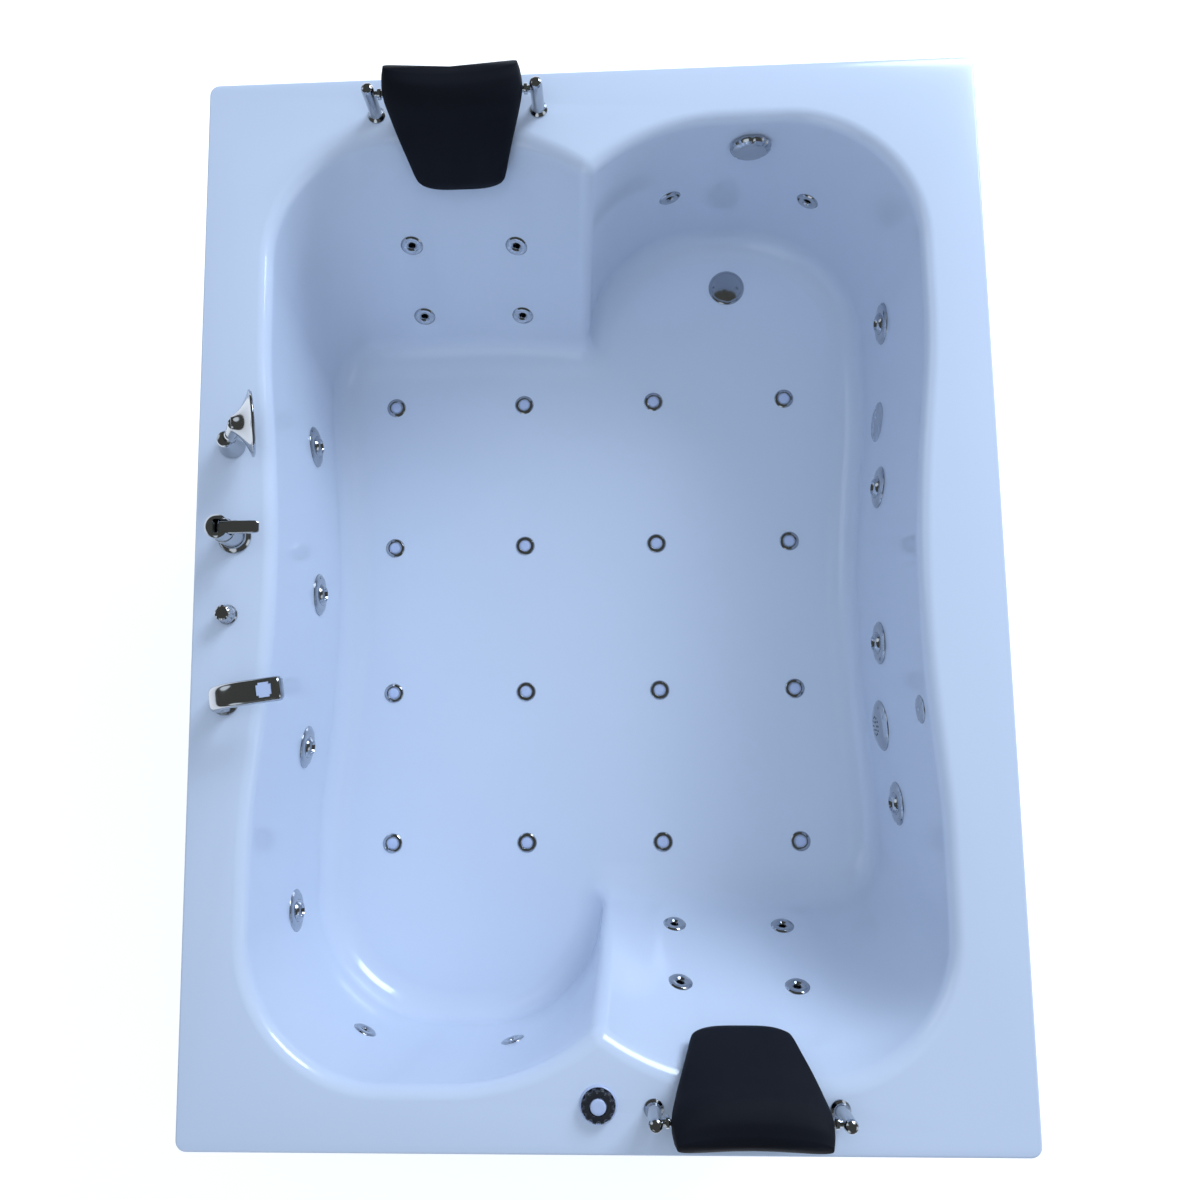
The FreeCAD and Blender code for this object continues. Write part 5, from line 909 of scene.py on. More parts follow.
def bridge(mesh: Shape, low: Ring, high: Ring, layer: Layer = Layer.MAIN) -> None:
    """Faces between two rings with the same number of points, or a ring and a pole.

    Args:
        mesh: The bmesh to add to.
        low: First ring.
        high: Second ring.
        layer: Which finish the faces take.
    """
    count = max(len(low), len(high))
    for step in range(count):
        following = (step + 1) % count
        if len(low) == 1 and len(high) == 1:
            return
        if len(low) == 1:
            corners = [low[0], high[following], high[step]]
        elif len(high) == 1:
            corners = [low[step], low[following], high[0]]
        else:
            corners = [low[step], low[following], high[following], high[step]]
        face = mesh.faces.new(corners)
        face.material_index = layer


def loft(rows: Sequence[Sequence[Vector]], poles: bool = False) -> Shape:
    """Skins closed loops of points one after another, in millimetres, and closes both ends.

    Args:
        rows: The loops, all with the same number of points.
        poles: Whether an end closes on a middle point, or with one face.

    Returns:
        A new bmesh with outward normals.
    """
    shape = bmesh.new()
    rings = [[shape.verts.new(point) for point in row] for row in rows]
    for low, high in zip(rings, rings[1:]):
        bridge(shape, low, high)
    for ring in (rings[0], rings[-1]):
        if poles:
            middle = sum((vert.co for vert in ring), Vector()) / len(ring)
            bridge(shape, ring, [shape.verts.new(middle)])
        else:
            shape.faces.new(ring)
    bmesh.ops.recalc_face_normals(shape, faces=shape.faces)
    return shape


def sweep(path: Sequence[Vector], section: Callable[[float], Profile], side: Vector) -> Shape:
    """Sweeps a section along a path in a plane, with closed ends, in millimetres.

    Args:
        path: Points along the path.
        section: Gives the section's points (along side, across it) at a share of the path.
        side: Unit vector square to the path's plane.

    Returns:
        A new bmesh with outward normals.
    """
    rows = []
    last = len(path) - 1
    for index, point in enumerate(path):
        ahead = path[min(index + 1, last)] - path[max(index - 1, 0)]
        across = side.cross(ahead.normalized())
        rows.append([point + side * a + across * b for a, b in section(index / last)])
    return loft(rows)


def circle(radius: float, count: int, height: float = 0.0) -> list[Vector]:
    """Points evenly spaced about +Z, in millimetres."""
    angles = [2 * math.pi * step / count for step in range(count)]
    return [Vector((radius * math.cos(angle), radius * math.sin(angle), height)) for angle in angles]


def oval(half_a: float, half_b: float, power: float, count: int) -> Profile:
    """Points of a superellipse: power 2 is an ellipse, larger is squarer.

    Args:
        half_a: Half its width.
        half_b: Half its height.
        power: Its squareness.
        count: Number of points.

    Returns:
        The points.
    """
    points = []
    for step in range(count):
        angle = 2 * math.pi * step / count
        cosine, sine = math.cos(angle), math.sin(angle)
        a = math.copysign(abs(cosine) ** (2 / power), cosine) * half_a
        b = math.copysign(abs(sine) ** (2 / power), sine) * half_b
        points.append((a, b))
    return points


def to_mesh(name: str, shape: Shape, place: Place | None = None,
            smooth: float = SHARP_ANGLE) -> bpy.types.Mesh:
    """Turns a bmesh in millimetres into a mesh in metres, at a place.

    Args:
        name: Name of the mesh.
        shape: The bmesh, freed here.
        place: Where it goes; None leaves it in the tub's frame.
        smooth: Sharp angle in degrees.

    Returns:
        The mesh.
    """
    shape.transform(Matrix.Scale(MM, 4))
    if place is not None:
        shape.transform(place.matrix())
    mesh = bpy.data.meshes.new(name)
    shape.to_mesh(mesh)
    shape.free()
    soften(mesh, smooth)
    return mesh


def joined(shapes: Sequence[Shape]) -> Shape:
    """One bmesh of several; the others are freed.

    Args:
        shapes: The shapes to join.

    Returns:
        The first shape, with the others in it.
    """
    first = shapes[0]
    for other in shapes[1:]:
        scratch = bpy.data.meshes.new("scratch")
        other.to_mesh(scratch)
        other.free()
        first.from_mesh(scratch)
        bpy.data.meshes.remove(scratch)
    return first


def moved(shape: Shape, place: Place) -> Shape:
    """A bmesh in millimetres, moved to a place."""
    shape.transform(place.matrix(1.0))
    return shape


def block(low: Triple, high: Triple) -> Shape:
    """A box between two corners, in millimetres, for cutting.

    Args:
        low: Corner with the lowest values.
        high: Corner opposite.

    Returns:
        A new bmesh.
    """
    shape = bmesh.new()
    size = [b - a for a, b in zip(low, high)]
    middle = [(a + b) / 2 for a, b in zip(low, high)]
    bmesh.ops.create_cube(shape, size=1.0, matrix=Matrix.Translation(middle) @ Matrix.Diagonal((*size, 1.0)))
    return shape


def cylinder(radius: float, low: float, high: float, place: Place, segments: int) -> Shape:
    """A plain cylinder along a place's normal, for cutting holes."""
    return moved(lathe([(0.0, low), (radius, low), (radius, high), (0.0, high)], segments), place)


def carve(obj: bpy.types.Object, cutters: Sequence[Shape], smooth: float = SHARP_ANGLE) -> None:
    """Cuts shapes in millimetres out of an object, and leaves a plain mesh.

    Args:
        obj: The object to cut.
        cutters: Closed shapes that don't touch each other.
        smooth: Sharp angle in degrees.
    """
    tool = new_object("cutter", to_mesh("cutter", joined(cutters)), [])
    step = obj.modifiers.new("holes", "BOOLEAN")
    step.operation = "DIFFERENCE"
    step.solver = "EXACT"
    step.object = tool
    settle_modifiers(obj)
    bpy.data.objects.remove(tool)
    soften(obj.data, smooth)


def settle_modifiers(obj: bpy.types.Object) -> None:
    """Turns an object's modifiers into plain mesh, and removes them.

    Args:
        obj: The object.
    """
    depsgraph = bpy.context.evaluated_depsgraph_get()
    mesh = bpy.data.meshes.new_from_object(obj.evaluated_get(depsgraph), depsgraph=depsgraph)
    obj.modifiers.clear()
    old = obj.data
    obj.data = mesh
    mesh.name = old.name
    bpy.data.meshes.remove(old)


@dataclass(frozen=True)
class Role:
    """What a finished piece is: its body, the record's material slot and the nodes it replaces."""

    body: str
    slot: str
    nodes: tuple[str, ...] = ()

    def give(self, obj: bpy.types.Object) -> bpy.types.Object:
        """Puts a finished piece on its body, and hides the nodes it stands for.

        Args:
            obj: The piece.

        Returns:
            The piece.
        """
        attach(obj, self.body)
        if self.nodes:
            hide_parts(*self.nodes)
        LOG.info("%s: %d faces on %s", obj.name, len(obj.data.polygons), self.body)
        return obj


def fixed(slot: str, *nodes: str) -> Role:
    """Role of a piece that doesn't move."""
    return Role(HOUSE_BODY, slot, nodes)


def moving(body: str, slot: str) -> Role:
    """Role of a piece that moves and replaces the node its body is named after."""
    return Role(body, slot, (body,))


def add_piece(name: str, shape: Shape, place: Place | None, finishes: Sequence[Finish], role: Role,
              cutters: Sequence[Shape] = (), smooth: float = SHARP_ANGLE) -> bpy.types.Object:
    """Makes one finished piece.

    Args:
        name: Name of the piece.
        shape: Its bmesh in millimetres, freed here.
        place: Where it goes; None leaves it in the tub's frame.
        finishes: Its finishes, in the order of the faces' material indices.
        role: Its body, slot and nodes.
        cutters: Shapes to cut out of it, in the tub's frame.
        smooth: Sharp angle in degrees.

    Returns:
        The piece.
    """
    obj = new_object(name, to_mesh(name, shape, place, smooth), finishes)
    if cutters:
        carve(obj, cutters, smooth)
    return role.give(obj)


class Repeater:
    """Places copies of one fitting on many places with a geometry node tree."""

    def __init__(self, name: str, shape: Shape, finish: Finish) -> None:
        """Makes the tree for one fitting.

        Args:
            name: Name of the finished piece.
            shape: One fitting in millimetres, facing +Z at the origin, freed here.
            finish: Its finish.
        """
        self.name = name
        self.finish = finish
        self.fitting = new_object(name + "_one", to_mesh(name + "_one", shape), [finish])
        self.tree = bpy.data.node_groups.new(name + "_copies", "GeometryNodeTree")
        face = self.tree.interface
        face.new_socket("Geometry", in_out="INPUT", socket_type="NodeSocketGeometry")
        size = face.new_socket("Size", in_out="INPUT", socket_type="NodeSocketFloat")
        size.default_value = 1.0
        self.size_socket = size.identifier
        face.new_socket("Geometry", in_out="OUTPUT", socket_type="NodeSocketGeometry")
        enter = add_node(self.tree, "NodeGroupInput")
        facing = add_node(self.tree, "GeometryNodeInputNamedAttribute", {"Name": "facing"},
                          data_type="FLOAT_VECTOR")
        align = add_node(self.tree, "FunctionNodeAlignRotationToVector",
                         {"Vector": facing.outputs["Attribute"]}, axis="Z")
        one = add_node(self.tree, "GeometryNodeObjectInfo", {"Object": self.fitting})
        copies = add_node(self.tree, "GeometryNodeInstanceOnPoints", {
            "Points": enter.outputs["Geometry"], "Instance": one.outputs["Geometry"],
            "Rotation": align.outputs["Rotation"], "Scale": enter.outputs["Size"],
        })
        realize = add_node(self.tree, "GeometryNodeRealizeInstances",
                           {"Geometry": copies.outputs["Instances"]})
        coat = add_node(self.tree, "GeometryNodeSetMaterial",
                        {"Geometry": realize.outputs["Geometry"], "Material": finish.build()})
        add_node(self.tree, "NodeGroupOutput", {"Geometry": coat.outputs["Geometry"]})

    def place(self, places: Sequence[Place], role: Role, size: float = 1.0) -> bpy.types.Object:
        """Makes the copies, and turns them into one plain mesh.

        Args:
            places: Where the copies go.
            role: The finished piece's body, slot and nodes.
            size: Scale of every copy.

        Returns:
            The finished object.
        """
        points = bpy.data.meshes.new(self.name)
        points.from_pydata([place.point * MM for place in places], [], [])
        facing = points.attributes.new("facing", "FLOAT_VECTOR", "POINT")
        for index, place in enumerate(places):
            facing.data[index].vector = place.normal
        obj = new_object(self.name, points, [])
        step = obj.modifiers.new("copies", "NODES")
        step.node_group = self.tree
        step[self.size_socket] = size
        settle_modifiers(obj)
        bpy.data.objects.remove(self.fitting)
        obj.data.materials.clear()
        obj.data.materials.append(self.finish.build())
        return role.give(obj)


# ---- the shell
@dataclass(frozen=True)
class TubShell:
    """The acrylic moulding: deck, rolled edge, basin with flutes, lip and fibre backing."""

    wall: float = 8.0
    rim_corner: float = 18.0
    edge_round: float = 4.8
    lip_drop: float = 30.0
    lip_wall: float = 6.0
    lip_round: float = 1.5
    flute_width: float = 85.0
    flute_top: float = 75.0
    flute_floor: float = 425.0
    flute_reach: float = 30.0
    flute_band: tuple[float, float] = (20.0, 475.0)
    arc_steps: tuple[int, ...] = (10, 8, 26, 14, 10, 14, 22, 8)
    run_steps: tuple[int, ...] = (12, 10, 12, 3, 3, 26, 12, 12)
    inner_steps: tuple[int, int, int] = (10, 44, 10)
    outer_steps: tuple[int, int, int] = (5, 12, 6)
    corner_steps: int = 8
    edge_steps: int = 4
    side_hole: float = 28.5
    small_hole: float = 12.5
    suction_hole: float = 26.5
    light_hole: float = 27.5
    sensor_hole: float = 11.5
    overflow_hole: float = 24.5
    waste_hole: float = 26.5
    air_hole: float = 9.5
    deck_hole: float = 8.5
    drill: tuple[float, float] = (-24.0, 14.0)
    smooth: float = 30.0

    def levels(self, wall: float, roll_steps: int, wall_steps: int, floor_steps: int) -> Profile:
        """Depth and inset of each loop, for a skin wall mm outside the basin.

        Args:
            wall: Distance outside the basin's face.
            roll_steps: Loops on the rolled edge.
            wall_steps: Loops down the wall.
            floor_steps: Loops on the floor's rounding.

        Returns:
            (depth, inset) pairs from the deck to the floor.
        """
        roll, bottom = OUTLINE.rim_roll, OUTLINE.depth - OUTLINE.floor_round
        found = []
        for step in range(roll_steps + 1):
            angle = math.pi / 2 * step / roll_steps
            found.append((roll - (roll - wall) * math.cos(angle), -roll + (roll - wall) * math.sin(angle)))
        for step in range(1, wall_steps + 1):
            found.append((roll + (bottom - roll) * step / wall_steps, -wall))
        reach = OUTLINE.floor_round + wall
        for step in range(1, floor_steps + 1):
            angle = math.pi / 2 * step / floor_steps
            found.append((bottom + reach * math.sin(angle), OUTLINE.floor_round - reach * math.cos(angle)))
        return found

    def flute_lines(self) -> list[tuple[Vector, Vector, Vector]]:
        """Top, bottom and normal of each flute's middle line.

        Returns:
            One line for each flute.
        """
        lines = []
        for x in FITTINGS.back_columns:
            top = OUTLINE.end_wall(-x, self.flute_top + self.flute_width / 2)
            bottom = OUTLINE.end_wall(-x, self.flute_floor - self.flute_width / 2)
            for high, low in ((top, bottom), (top.turned(), bottom.turned())):
                lines.append((high.point, low.point, high.normal))
        return lines

    def fluted(self, point: Vector, lines: Sequence[tuple[Vector, Vector, Vector]]) -> Vector:
        """Moves a point of the basin's face into the nearest flute.

        Args:
            point: A point of the face.
            lines: The flutes' middle lines.

        Returns:
            The moved point, or the same one away from the flutes.
        """
        depth = FITTINGS.flute_depth
        radius = (self.flute_width ** 2 / 4 + depth ** 2) / (2 * depth)
        for top, bottom, normal in lines:
            run = bottom - top
            offset = point - top
            share = min(1.0, max(0.0, offset.dot(run) / run.dot(run)))
            away = offset - run * share
            if abs(away.dot(normal)) > self.flute_reach:
                continue
            aside = (away - normal * away.dot(normal)).length
            if aside < self.flute_width / 2:
                deep = math.sqrt(radius ** 2 - aside ** 2) - (radius - depth)
                return point - normal * deep
        return point

    def rectangle(self, half_x: float, half_y: float, radius: float, height: float) -> list[Vector]:
        """Points of a rounded rectangle, counter-clockwise.

        Args:
            half_x: Half its size across.
            half_y: Half its size along.
            radius: Rounding of its corners.
            height: Height of every point.

        Returns:
            The points.
        """
        points = []
        for index, (side_x, side_y) in enumerate(((1, 1), (-1, 1), (-1, -1), (1, -1))):
            centre = Vector((side_x * (half_x - radius), side_y * (half_y - radius), height))
            for step in range(self.corner_steps + 1):
                angle = math.pi / 2 * (index + step / self.corner_steps)
                points.append(centre + Vector((math.cos(angle), math.sin(angle), 0.0)) * radius)
        return points

    def build(self) -> bpy.types.Object:
        """Makes the shell with its holes.

        Returns:
            The finished shell.
        """
        shape = bmesh.new()
        inner = self.skin(shape, self.levels(0.0, *self.inner_steps), self.flute_lines(), Layer.MAIN)
        outer = self.skin(shape, self.levels(self.wall, *self.outer_steps), (), Layer.SECOND)
        edges = self.rim_edges(shape)
        self.fill_between(shape, edges[0], inner[0], Layer.MAIN)
        self.fill_between(shape, edges[-1], outer[0], Layer.SECOND)
        shape.faces.new(list(reversed(inner[-1])))
        shape.faces.new(outer[-1]).material_index = Layer.SECOND
        bmesh.ops.recalc_face_normals(shape, faces=shape.faces)
        return add_piece("tub_moulding", shape, None, [ACRYLIC, BACKING], fixed("acrylic", "tub_shell"),
                         self.hole_cutters(), self.smooth)

    def skin(self, shape: Shape, levels: Profile, lines: Sequence[tuple[Vector, Vector, Vector]],
             layer: Layer) -> list[Ring]:
        """Loops of one face of the basin, joined by faces.

        Args:
            shape: The bmesh to add to.
            levels: Depth and inset of each loop.
            lines: Flutes to press into the face.
            layer: Which finish the faces take.

        Returns:
            The loops' vertices from the deck to the floor.
        """
        rings = []
        for depth, inset in levels:
            line_depth = min(depth, OUTLINE.depth)
            lift = UP * (OUTLINE.rim_height - depth)
            points = OUTLINE.loop(line_depth, inset, self.arc_steps, self.run_steps)
            if lines and self.flute_band[0] < depth < self.flute_band[1]:
                points = [self.fluted(point + lift, lines) for point in points]
            else:
                points = [point + lift for point in points]
            rings.append([shape.verts.new(point) for point in points])
        for low, high in zip(rings, rings[1:]):
            bridge(shape, low, high, layer)
        return rings

    def rim_edges(self, shape: Shape) -> list[Ring]:
        """Loops round the rim's outside: rounded edge, lip and the lip's inside.

        Args:
            shape: The bmesh to add to.

        Returns:
            The loops from the deck to the shell's underside.
        """
        top = OUTLINE.rim_height
        low = top - self.lip_drop
        stations: list[tuple[float, float]] = []
        for step in range(self.edge_steps + 1):
            angle = math.pi / 2 * step / self.edge_steps
            stations.append((self.edge_round * (1 - math.sin(angle)),
                             top - self.edge_round * (1 - math.cos(angle))))
        stations += [(0.0, low + self.lip_round), (self.lip_round, low), (self.lip_wall, low),
                     (self.lip_wall, top - self.wall)]
        rings = []
        for inward, height in stations:
            points = self.rectangle(OUTLINE.half_width - inward, OUTLINE.half_length - inward,
                                    self.rim_corner - inward, height)
            rings.append([shape.verts.new(point) for point in points])
        for index, (low, high) in enumerate(zip(rings, rings[1:])):
            bridge(shape, low, high, Layer.SECOND if index >= len(rings) - 2 else Layer.MAIN)
        return rings

    def fill_between(self, shape: Shape, outside: Ring, inside: Ring, layer: Layer) -> None:
        """Fills the flat between two loops with triangles.

        Args:
            shape: The bmesh to add to.
            outside: The outer loop.
            inside: The inner loop.
            layer: Which finish the faces take.
        """
        verts = list(outside) + list(inside)
        for corners in tessellate_polygon([[v.co for v in outside], [v.co for v in inside]]):
            shape.faces.new([verts[index] for index in corners]).material_index = layer

    def hole_cutters(self) -> list[Shape]:
        """A bar for every fitting's hole.

        Returns:
            The bars, square to each wall.
        """
        decks = [spot.place() for spot in Spot if spot.value[0] is Face.DECK]
        return [
            cylinder(radius, *self.drill, place, 40)
            for radius, places in (
                (self.side_hole, FITTINGS.side_jets()),
                (self.small_hole, FITTINGS.back_jets() + FITTINGS.foot_jets()),
                (self.suction_hole, [Spot.SUCTION.place()]), (self.light_hole, [Spot.LIGHT.place()]),
                (self.sensor_hole, [Spot.SENSOR.place()]), (self.overflow_hole, [Spot.OVERFLOW.place()]),
                (self.waste_hole, [Spot.WASTE.place()]), (self.air_hole, FITTINGS.air_jets()),
                (self.deck_hole, decks + FITTINGS.posts()),
            )
            for place in places
        ]


# ---- jets and wall fittings
@dataclass(frozen=True)
class SideJets:
    """Side jets: a broad chrome ring round a ball nozzle that turns in it."""

    bezel: float = 40.0
    thick: float = 6.0
    ball: float = 23.0
    ball_gap: float = 0.3
    ball_sink: float = 5.0
    ball_span: tuple[int, int, int] = (-44, 52, 6)
    cup_angles: tuple[float, ...] = (26, 18, 9, 0, -12, -24, -34)
    front: float = 13.0
    bore: float = 9.0

    def build(self) -> None:
        """Makes the rings and the nozzles."""
        places = FITTINGS.side_jets()
        socket = self.ball + self.ball_gap
        mouth = math.sqrt(socket ** 2 - (self.thick + self.ball_sink) ** 2)
        cup = [(socket * math.cos(math.radians(a)), -self.ball_sink + socket * math.sin(math.radians(a)))
               for a in self.cup_angles]
        ring = rounded([
            (28.0, -26.0), (28.0, -0.5), (self.bezel, -0.5), (self.bezel, 1.6), (self.bezel - 3.5, 4.4),
            (self.bezel - 8.0, self.thick - 0.2), (self.bezel - 13.0, self.thick),
            (mouth + 1.5, self.thick + 0.2), (mouth, self.thick - 0.8),
        ], 1.6, 4) + cup + [(20.0, -26.0)]
        Repeater("side_jet_rings", lathe(ring, 72, closed=True), CHROME).place(
            places, fixed("chrome", "side_jet_bezels"))
        for number, place in enumerate(places, 1):
            body = "jet_nozzle_%d" % number
            add_piece("nozzle_%d" % number, self.nozzle(), place, [CHROME, BORE_PAINTED_SHADE],
                      moving(body, "chrome"))

    def nozzle(self) -> Shape:
        """One ball nozzle; the deep part of its water way is painted near-black as shade.

        Returns:
            A new bmesh, facing +Z.
        """
        centre = -self.ball_sink
        sphere = [(self.ball * math.cos(math.radians(a)), centre + self.ball * math.sin(math.radians(a)))
                  for a in range(*self.ball_span)]
        profile = [(self.bore, centre - 16.0), (sphere[0][0], centre - 16.0)] + sphere + [
            (14.0, self.front), (12.4, self.front), (11.0, self.front - 2.5), (self.bore, self.front - 7.0),
        ]
        shape = lathe(profile, 60, closed=True)
        # Faces deep in the bore take the near-black finish, as painted shade.
        for face in shape.faces:
            middle = face.calc_center_median()
            if math.hypot(middle.x, middle.y) < self.bore + 0.6 and middle.z < self.front - 6.0:
                face.material_index = Layer.SECOND
        return shape


@dataclass(frozen=True)
class SmallJets:
    """Fixed jets in the backrests and foot wells, and the air caps on the floor."""

    radius: float = 22.0
    thick: float = 4.0
    bore: float = 6.0
    cap_radius: float = 20.0

    def build(self) -> None:
        """Makes the rings and the caps."""
        ring = rounded([
            (12.0, -20.0), (12.0, -0.5), (self.radius, -0.5), (self.radius, 1.2), (self.radius - 3.0, 3.6),
            (self.radius - 7.0, self.thick), (self.bore + 4.5, self.thick - 0.4), (self.bore + 1.0, 1.2),
            (self.bore, -1.0), (self.bore, -20.0),
        ], 1.2, 4, closed=True)
        Repeater("small_jet_rings", lathe(ring, 56, closed=True), CHROME).place(
            FITTINGS.back_jets() + FITTINGS.foot_jets(), fixed("chrome", "small_jet_bezels"))
        rim = rounded([
            (12.2, 0.0), (12.2, 3.0), (14.0, 3.4), (18.0, 2.4), (self.cap_radius, 0.9),
            (self.cap_radius, 0.0),
        ], 0.5, 3, closed=True)
        Repeater("floor_air_rims", lathe(rim, 48, closed=True), CHROME).place(
            FITTINGS.air_jets(), fixed("chrome"))
        cap = rounded([
            (0.0, 4.0), (6.0, 3.8), (9.6, 3.0), (11.2, 1.6), (11.4, 0.0), (9.0, 0.0), (9.0, -16.0),
            (6.0, -16.0), (6.0, 1.5), (0.0, 1.5),
        ], 0.8, 3)
        Repeater("floor_air_caps", lathe(cap, 48), PALE_PLASTIC).place(
            FITTINGS.air_jets(), fixed("pale_plastic", "air_jet_caps"))


@dataclass(frozen=True)
class WallFittings:
    """Suction cover, lamp lens, level sensor, overflow and waste."""

    suction_rings: tuple[tuple[float, int], ...] = ((8.5, 6), (17.0, 12))
    suction_bore: float = 2.3
    lens_pitch: float = 2.6
    lens_rings: int = 11
    lens_groove: float = 0.5
    grip_count: int = 8
    grip_depth: float = 2.4
    bar_reach: tuple[float, float] = (5.4, 23.0)
    bar_depth: float = -10.0

    def build(self) -> None:
        """Makes each fitting."""
        self.suction()
        self.lamp()
        self.sensor()
        self.overflow()
        self.waste()

    def suction(self) -> None:
        """Domed cover with rings of round holes."""
        dome = rounded([
            (0.0, 12.0), (12.0, 11.8), (24.0, 10.6), (36.0, 7.6), (44.0, 3.8), (47.2, 1.8), (48.0, 0.6),
            (48.0, -0.5), (26.0, -0.5), (26.0, -16.0), (23.0, -16.0), (23.0, 2.0), (0.0, 6.0),
        ], 1.2, 3)
        place = Spot.SUCTION.place()
        cutters = [
            moved(cylinder(self.suction_bore, 0.0, 24.0, Place(spot, UP), 16), place)
            for radius, count in self.suction_rings for spot in circle(radius, count)
        ]
        add_piece("suction_dome", lathe(dome, 72), place, [CHROME], fixed("chrome", "suction_cover"), cutters)

    def lamp(self) -> None:
        """Clear lens with rings on its face."""
        face = [(0.0, 7.0)]
        for step in range(1, self.lens_rings + 1):
            radius = self.lens_pitch * step
            groove = self.lens_groove if step % 2 else 0.0
            face.append((radius, 7.0 - radius * radius / 480.0 - groove))
        lens = rounded(face + [
            (34.0, 4.3), (37.6, 2.8), (39.0, 1.2), (39.0, -0.5), (27.0, -0.5), (27.0, -18.0), (24.0, -18.0),
            (24.0, 1.0), (0.0, 3.0),
        ], 0.8, 3)
        add_piece("lamp_lens", lathe(lens, 64), Spot.LIGHT.place(), [LENS], fixed("lens", "light_lens"))

    def sensor(self) -> None:
        """Small domed plate with a dimple in its middle, and its nut behind the wall."""
        plate = rounded([
            (0.0, 1.6), (4.0, 1.8), (6.5, 3.2), (18.0, 3.0), (22.4, 1.8), (24.0, 0.7), (24.0, -0.5),
            (11.0, -0.5), (11.0, -28.0), (0.0, -28.0),
        ], 1.0, 3)
        nut = rounded([(11.05, -7.5), (18.0, -7.5), (18.0, -15.5), (11.05, -15.5)], 0.8, 2, closed=True)
        shape = joined([lathe(plate, 56), lathe(nut, 6, closed=True)])
        add_piece("level_sensor_plate", shape, Spot.SENSOR.place(), [CHROME], fixed("chrome", "level_sensor"))

    def overflow(self) -> None:
        """Turning knob with finger grips round its edge."""
        def grips(radius: float, height: float, angle: float) -> float:
            """Presses the grips into the rim.

            Args:
                radius: The profile's radius.
                height: Its height.
                angle: Angle round the axis.

            Returns:
                The radius to use.
            """
            if radius < 30.0 or height < 1.0:
                return radius
            return radius - self.grip_depth * max(0.0, math.cos(self.grip_count * angle)) ** 3

        knob = rounded([
            (0.0, 14.6), (10.0, 14.8), (20.0, 15.8), (28.0, 15.2), (34.0, 12.2), (37.4, 8.2), (38.0, 5.0),
            (37.6, 2.6), (34.0, 0.3), (23.0, 0.3), (23.0, -8.0), (0.0, -8.0),
        ], 1.8, 4)
        add_piece("overflow_wheel", lathe(knob, 96, ripple=grips), Spot.OVERFLOW.place(), [CHROME],
                  moving("overflow_knob", "chrome"))

    def waste(self) -> None:
        """Flange with a cross of four bars round its guide, and the plug over it."""
        place = Spot.WASTE.place()
        ring = rounded([
            (22.0, -14.0), (22.0, 0.8), (29.0, 3.8), (34.5, 4.0), (37.2, 2.0), (38.0, 0.4), (38.0, 0.0),
            (26.0, 0.0), (26.0, -14.0),
        ], 0.9, 3, closed=True)
        cross = []
        for quarter in range(4):
            bar = sweep([Vector((x, 0.0, self.bar_depth)) for x in self.bar_reach],
                        lambda share: oval(2.6, 2.0, 4.0, 12), ALONG)
            bar.transform(Matrix.Rotation(math.pi / 2 * quarter, 4, "Z"))
            cross.append(bar)
        guide = rounded([(4.2, -14.0), (7.0, -14.0), (7.0, -6.0), (4.2, -6.0)], 0.5, 2, closed=True)
        shape = joined([lathe(ring, 64, closed=True), lathe(guide, 24, closed=True)] + cross)
        add_piece("waste_ring", shape, place, [CHROME], fixed("chrome", "waste_flange"))
        plug = rounded([
            (0.0, 9.2), (9.0, 9.0), (19.0, 8.0), (27.0, 6.2), (30.4, 5.2), (31.0, 4.8), (31.0, 4.3),
            (4.0, 4.3), (4.0, -22.0), (0.0, -22.0),
        ], 0.7, 3)
        add_piece("waste_stopper", lathe(plug, 64), place, [CHROME],
                  moving("waste_plug", "chrome"))


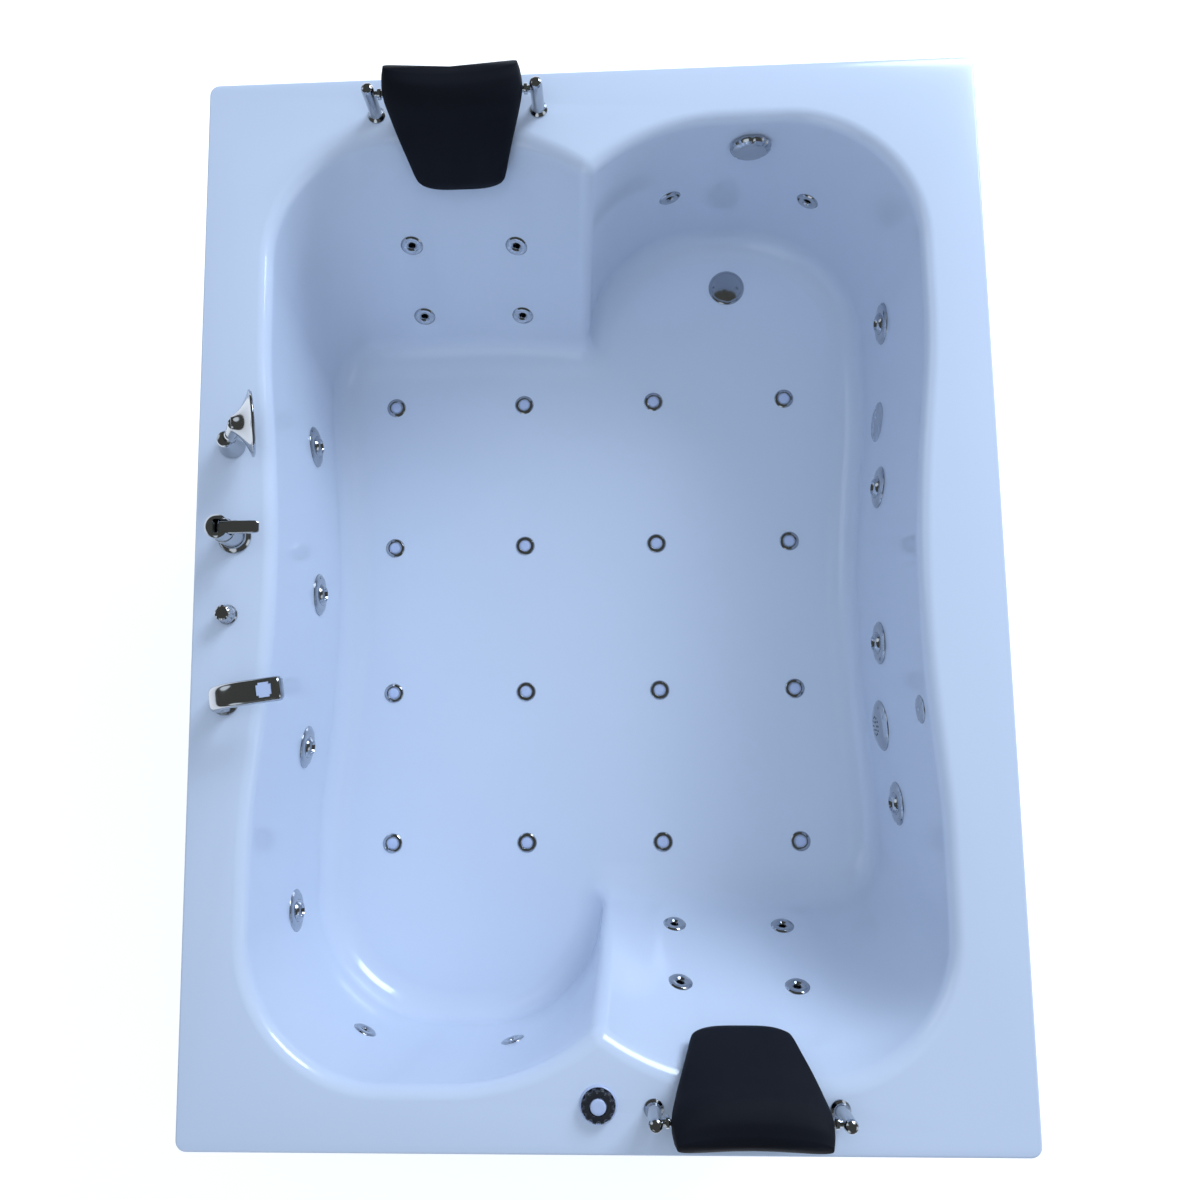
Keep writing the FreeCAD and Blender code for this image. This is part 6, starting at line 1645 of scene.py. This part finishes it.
# ---- deck fittings
@dataclass(frozen=True)
class Mixer:
    """Single-lever mixer: base, turning cap and flat lever."""

    body_height: float = 62.0
    cap_height: float = 36.0
    cap_radius: float = 20.0
    lever_length: float = 67.0
    lever_width: float = 22.0
    lever_thick: float = 9.0
    lever_steps: int = 24
    lever_back: float = 6.0
    gap: float = 0.3
    pivot: tuple[float, float] = (3.0, 20.0)

    def build(self) -> None:
        """Makes the three pieces."""
        place = Spot.MIXER.place()
        base = rounded([
            (8.0, -22.0), (8.0, 0.0), (29.0, 0.0), (29.0, 3.0), (25.5, 6.2), (22.0, 8.4), (21.0, 12.0),
            (21.0, self.body_height - 1.0), (20.2, self.body_height), (12.1, self.body_height),
            (12.1, self.body_height - 16.0), (0.0, self.body_height - 16.0),
        ], 1.6, 4)
        shape = lathe([(0.0, -22.0), *base], 64)
        add_piece("mixer_column", shape, place, [CHROME], fixed("chrome", "mixer_base"))
        self.cap(place)
        self.lever(place)

    def cap(self, place: Place) -> None:
        """Turning cap, slotted for the lever.

        Args:
            place: The mixer's place.
        """
        low = self.body_height + self.gap
        top = low + self.cap_height
        profile = rounded([
            (0.0, self.body_height - 14.0), (12.0, self.body_height - 14.0), (12.0, low),
            (self.cap_radius, low),
            (self.cap_radius, top - 4.0), (self.cap_radius - 3.4, top - 0.8), (self.cap_radius - 9.0, top),
            (0.0, top + 0.2),
        ], 1.4, 4)
        half = self.lever_width / 2 + self.gap
        slot = block((self.pivot[0] - 7.5, -half, low + 5.0), (self.cap_radius + 2.0, half, top + 4.0))
        add_piece("mixer_head", lathe(profile, 64), place, [CHROME],
                  moving("mixer_cap", "chrome"), [moved(slot, place)])

    def lever(self, place: Place) -> None:
        """Flat bar with a boss on the pivot, rounded over at its free end.

        Args:
            place: The mixer's place.
        """
        height = self.body_height + self.gap + self.pivot[1]
        rows = []
        for step in range(self.lever_steps + 1):
            share = step / self.lever_steps
            back = self.pivot[0] - self.lever_back
            x = back + (self.lever_length - back) * share
            half = self.lever_width / 2 * (1.0 - 0.06 * share)
            taper = 1.35 - 0.45 * share if share < 0.4 else 1.17 - 0.12 * share
            thick = self.lever_thick / 2 * taper
            close = max(0.25, rounded_end((share - 0.88) / 0.12) * rounded_end((0.1 - share) / 0.1))
            section = oval(half * (0.7 + 0.3 * close), thick * close, 5.0, 36)
            rows.append([Vector((x, a, height + b)) for a, b in section])
        add_piece("mixer_bar", loft(rows), place, [CHROME], moving("mixer_lever", "chrome"),
                  smooth=40.0)


def rounded_end(share: float) -> float:
    """Scale of a section that closes like a circle as share runs from 0 to 1."""
    return math.sqrt(max(0.0, 1 - max(0.0, share) ** 2))


@dataclass(frozen=True)
class Knob:
    """Diverter knob with fluted sides."""

    radius: float = 17.0
    height: float = 34.0
    grips: int = 10
    grip_depth: float = 1.5

    def build(self) -> None:
        """Makes the knob on its stem."""
        def flutes(radius: float, height: float, angle: float) -> float:
            """Presses the grips into the knob's sides.

            Args:
                radius: The profile's radius.
                height: Its height.
                angle: Angle round the axis.

            Returns:
                The radius to use.
            """
            if radius < 12.0 or not 7.0 < height < self.height - 1.5:
                return radius
            return radius - self.grip_depth * max(0.0, math.cos(self.grips * angle)) ** 2

        profile = rounded([
            (0.0, -32.0), (5.0, -32.0), (5.0, 0.3), (self.radius, 0.3), (self.radius, 4.0), (14.8, 6.6),
            (14.2, 10.0), (14.2, 26.0), (13.2, 31.0), (10.0, 33.4), (5.0, 33.8), (0.0, 33.0),
        ], 1.4, 4)
        add_piece("diverter_handle", lathe(profile, 120, ripple=flutes), Spot.DIVERTER.place(), [CHROME],
                  moving("diverter_knob", "chrome"))


@dataclass(frozen=True)
class Spout:
    """Broad spout that rises from the deck and bends over the basin."""

    height: float = 105.0
    reach: float = 122.0
    thick: float = 26.0
    width: float = 40.0
    fall: float = 12.0
    bend: float = 52.0
    bend_steps: int = 16
    run_steps: int = 20
    turn: float = 8.0
    tip_start: float = 0.93
    tip_span: float = 0.072
    plate_drop: float = 1.3
    plate_gap: float = 0.5
    smooth: float = 38.0

    def path(self) -> list[Vector]:
        """Middle line from the deck to the tip.

        Returns:
            Points from the deck to the tip.
        """
        rise = self.height - self.thick / 2
        corner = Vector((0.0, 0.0, rise))
        tip = Vector((self.reach, 0.0, rise - self.fall))
        out = (tip - corner).normalized()
        turn = UP.angle(out)
        tangent = self.bend * math.tan(turn / 2)
        points = [Vector((0.0, 0.0, z)) for z in (0.0, 10.0, 20.0, rise - tangent)]
        centre = corner - UP * tangent + Vector((self.bend, 0.0, 0.0))
        for step in range(1, self.bend_steps + 1):
            angle = turn * step / self.bend_steps
            points.append(centre + Vector((-math.cos(angle), 0.0, math.sin(angle))) * self.bend)
        last = points[-1]
        for step in range(1, self.run_steps + 1):
            points.append(last.lerp(tip, step / self.run_steps))
        return points

    def build(self) -> None:
        """Makes the spout with its mouth, and a pale plate in its top that paints the reflection the chrome
        shows there.
        """
        def section(share: float) -> Profile:
            """Rounded section that closes at the tip."""
            close = max(0.2, rounded_end((share - self.tip_start) / self.tip_span))
            return oval(self.width / 2 * (0.62 + 0.38 * close), self.thick / 2 * close, 3.4, 44)

        arch = sweep(self.path(), section, ALONG)
        foot = lathe(rounded([
            (0.0, -22.0), (8.0, -22.0), (8.0, 0.0), (24.0, 0.0), (24.0, 4.0), (21.0, 7.5), (0.0, 8.0),
        ], 1.6, 4), 56)
        tip_z = self.height - self.thick / 2 - self.fall
        mouth = block((self.reach - 36.0, -12.5, tip_z - self.thick), (self.reach - 12.0, 12.5, tip_z - 2.0))
        recess, plate = self.window(0.0), self.window(self.plate_gap)
        bmesh.ops.bisect_plane(plate, geom=plate.verts[:] + plate.edges[:] + plate.faces[:],
                               plane_co=(0.0, 0.0, self.height - self.plate_drop), plane_no=self.slope(),
                               clear_outer=True)
        bmesh.ops.holes_fill(plate, edges=plate.edges, sides=0)
        turn = Matrix.Rotation(math.radians(self.turn), 4, "Z")
        for shape in (arch, mouth, recess, plate):
            shape.transform(turn)
        place = Spot.SPOUT.place()
        add_piece("spout_arch", joined([arch, foot]), place, [CHROME], fixed("chrome", "spout"),
                  [moved(mouth, place), moved(recess, place)], self.smooth)
        # The plate's pale colour is a painted reflection: it stands in for the bright view that the chrome
        # recess mirrors.
        add_piece("spout_plate", plate, place, [PALE_PLASTIC], fixed("chrome"))

    def slope(self) -> Vector:
        """Upward normal of the spout's sloping top."""
        return Vector((self.fall, 0.0, self.reach)).normalized()

    def window(self, smaller: float) -> Shape:
        """Block for the plate's recess in the sloping top.

        Args:
            smaller: How much smaller it is on each side.

        Returns:
            The block with rounded corners, parallel to the sloping top.
        """
        half = 12.5 - smaller
        low = -3.2 + smaller
        shape = block((self.reach - 40.0 + smaller, -half, low), (self.reach - 15.0 - smaller, half, 20.0))
        upright = [e for e in shape.edges if abs((e.verts[0].co - e.verts[1].co).z) > 5]
        bmesh.ops.bevel(shape, geom=upright, offset=3.5, segments=4, affect="EDGES")
        tilt = math.atan2(self.fall, self.reach)
        shape.transform(Matrix.Translation((0.0, 0.0, self.height)) @ Matrix.Rotation(tilt, 4, "Y"))
        return shape


@dataclass(frozen=True)
class HandShower:
    """Hand shower that stands in a turning holder."""

    way: Triple = (0.45, 0.16, 0.88)
    head_way: Triple = (0.94, 0.10, -0.33)
    handle: float = 72.0
    handle_radius: float = 11.0
    head_radius: float = 56.0
    head_depth: float = 36.0
    head_steps: int = 19
    neck_radius: float = 13.0
    holder_height: float = 46.0
    tip_rings: tuple[tuple[float, int], ...] = ((0.0, 1), (14.0, 6), (28.0, 12), (41.0, 18))
    tip_height: float = -2.3

    def build(self) -> None:
        """Makes the holder, the shower and its spray face."""
        place = Spot.SHOWER.place()
        way = Vector(self.way).normalized()
        seat = Place(place.point + UP * self.holder_height * 0.55, way)
        dome = rounded([
            (0.0, -21.0), (8.0, -21.0), (8.0, 0.3), (23.5, 0.3), (23.5, 4.0), (21.8, 11.0), (19.0, 20.0),
            (16.5, 32.0), (14.8, 41.0), (12.5, 45.0), (8.0, 46.0), (0.0, 46.0),
        ], 2.4, 4)
        add_piece("shower_cup", lathe(dome, 64), place, [CHROME],
                  moving("shower_holder", "chrome"),
                  [cylinder(self.handle_radius + 0.3, 0.0, 80.0, seat, 40)])
        neck = seat.point + way * self.handle
        face_way = Vector(self.head_way).normalized()
        face = Place(neck + face_way * self.head_depth * 0.8, face_way)
        deep = self.head_depth
        trumpet = []
        for step in range(self.head_steps + 1):
            share = step / self.head_steps
            radius = self.neck_radius + (self.head_radius - self.neck_radius) * share ** 1.5
            trumpet.append((radius, -deep + (deep - 5.0) * (1 - (1 - share) ** 1.25)))
        head = lathe(rounded([(0.0, -deep)] + trumpet + [
            (self.head_radius, -1.4), (self.head_radius - 1.4, 0.0), (self.head_radius - 4.6, 0.0),
            (self.head_radius - 6.0, -2.2), (0.0, -2.0),
        ], 1.2, 3), 80)
        grip = self.handle_radius
        stem = lathe(rounded([
            (0.0, 0.3), (grip - 0.6, 0.3), (grip, 2.0), (grip, 26.0), (grip - 0.8, 30.0),
            (grip + 0.6, self.handle - 8.0), (grip + 1.0, self.handle), (0.0, self.handle + 10.0),
        ], 2.0, 4), 40)
        add_piece("shower_head", joined([moved(head, face), moved(stem, seat)]), None, [CHROME],
                  moving("hand_shower", "chrome"))
        self.spray_tips(face)

    def spray_tips(self, face: Place) -> None:
        """Soft tips in rings on the spray face.

        Args:
            face: Place of the spray face.
        """
        rotation = face.rotation()
        places = [
            Place(face.point + rotation @ spot, face.normal)
            for radius, count in self.tip_rings for spot in circle(radius, count, self.tip_height)
        ]
        tip = lathe([(0.0, 1.6), (0.9, 1.5), (1.3, 0.0), (0.0, -0.2)], 10)
        Repeater("spray_tips", tip, KNOB_BLACK).place(
            places, Role("hand_shower", "black_plastic"))


@dataclass(frozen=True)
class AirDial:
    """Air dial on the foot deck: bezel, fluted ring and button."""

    bezel: float = 30.0
    ring: float = 26.5
    button: float = 12.8
    gap: float = 1.6
    height: float = 16.0
    flutes: int = 12
    flute_depth: float = 3.5

    def build(self) -> None:
        """Makes the three pieces."""
        place = Spot.DIAL.place()
        bezel = rounded([
            (5.0, -48.0), (5.0, 2.0), (self.ring + 0.3, 2.0), (self.ring + 0.3, 5.0), (27.8, 5.4),
            (29.4, 3.6), (self.bezel, 1.4), (self.bezel, 0.0), (8.0, 0.0), (8.0, -8.0), (19.0, -8.0),
            (19.0, -52.0), (8.0, -54.0),
        ], 0.8, 3, closed=True)
        add_piece("dial_collar", lathe(bezel, 72, closed=True), place, [PALE_PLASTIC],
                  fixed("pale_plastic", "dial_bezel"))
        inner = self.button + self.gap

        def flute(radius: float, height: float, angle: float) -> float:
            """Presses the finger flutes into the ring.

            Args:
                radius: The profile's radius.
                height: Its height.
                angle: Angle round the axis.

            Returns:
                The radius to use.
            """
            if radius < self.ring - 5.0 or height < 5.5:
                return radius
            return radius - self.flute_depth * max(0.0, math.cos(self.flutes * angle) + 0.15) ** 0.5

        ring = rounded([
            (inner, 2.3), (self.ring, 2.3), (self.ring, 13.0), (self.ring - 2.4, 15.4),
            (self.ring - 6.0, self.height), (inner + 0.8, self.height), (inner, self.height - 1.0),
        ], 1.0, 3, closed=True)
        add_piece("dial_wheel", lathe(ring, 192, closed=True, ripple=flute), place, [KNOB_BLACK],
                  moving("dial_ring", "black_plastic"), smooth=40.0)
        cap = rounded([
            (0.0, -38.0), (4.9, -38.0), (4.9, 6.0), (self.button, 6.0), (self.button, 15.6), (11.4, 17.4),
            (8.0, 18.0), (0.0, 17.6),
        ], 1.2, 4)
        add_piece("dial_cap", lathe(cap, 56), place, [PALE_PLASTIC],
                  moving("dial_button", "pale_plastic"))


# ---- headrests
@dataclass(frozen=True)
class Headrests:
    """Two black moulded pads, each on a rod between two posts."""

    post_height: float = 90.0
    rod_height: float = 66.0
    rod_radius: float = 6.0
    collar_radius: float = 9.5
    collar_span: tuple[float, float] = (15.0, 21.0)
    slope: float = 53.6
    rows: int = 60
    squareness: float = 3.2
    section_points: int = 64
    head_start: float = -46.0
    head_run: float = 78.0
    tail_start: float = 120.0
    tail_run: float = 52.0
    dip: float = 10.0
    tail_round: float = 10.0
    crown: float = 0.10
    fill: float = 0.8
    stations: tuple[tuple[float, float, float, float], ...] = (
        (-46.0, 0.0, 230.0, 30.0),
        (-30.0, 0.0, 238.0, 58.0),
        (0.0, 0.0, 242.0, 76.0),
        (36.0, 5.0, 226.0, 62.0),
        (76.0, 14.0, 202.0, 40.0),
        (120.0, 13.0, 178.0, 32.0),
        (158.0, 9.0, 160.0, 24.0),
        (172.0, 7.0, 148.0, 9.0),
    )

    def build(self) -> None:
        """Makes the posts, the rods and the pads."""
        post = lathe(rounded([
            (0.0, -22.0), (8.0, -22.0), (8.0, 0.0), (16.0, 0.0), (16.0, 2.4), (13.2, 5.2), (11.0, 8.0),
            (11.0, 12.0), (11.0, self.post_height - 8.0), (9.6, self.post_height - 3.0),
            (6.0, self.post_height - 0.6), (0.0, self.post_height),
        ], 2.0, 4), 48)
        Repeater("headrest_posts", post, CHROME).place(
            FITTINGS.posts(), fixed("chrome", "headrest_brackets"))
        self.rods()
        for number, turn in ((2, 0.0), (1, math.pi)):
            self.pad(number, turn)

    def rods(self) -> None:
        """Rod of each pad with its two collars."""
        places = FITTINGS.posts()
        length = 2 * FITTINGS.post_reach
        rod, collar = self.rod_radius, self.collar_radius
        near, far = self.collar_span
        profile = rounded([
            (0.0, 0.0), (rod, 0.0), (rod, near), (collar, near), (collar, far), (rod, far),
            (rod, length - far), (collar, length - far), (collar, length - near), (rod, length - near),
            (rod, length), (0.0, length),
        ], 1.2, 3)
        rods = [moved(lathe(profile, 32), Place(places[first].point + UP * self.rod_height, ACROSS))
                for first in (0, 2)]
        add_piece("headrest_rods", joined(rods), None, [CHROME], fixed("chrome"))

    def pad(self, number: int, turn: float) -> None:
        """One pad: a thick roll on the rod, thinning to a flap on the backrest.

        Args:
            number: Number of the headrest.
            turn: Turn about Z from the pad at -Y.
        """
        slope = math.radians(self.slope)
        place = Vector((*FITTINGS.headrest_spot, OUTLINE.rim_height + self.rod_height))
        down = Vector((0.0, math.cos(slope), -math.sin(slope)))
        off = Vector((0.0, math.sin(slope), math.cos(slope)))
        rows = []
        for row in range(self.rows + 1):
            along, rise, width, thick = self.station(row / self.rows)
            head = max(0.0, 1.0 - (along - self.head_start) / self.head_run)
            tail = max(0.0, (along - self.tail_start) / self.tail_run)
            points = []
            for a, b in oval(width / 2, thick / 2, self.squareness, self.section_points):
                share = a / (width / 2)
                dip = self.dip * head * math.cos(share * math.pi / 2)
                corner = -self.tail_round * tail * tail * share ** 4
                lift = rise + b * (1.0 + self.crown * (1.0 - share * share))
                points.append(place + ACROSS * a + off * lift + down * (along + dip + corner))
            rows.append(points)
        shape = loft(rows, poles=True)
        shape.transform(Matrix.Rotation(turn, 4, "Z"))
        body = "headrest_%d" % number
        obj = add_piece("headrest_pad_%d" % number, shape, None, [PAD_SKIN], moving(body, "pad_foam"),
                        smooth=75.0)

    def station(self, share: float) -> tuple[float, float, float, float]:
        """Distance along, rise, width and thickness at a share of the pad's length.

        Args:
            share: 0 at the pad's top and 1 at its tail.

        Returns:
            The station, smooth between the given ones and rounded over at both ends.
        """
        rows = self.stations
        first, last = rows[0][0], rows[-1][0]
        along = (first + last) / 2 - (last - first) / 2 * math.cos(math.pi * share)
        index = max(i for i in range(len(rows) - 1) if rows[i][0] <= along + LINE_TOLERANCE)
        before, low, high, after = (rows[max(0, min(len(rows) - 1, index + k))] for k in (-1, 0, 1, 2))
        part = (along - low[0]) / (high[0] - low[0])
        values = []
        for k in (1, 2, 3):
            slope_low = (high[k] - before[k]) / max(TINY, high[0] - before[0]) * (high[0] - low[0])
            slope_high = (after[k] - low[k]) / max(TINY, after[0] - low[0]) * (high[0] - low[0])
            t2, t3 = part * part, part ** 3
            values.append((2 * t3 - 3 * t2 + 1) * low[k] + (t3 - 2 * t2 + part) * slope_low
                          + (-2 * t3 + 3 * t2) * high[k] + (t3 - t2) * slope_high)
        return along, values[0], values[1], max(4.0, values[2])


# ---- works under the deck
class Works(Enum):
    """Finish of each piece of the works that keeps its own shape."""

    LONG_RAILS = ("long_rails", FRAME_PAINT)
    CROSS_RAILS = ("cross_rails", FRAME_PAINT)
    UPRIGHTS = ("uprights", FRAME_PAINT)
    BEARERS = ("floor_bearers", PLYWOOD)
    BOARDS = ("equipment_boards", PLYWOOD)
    FEET = ("levelling_feet", ZINC)
    FOOT_NUTS = ("foot_nuts", ZINC)
    HEADERS = ("jet_headers", PIPE_WHITE)
    SIDE_BODIES = ("side_jet_bodies", GREY_PLASTIC)
    SMALL_BODIES = ("small_jet_bodies", GREY_PLASTIC)
    SEALS = ("seals", RUBBER)
    AIR_PIPES = ("air_pipes", PIPE_WHITE)
    AIR_BODIES = ("air_jet_bodies", GREY_PLASTIC)
    SUCTION_PIPE = ("suction_pipe", PIPE_WHITE)
    LAMP_HOUSING = ("light_housing", GREY_PLASTIC)
    WASTE_BODY = ("waste_body", PIPE_WHITE)
    OVERFLOW_PIPE = ("overflow_pipe", PIPE_WHITE)
    VALVES = ("deck_valves", BRASS)
    SUPPLY = ("supply_pipes", COPPER)
    DECK_NUTS = ("deck_nuts", BRASS)
    WET_END = ("pump_wet_end", BLACK_PLASTIC)
    MOTOR = ("pump_motor", CAST)
    FAN_COVER = ("pump_fan_cover", BLACK_PLASTIC)
    ROTOR = ("pump_rotor", ZINC)
    TERMINALS = ("terminal_box", BLACK_PLASTIC)
    BLOWER = ("blower_housing", GREY_PLASTIC)
    BLOWER_WHEEL = ("blower_wheel", ZINC)
    CONTROL = ("control_box", GREY_PLASTIC)

    def dress(self, nodes: dict[str, bpy.types.Object]) -> None:
        """Gives the node its material.

        Args:
            nodes: Every node's object by name.
        """
        name, finish = self.value
        obj = nodes[name]
        material = finish.build()
        if not obj.material_slots:
            obj.data.materials.append(material)
        for slot in obj.material_slots:
            slot.material = material
        LOG.info("%s: %s", name, finish.name)


# ---- studio
@dataclass(frozen=True)
class Studio:
    """Camera, lamps, world and floor, in metres."""

    camera_at: Triple = (0.0266, -0.2970, 2.502)
    right: Triple = (0.99865, -0.00929, -0.05119)
    up: Triple = (0.01616, 0.99066, 0.13542)
    back: Triple = (0.04945, -0.13606, 0.98947)
    lens: float = 34.5
    shift_x: float = 0.04
    lamp_aim: Triple = (0.0, 0.0, 0.4)
    ambient: float = 0.52
    sky: Triple = (0.71, 0.83, 1.0)
    room: Triple = (0.075, 0.078, 0.070)
    window_light: Triple = (0.86, 0.93, 1.0)
    windows: tuple[tuple[Triple, float, float], ...] = (
        ((0.60, 0.72, 0.34), 0.92, 0.955),
        ((-0.76, 0.35, 0.42), 0.95, 0.975),
        ((-0.30, -0.80, 0.42), 0.95, 0.975),
        ((0.88, -0.35, 0.30), 0.95, 0.975),
    )
    floor_reach: float = 14.0
    floor_grey: float = 0.86
    floor_glow: float = 0.60

    def build(self) -> None:
        """Sets up the whole studio."""
        self.camera()
        self.world()
        self.floor()
        self.lamp("key_lamp", (3.34, 4.12, 3.4), 255.0, 2.6)
        self.lamp("top_lamp", (-0.2, -0.2, 4.8), 44.0, 3.0).visible_glossy = False
        bpy.context.scene.view_settings.view_transform = "Standard"

    def camera(self) -> None:
        """Camera at the photograph's place, nearly straight above the tub."""
        data = bpy.data.cameras.new("photo_camera")
        data.sensor_width = 36.0
        data.lens = self.lens
        data.shift_x = self.shift_x
        data.clip_end = 100.0
        obj = bpy.data.objects.new("photo_camera", data)
        bpy.context.scene.collection.objects.link(obj)
        turn = Matrix((self.right, self.up, self.back)).transposed().to_4x4()
        obj.matrix_world = Matrix.Translation(self.camera_at) @ turn
        bpy.context.scene.camera = obj

    def lamp(self, name: str, spot: Triple, power: float, size: float) -> bpy.types.Object:
        """A soft square lamp that looks at the tub's middle.

        Args:
            name: Name of the lamp.
            spot: Where it hangs, in metres.
            power: Watts.
            size: Side in metres.

        Returns:
            The lamp's object.
        """
        data = bpy.data.lights.new(name, "AREA")
        data.energy = power
        data.size = size
        data.color = self.sky
        obj = bpy.data.objects.new(name, data)
        bpy.context.scene.collection.objects.link(obj)
        obj.visible_camera = False
        aim = Vector(self.lamp_aim) - Vector(spot)
        obj.matrix_world = Matrix.Translation(spot) @ aim.to_track_quat("-Z", "Y").to_matrix().to_4x4()
        return obj

    def world(self) -> None:
        """Even daylight; metal sees a dim room with windows, and the camera sees white."""
        world = bpy.data.worlds.new("studio")
        bpy.context.scene.world = world
        world.use_nodes = True
        tree = world.node_tree
        tree.nodes.clear()
        light = add_node(tree, "ShaderNodeBackground", {"Color": (*self.sky, 1.0), "Strength": self.ambient})
        way = add_node(tree, "ShaderNodeTexCoord").outputs["Generated"]
        patches = [self.window(tree, way, *window) for window in self.windows]
        level = patches[0]
        for patch in patches[1:]:
            level = combine(tree, "MAXIMUM", level, patch)
        scene_colour = mix_colours(tree, level, self.room, self.window_light)
        path = add_node(tree, "ShaderNodeLightPath")
        whole = mix_colours(tree, path.outputs["Is Camera Ray"], scene_colour, (1.0, 1.0, 1.0))
        seen = add_node(tree, "ShaderNodeBackground", {"Color": whole})
        mix = add_node(tree, "ShaderNodeMixShader",
                       {0: seen_directly(tree, path), 1: light.outputs[0], 2: seen.outputs[0]})
        add_node(tree, "ShaderNodeOutputWorld", {"Surface": mix.outputs[0]})

    def window(self, tree: Tree, way: Socket, towards: Triple, start: float, end: float) -> Socket:
        """A bright patch of the room, as a mask over directions.

        Args:
            tree: The world's nodes.
            way: Socket with the direction.
            towards: Where the patch is.
            start: Cosine at its outer edge.
            end: Cosine where it is full.

        Returns:
            The mask's socket.
        """
        cosine = add_node(tree, "ShaderNodeVectorMath", {0: way, 1: Vector(towards).normalized()},
                          operation="DOT_PRODUCT")
        return remap(tree, cosine.outputs["Value"], (start, end), interpolation="SMOOTHSTEP")

    def floor(self) -> None:
        """A wide white floor that keeps the tub's shadow."""
        mesh = bpy.data.meshes.new("studio_floor")
        reach = self.floor_reach
        corners = [(-reach, -reach, 0.0), (reach, -reach, 0.0), (reach, reach, 0.0), (-reach, reach, 0.0)]
        mesh.from_pydata(corners, [], [(0, 1, 2, 3)])
        material = bpy.data.materials.new("studio_floor")
        material.use_nodes = True
        tree = material.node_tree
        surface = tree.nodes["Principled BSDF"]
        grey = self.floor_grey
        for label, value in (("Base Color", (grey, grey, grey, 1.0)), ("Roughness", 0.9),
                             ("Emission Color", (1.0, 1.0, 1.0, 1.0))):
            surface.inputs[label].default_value = value
        path = add_node(tree, "ShaderNodeLightPath")
        glow = combine(tree, "MULTIPLY", seen_directly(tree, path), self.floor_glow)
        tree.links.new(glow, surface.inputs["Emission Strength"])
        obj = bpy.data.objects.new("studio_floor", mesh)
        mesh.materials.append(material)
        bpy.context.scene.collection.objects.link(obj)


def seen_directly(tree: Tree, path: bpy.types.Node) -> Socket:
    """1 for camera, glossy and transmission rays, otherwise 0."""
    seen = combine(tree, "MAXIMUM", path.outputs["Is Camera Ray"], path.outputs["Is Glossy Ray"])
    return combine(tree, "MAXIMUM", seen, path.outputs["Is Transmission Ray"])


def main() -> None:
    """Builds the whole dressed tub."""
    logging.basicConfig(level=logging.INFO, format="%(name)s: %(message)s")
    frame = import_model()
    Studio().build()
    for assembly in (TubShell(), SideJets(), SmallJets(), WallFittings(), Mixer(), Knob(), Spout(),
                     HandShower(), AirDial(), Headrests()):
        LOG.info("building %s", type(assembly).__name__)
        assembly.build()
    for piece in Works:
        piece.dress(frame["nodes"])


if __name__ == "__main__":
    main()
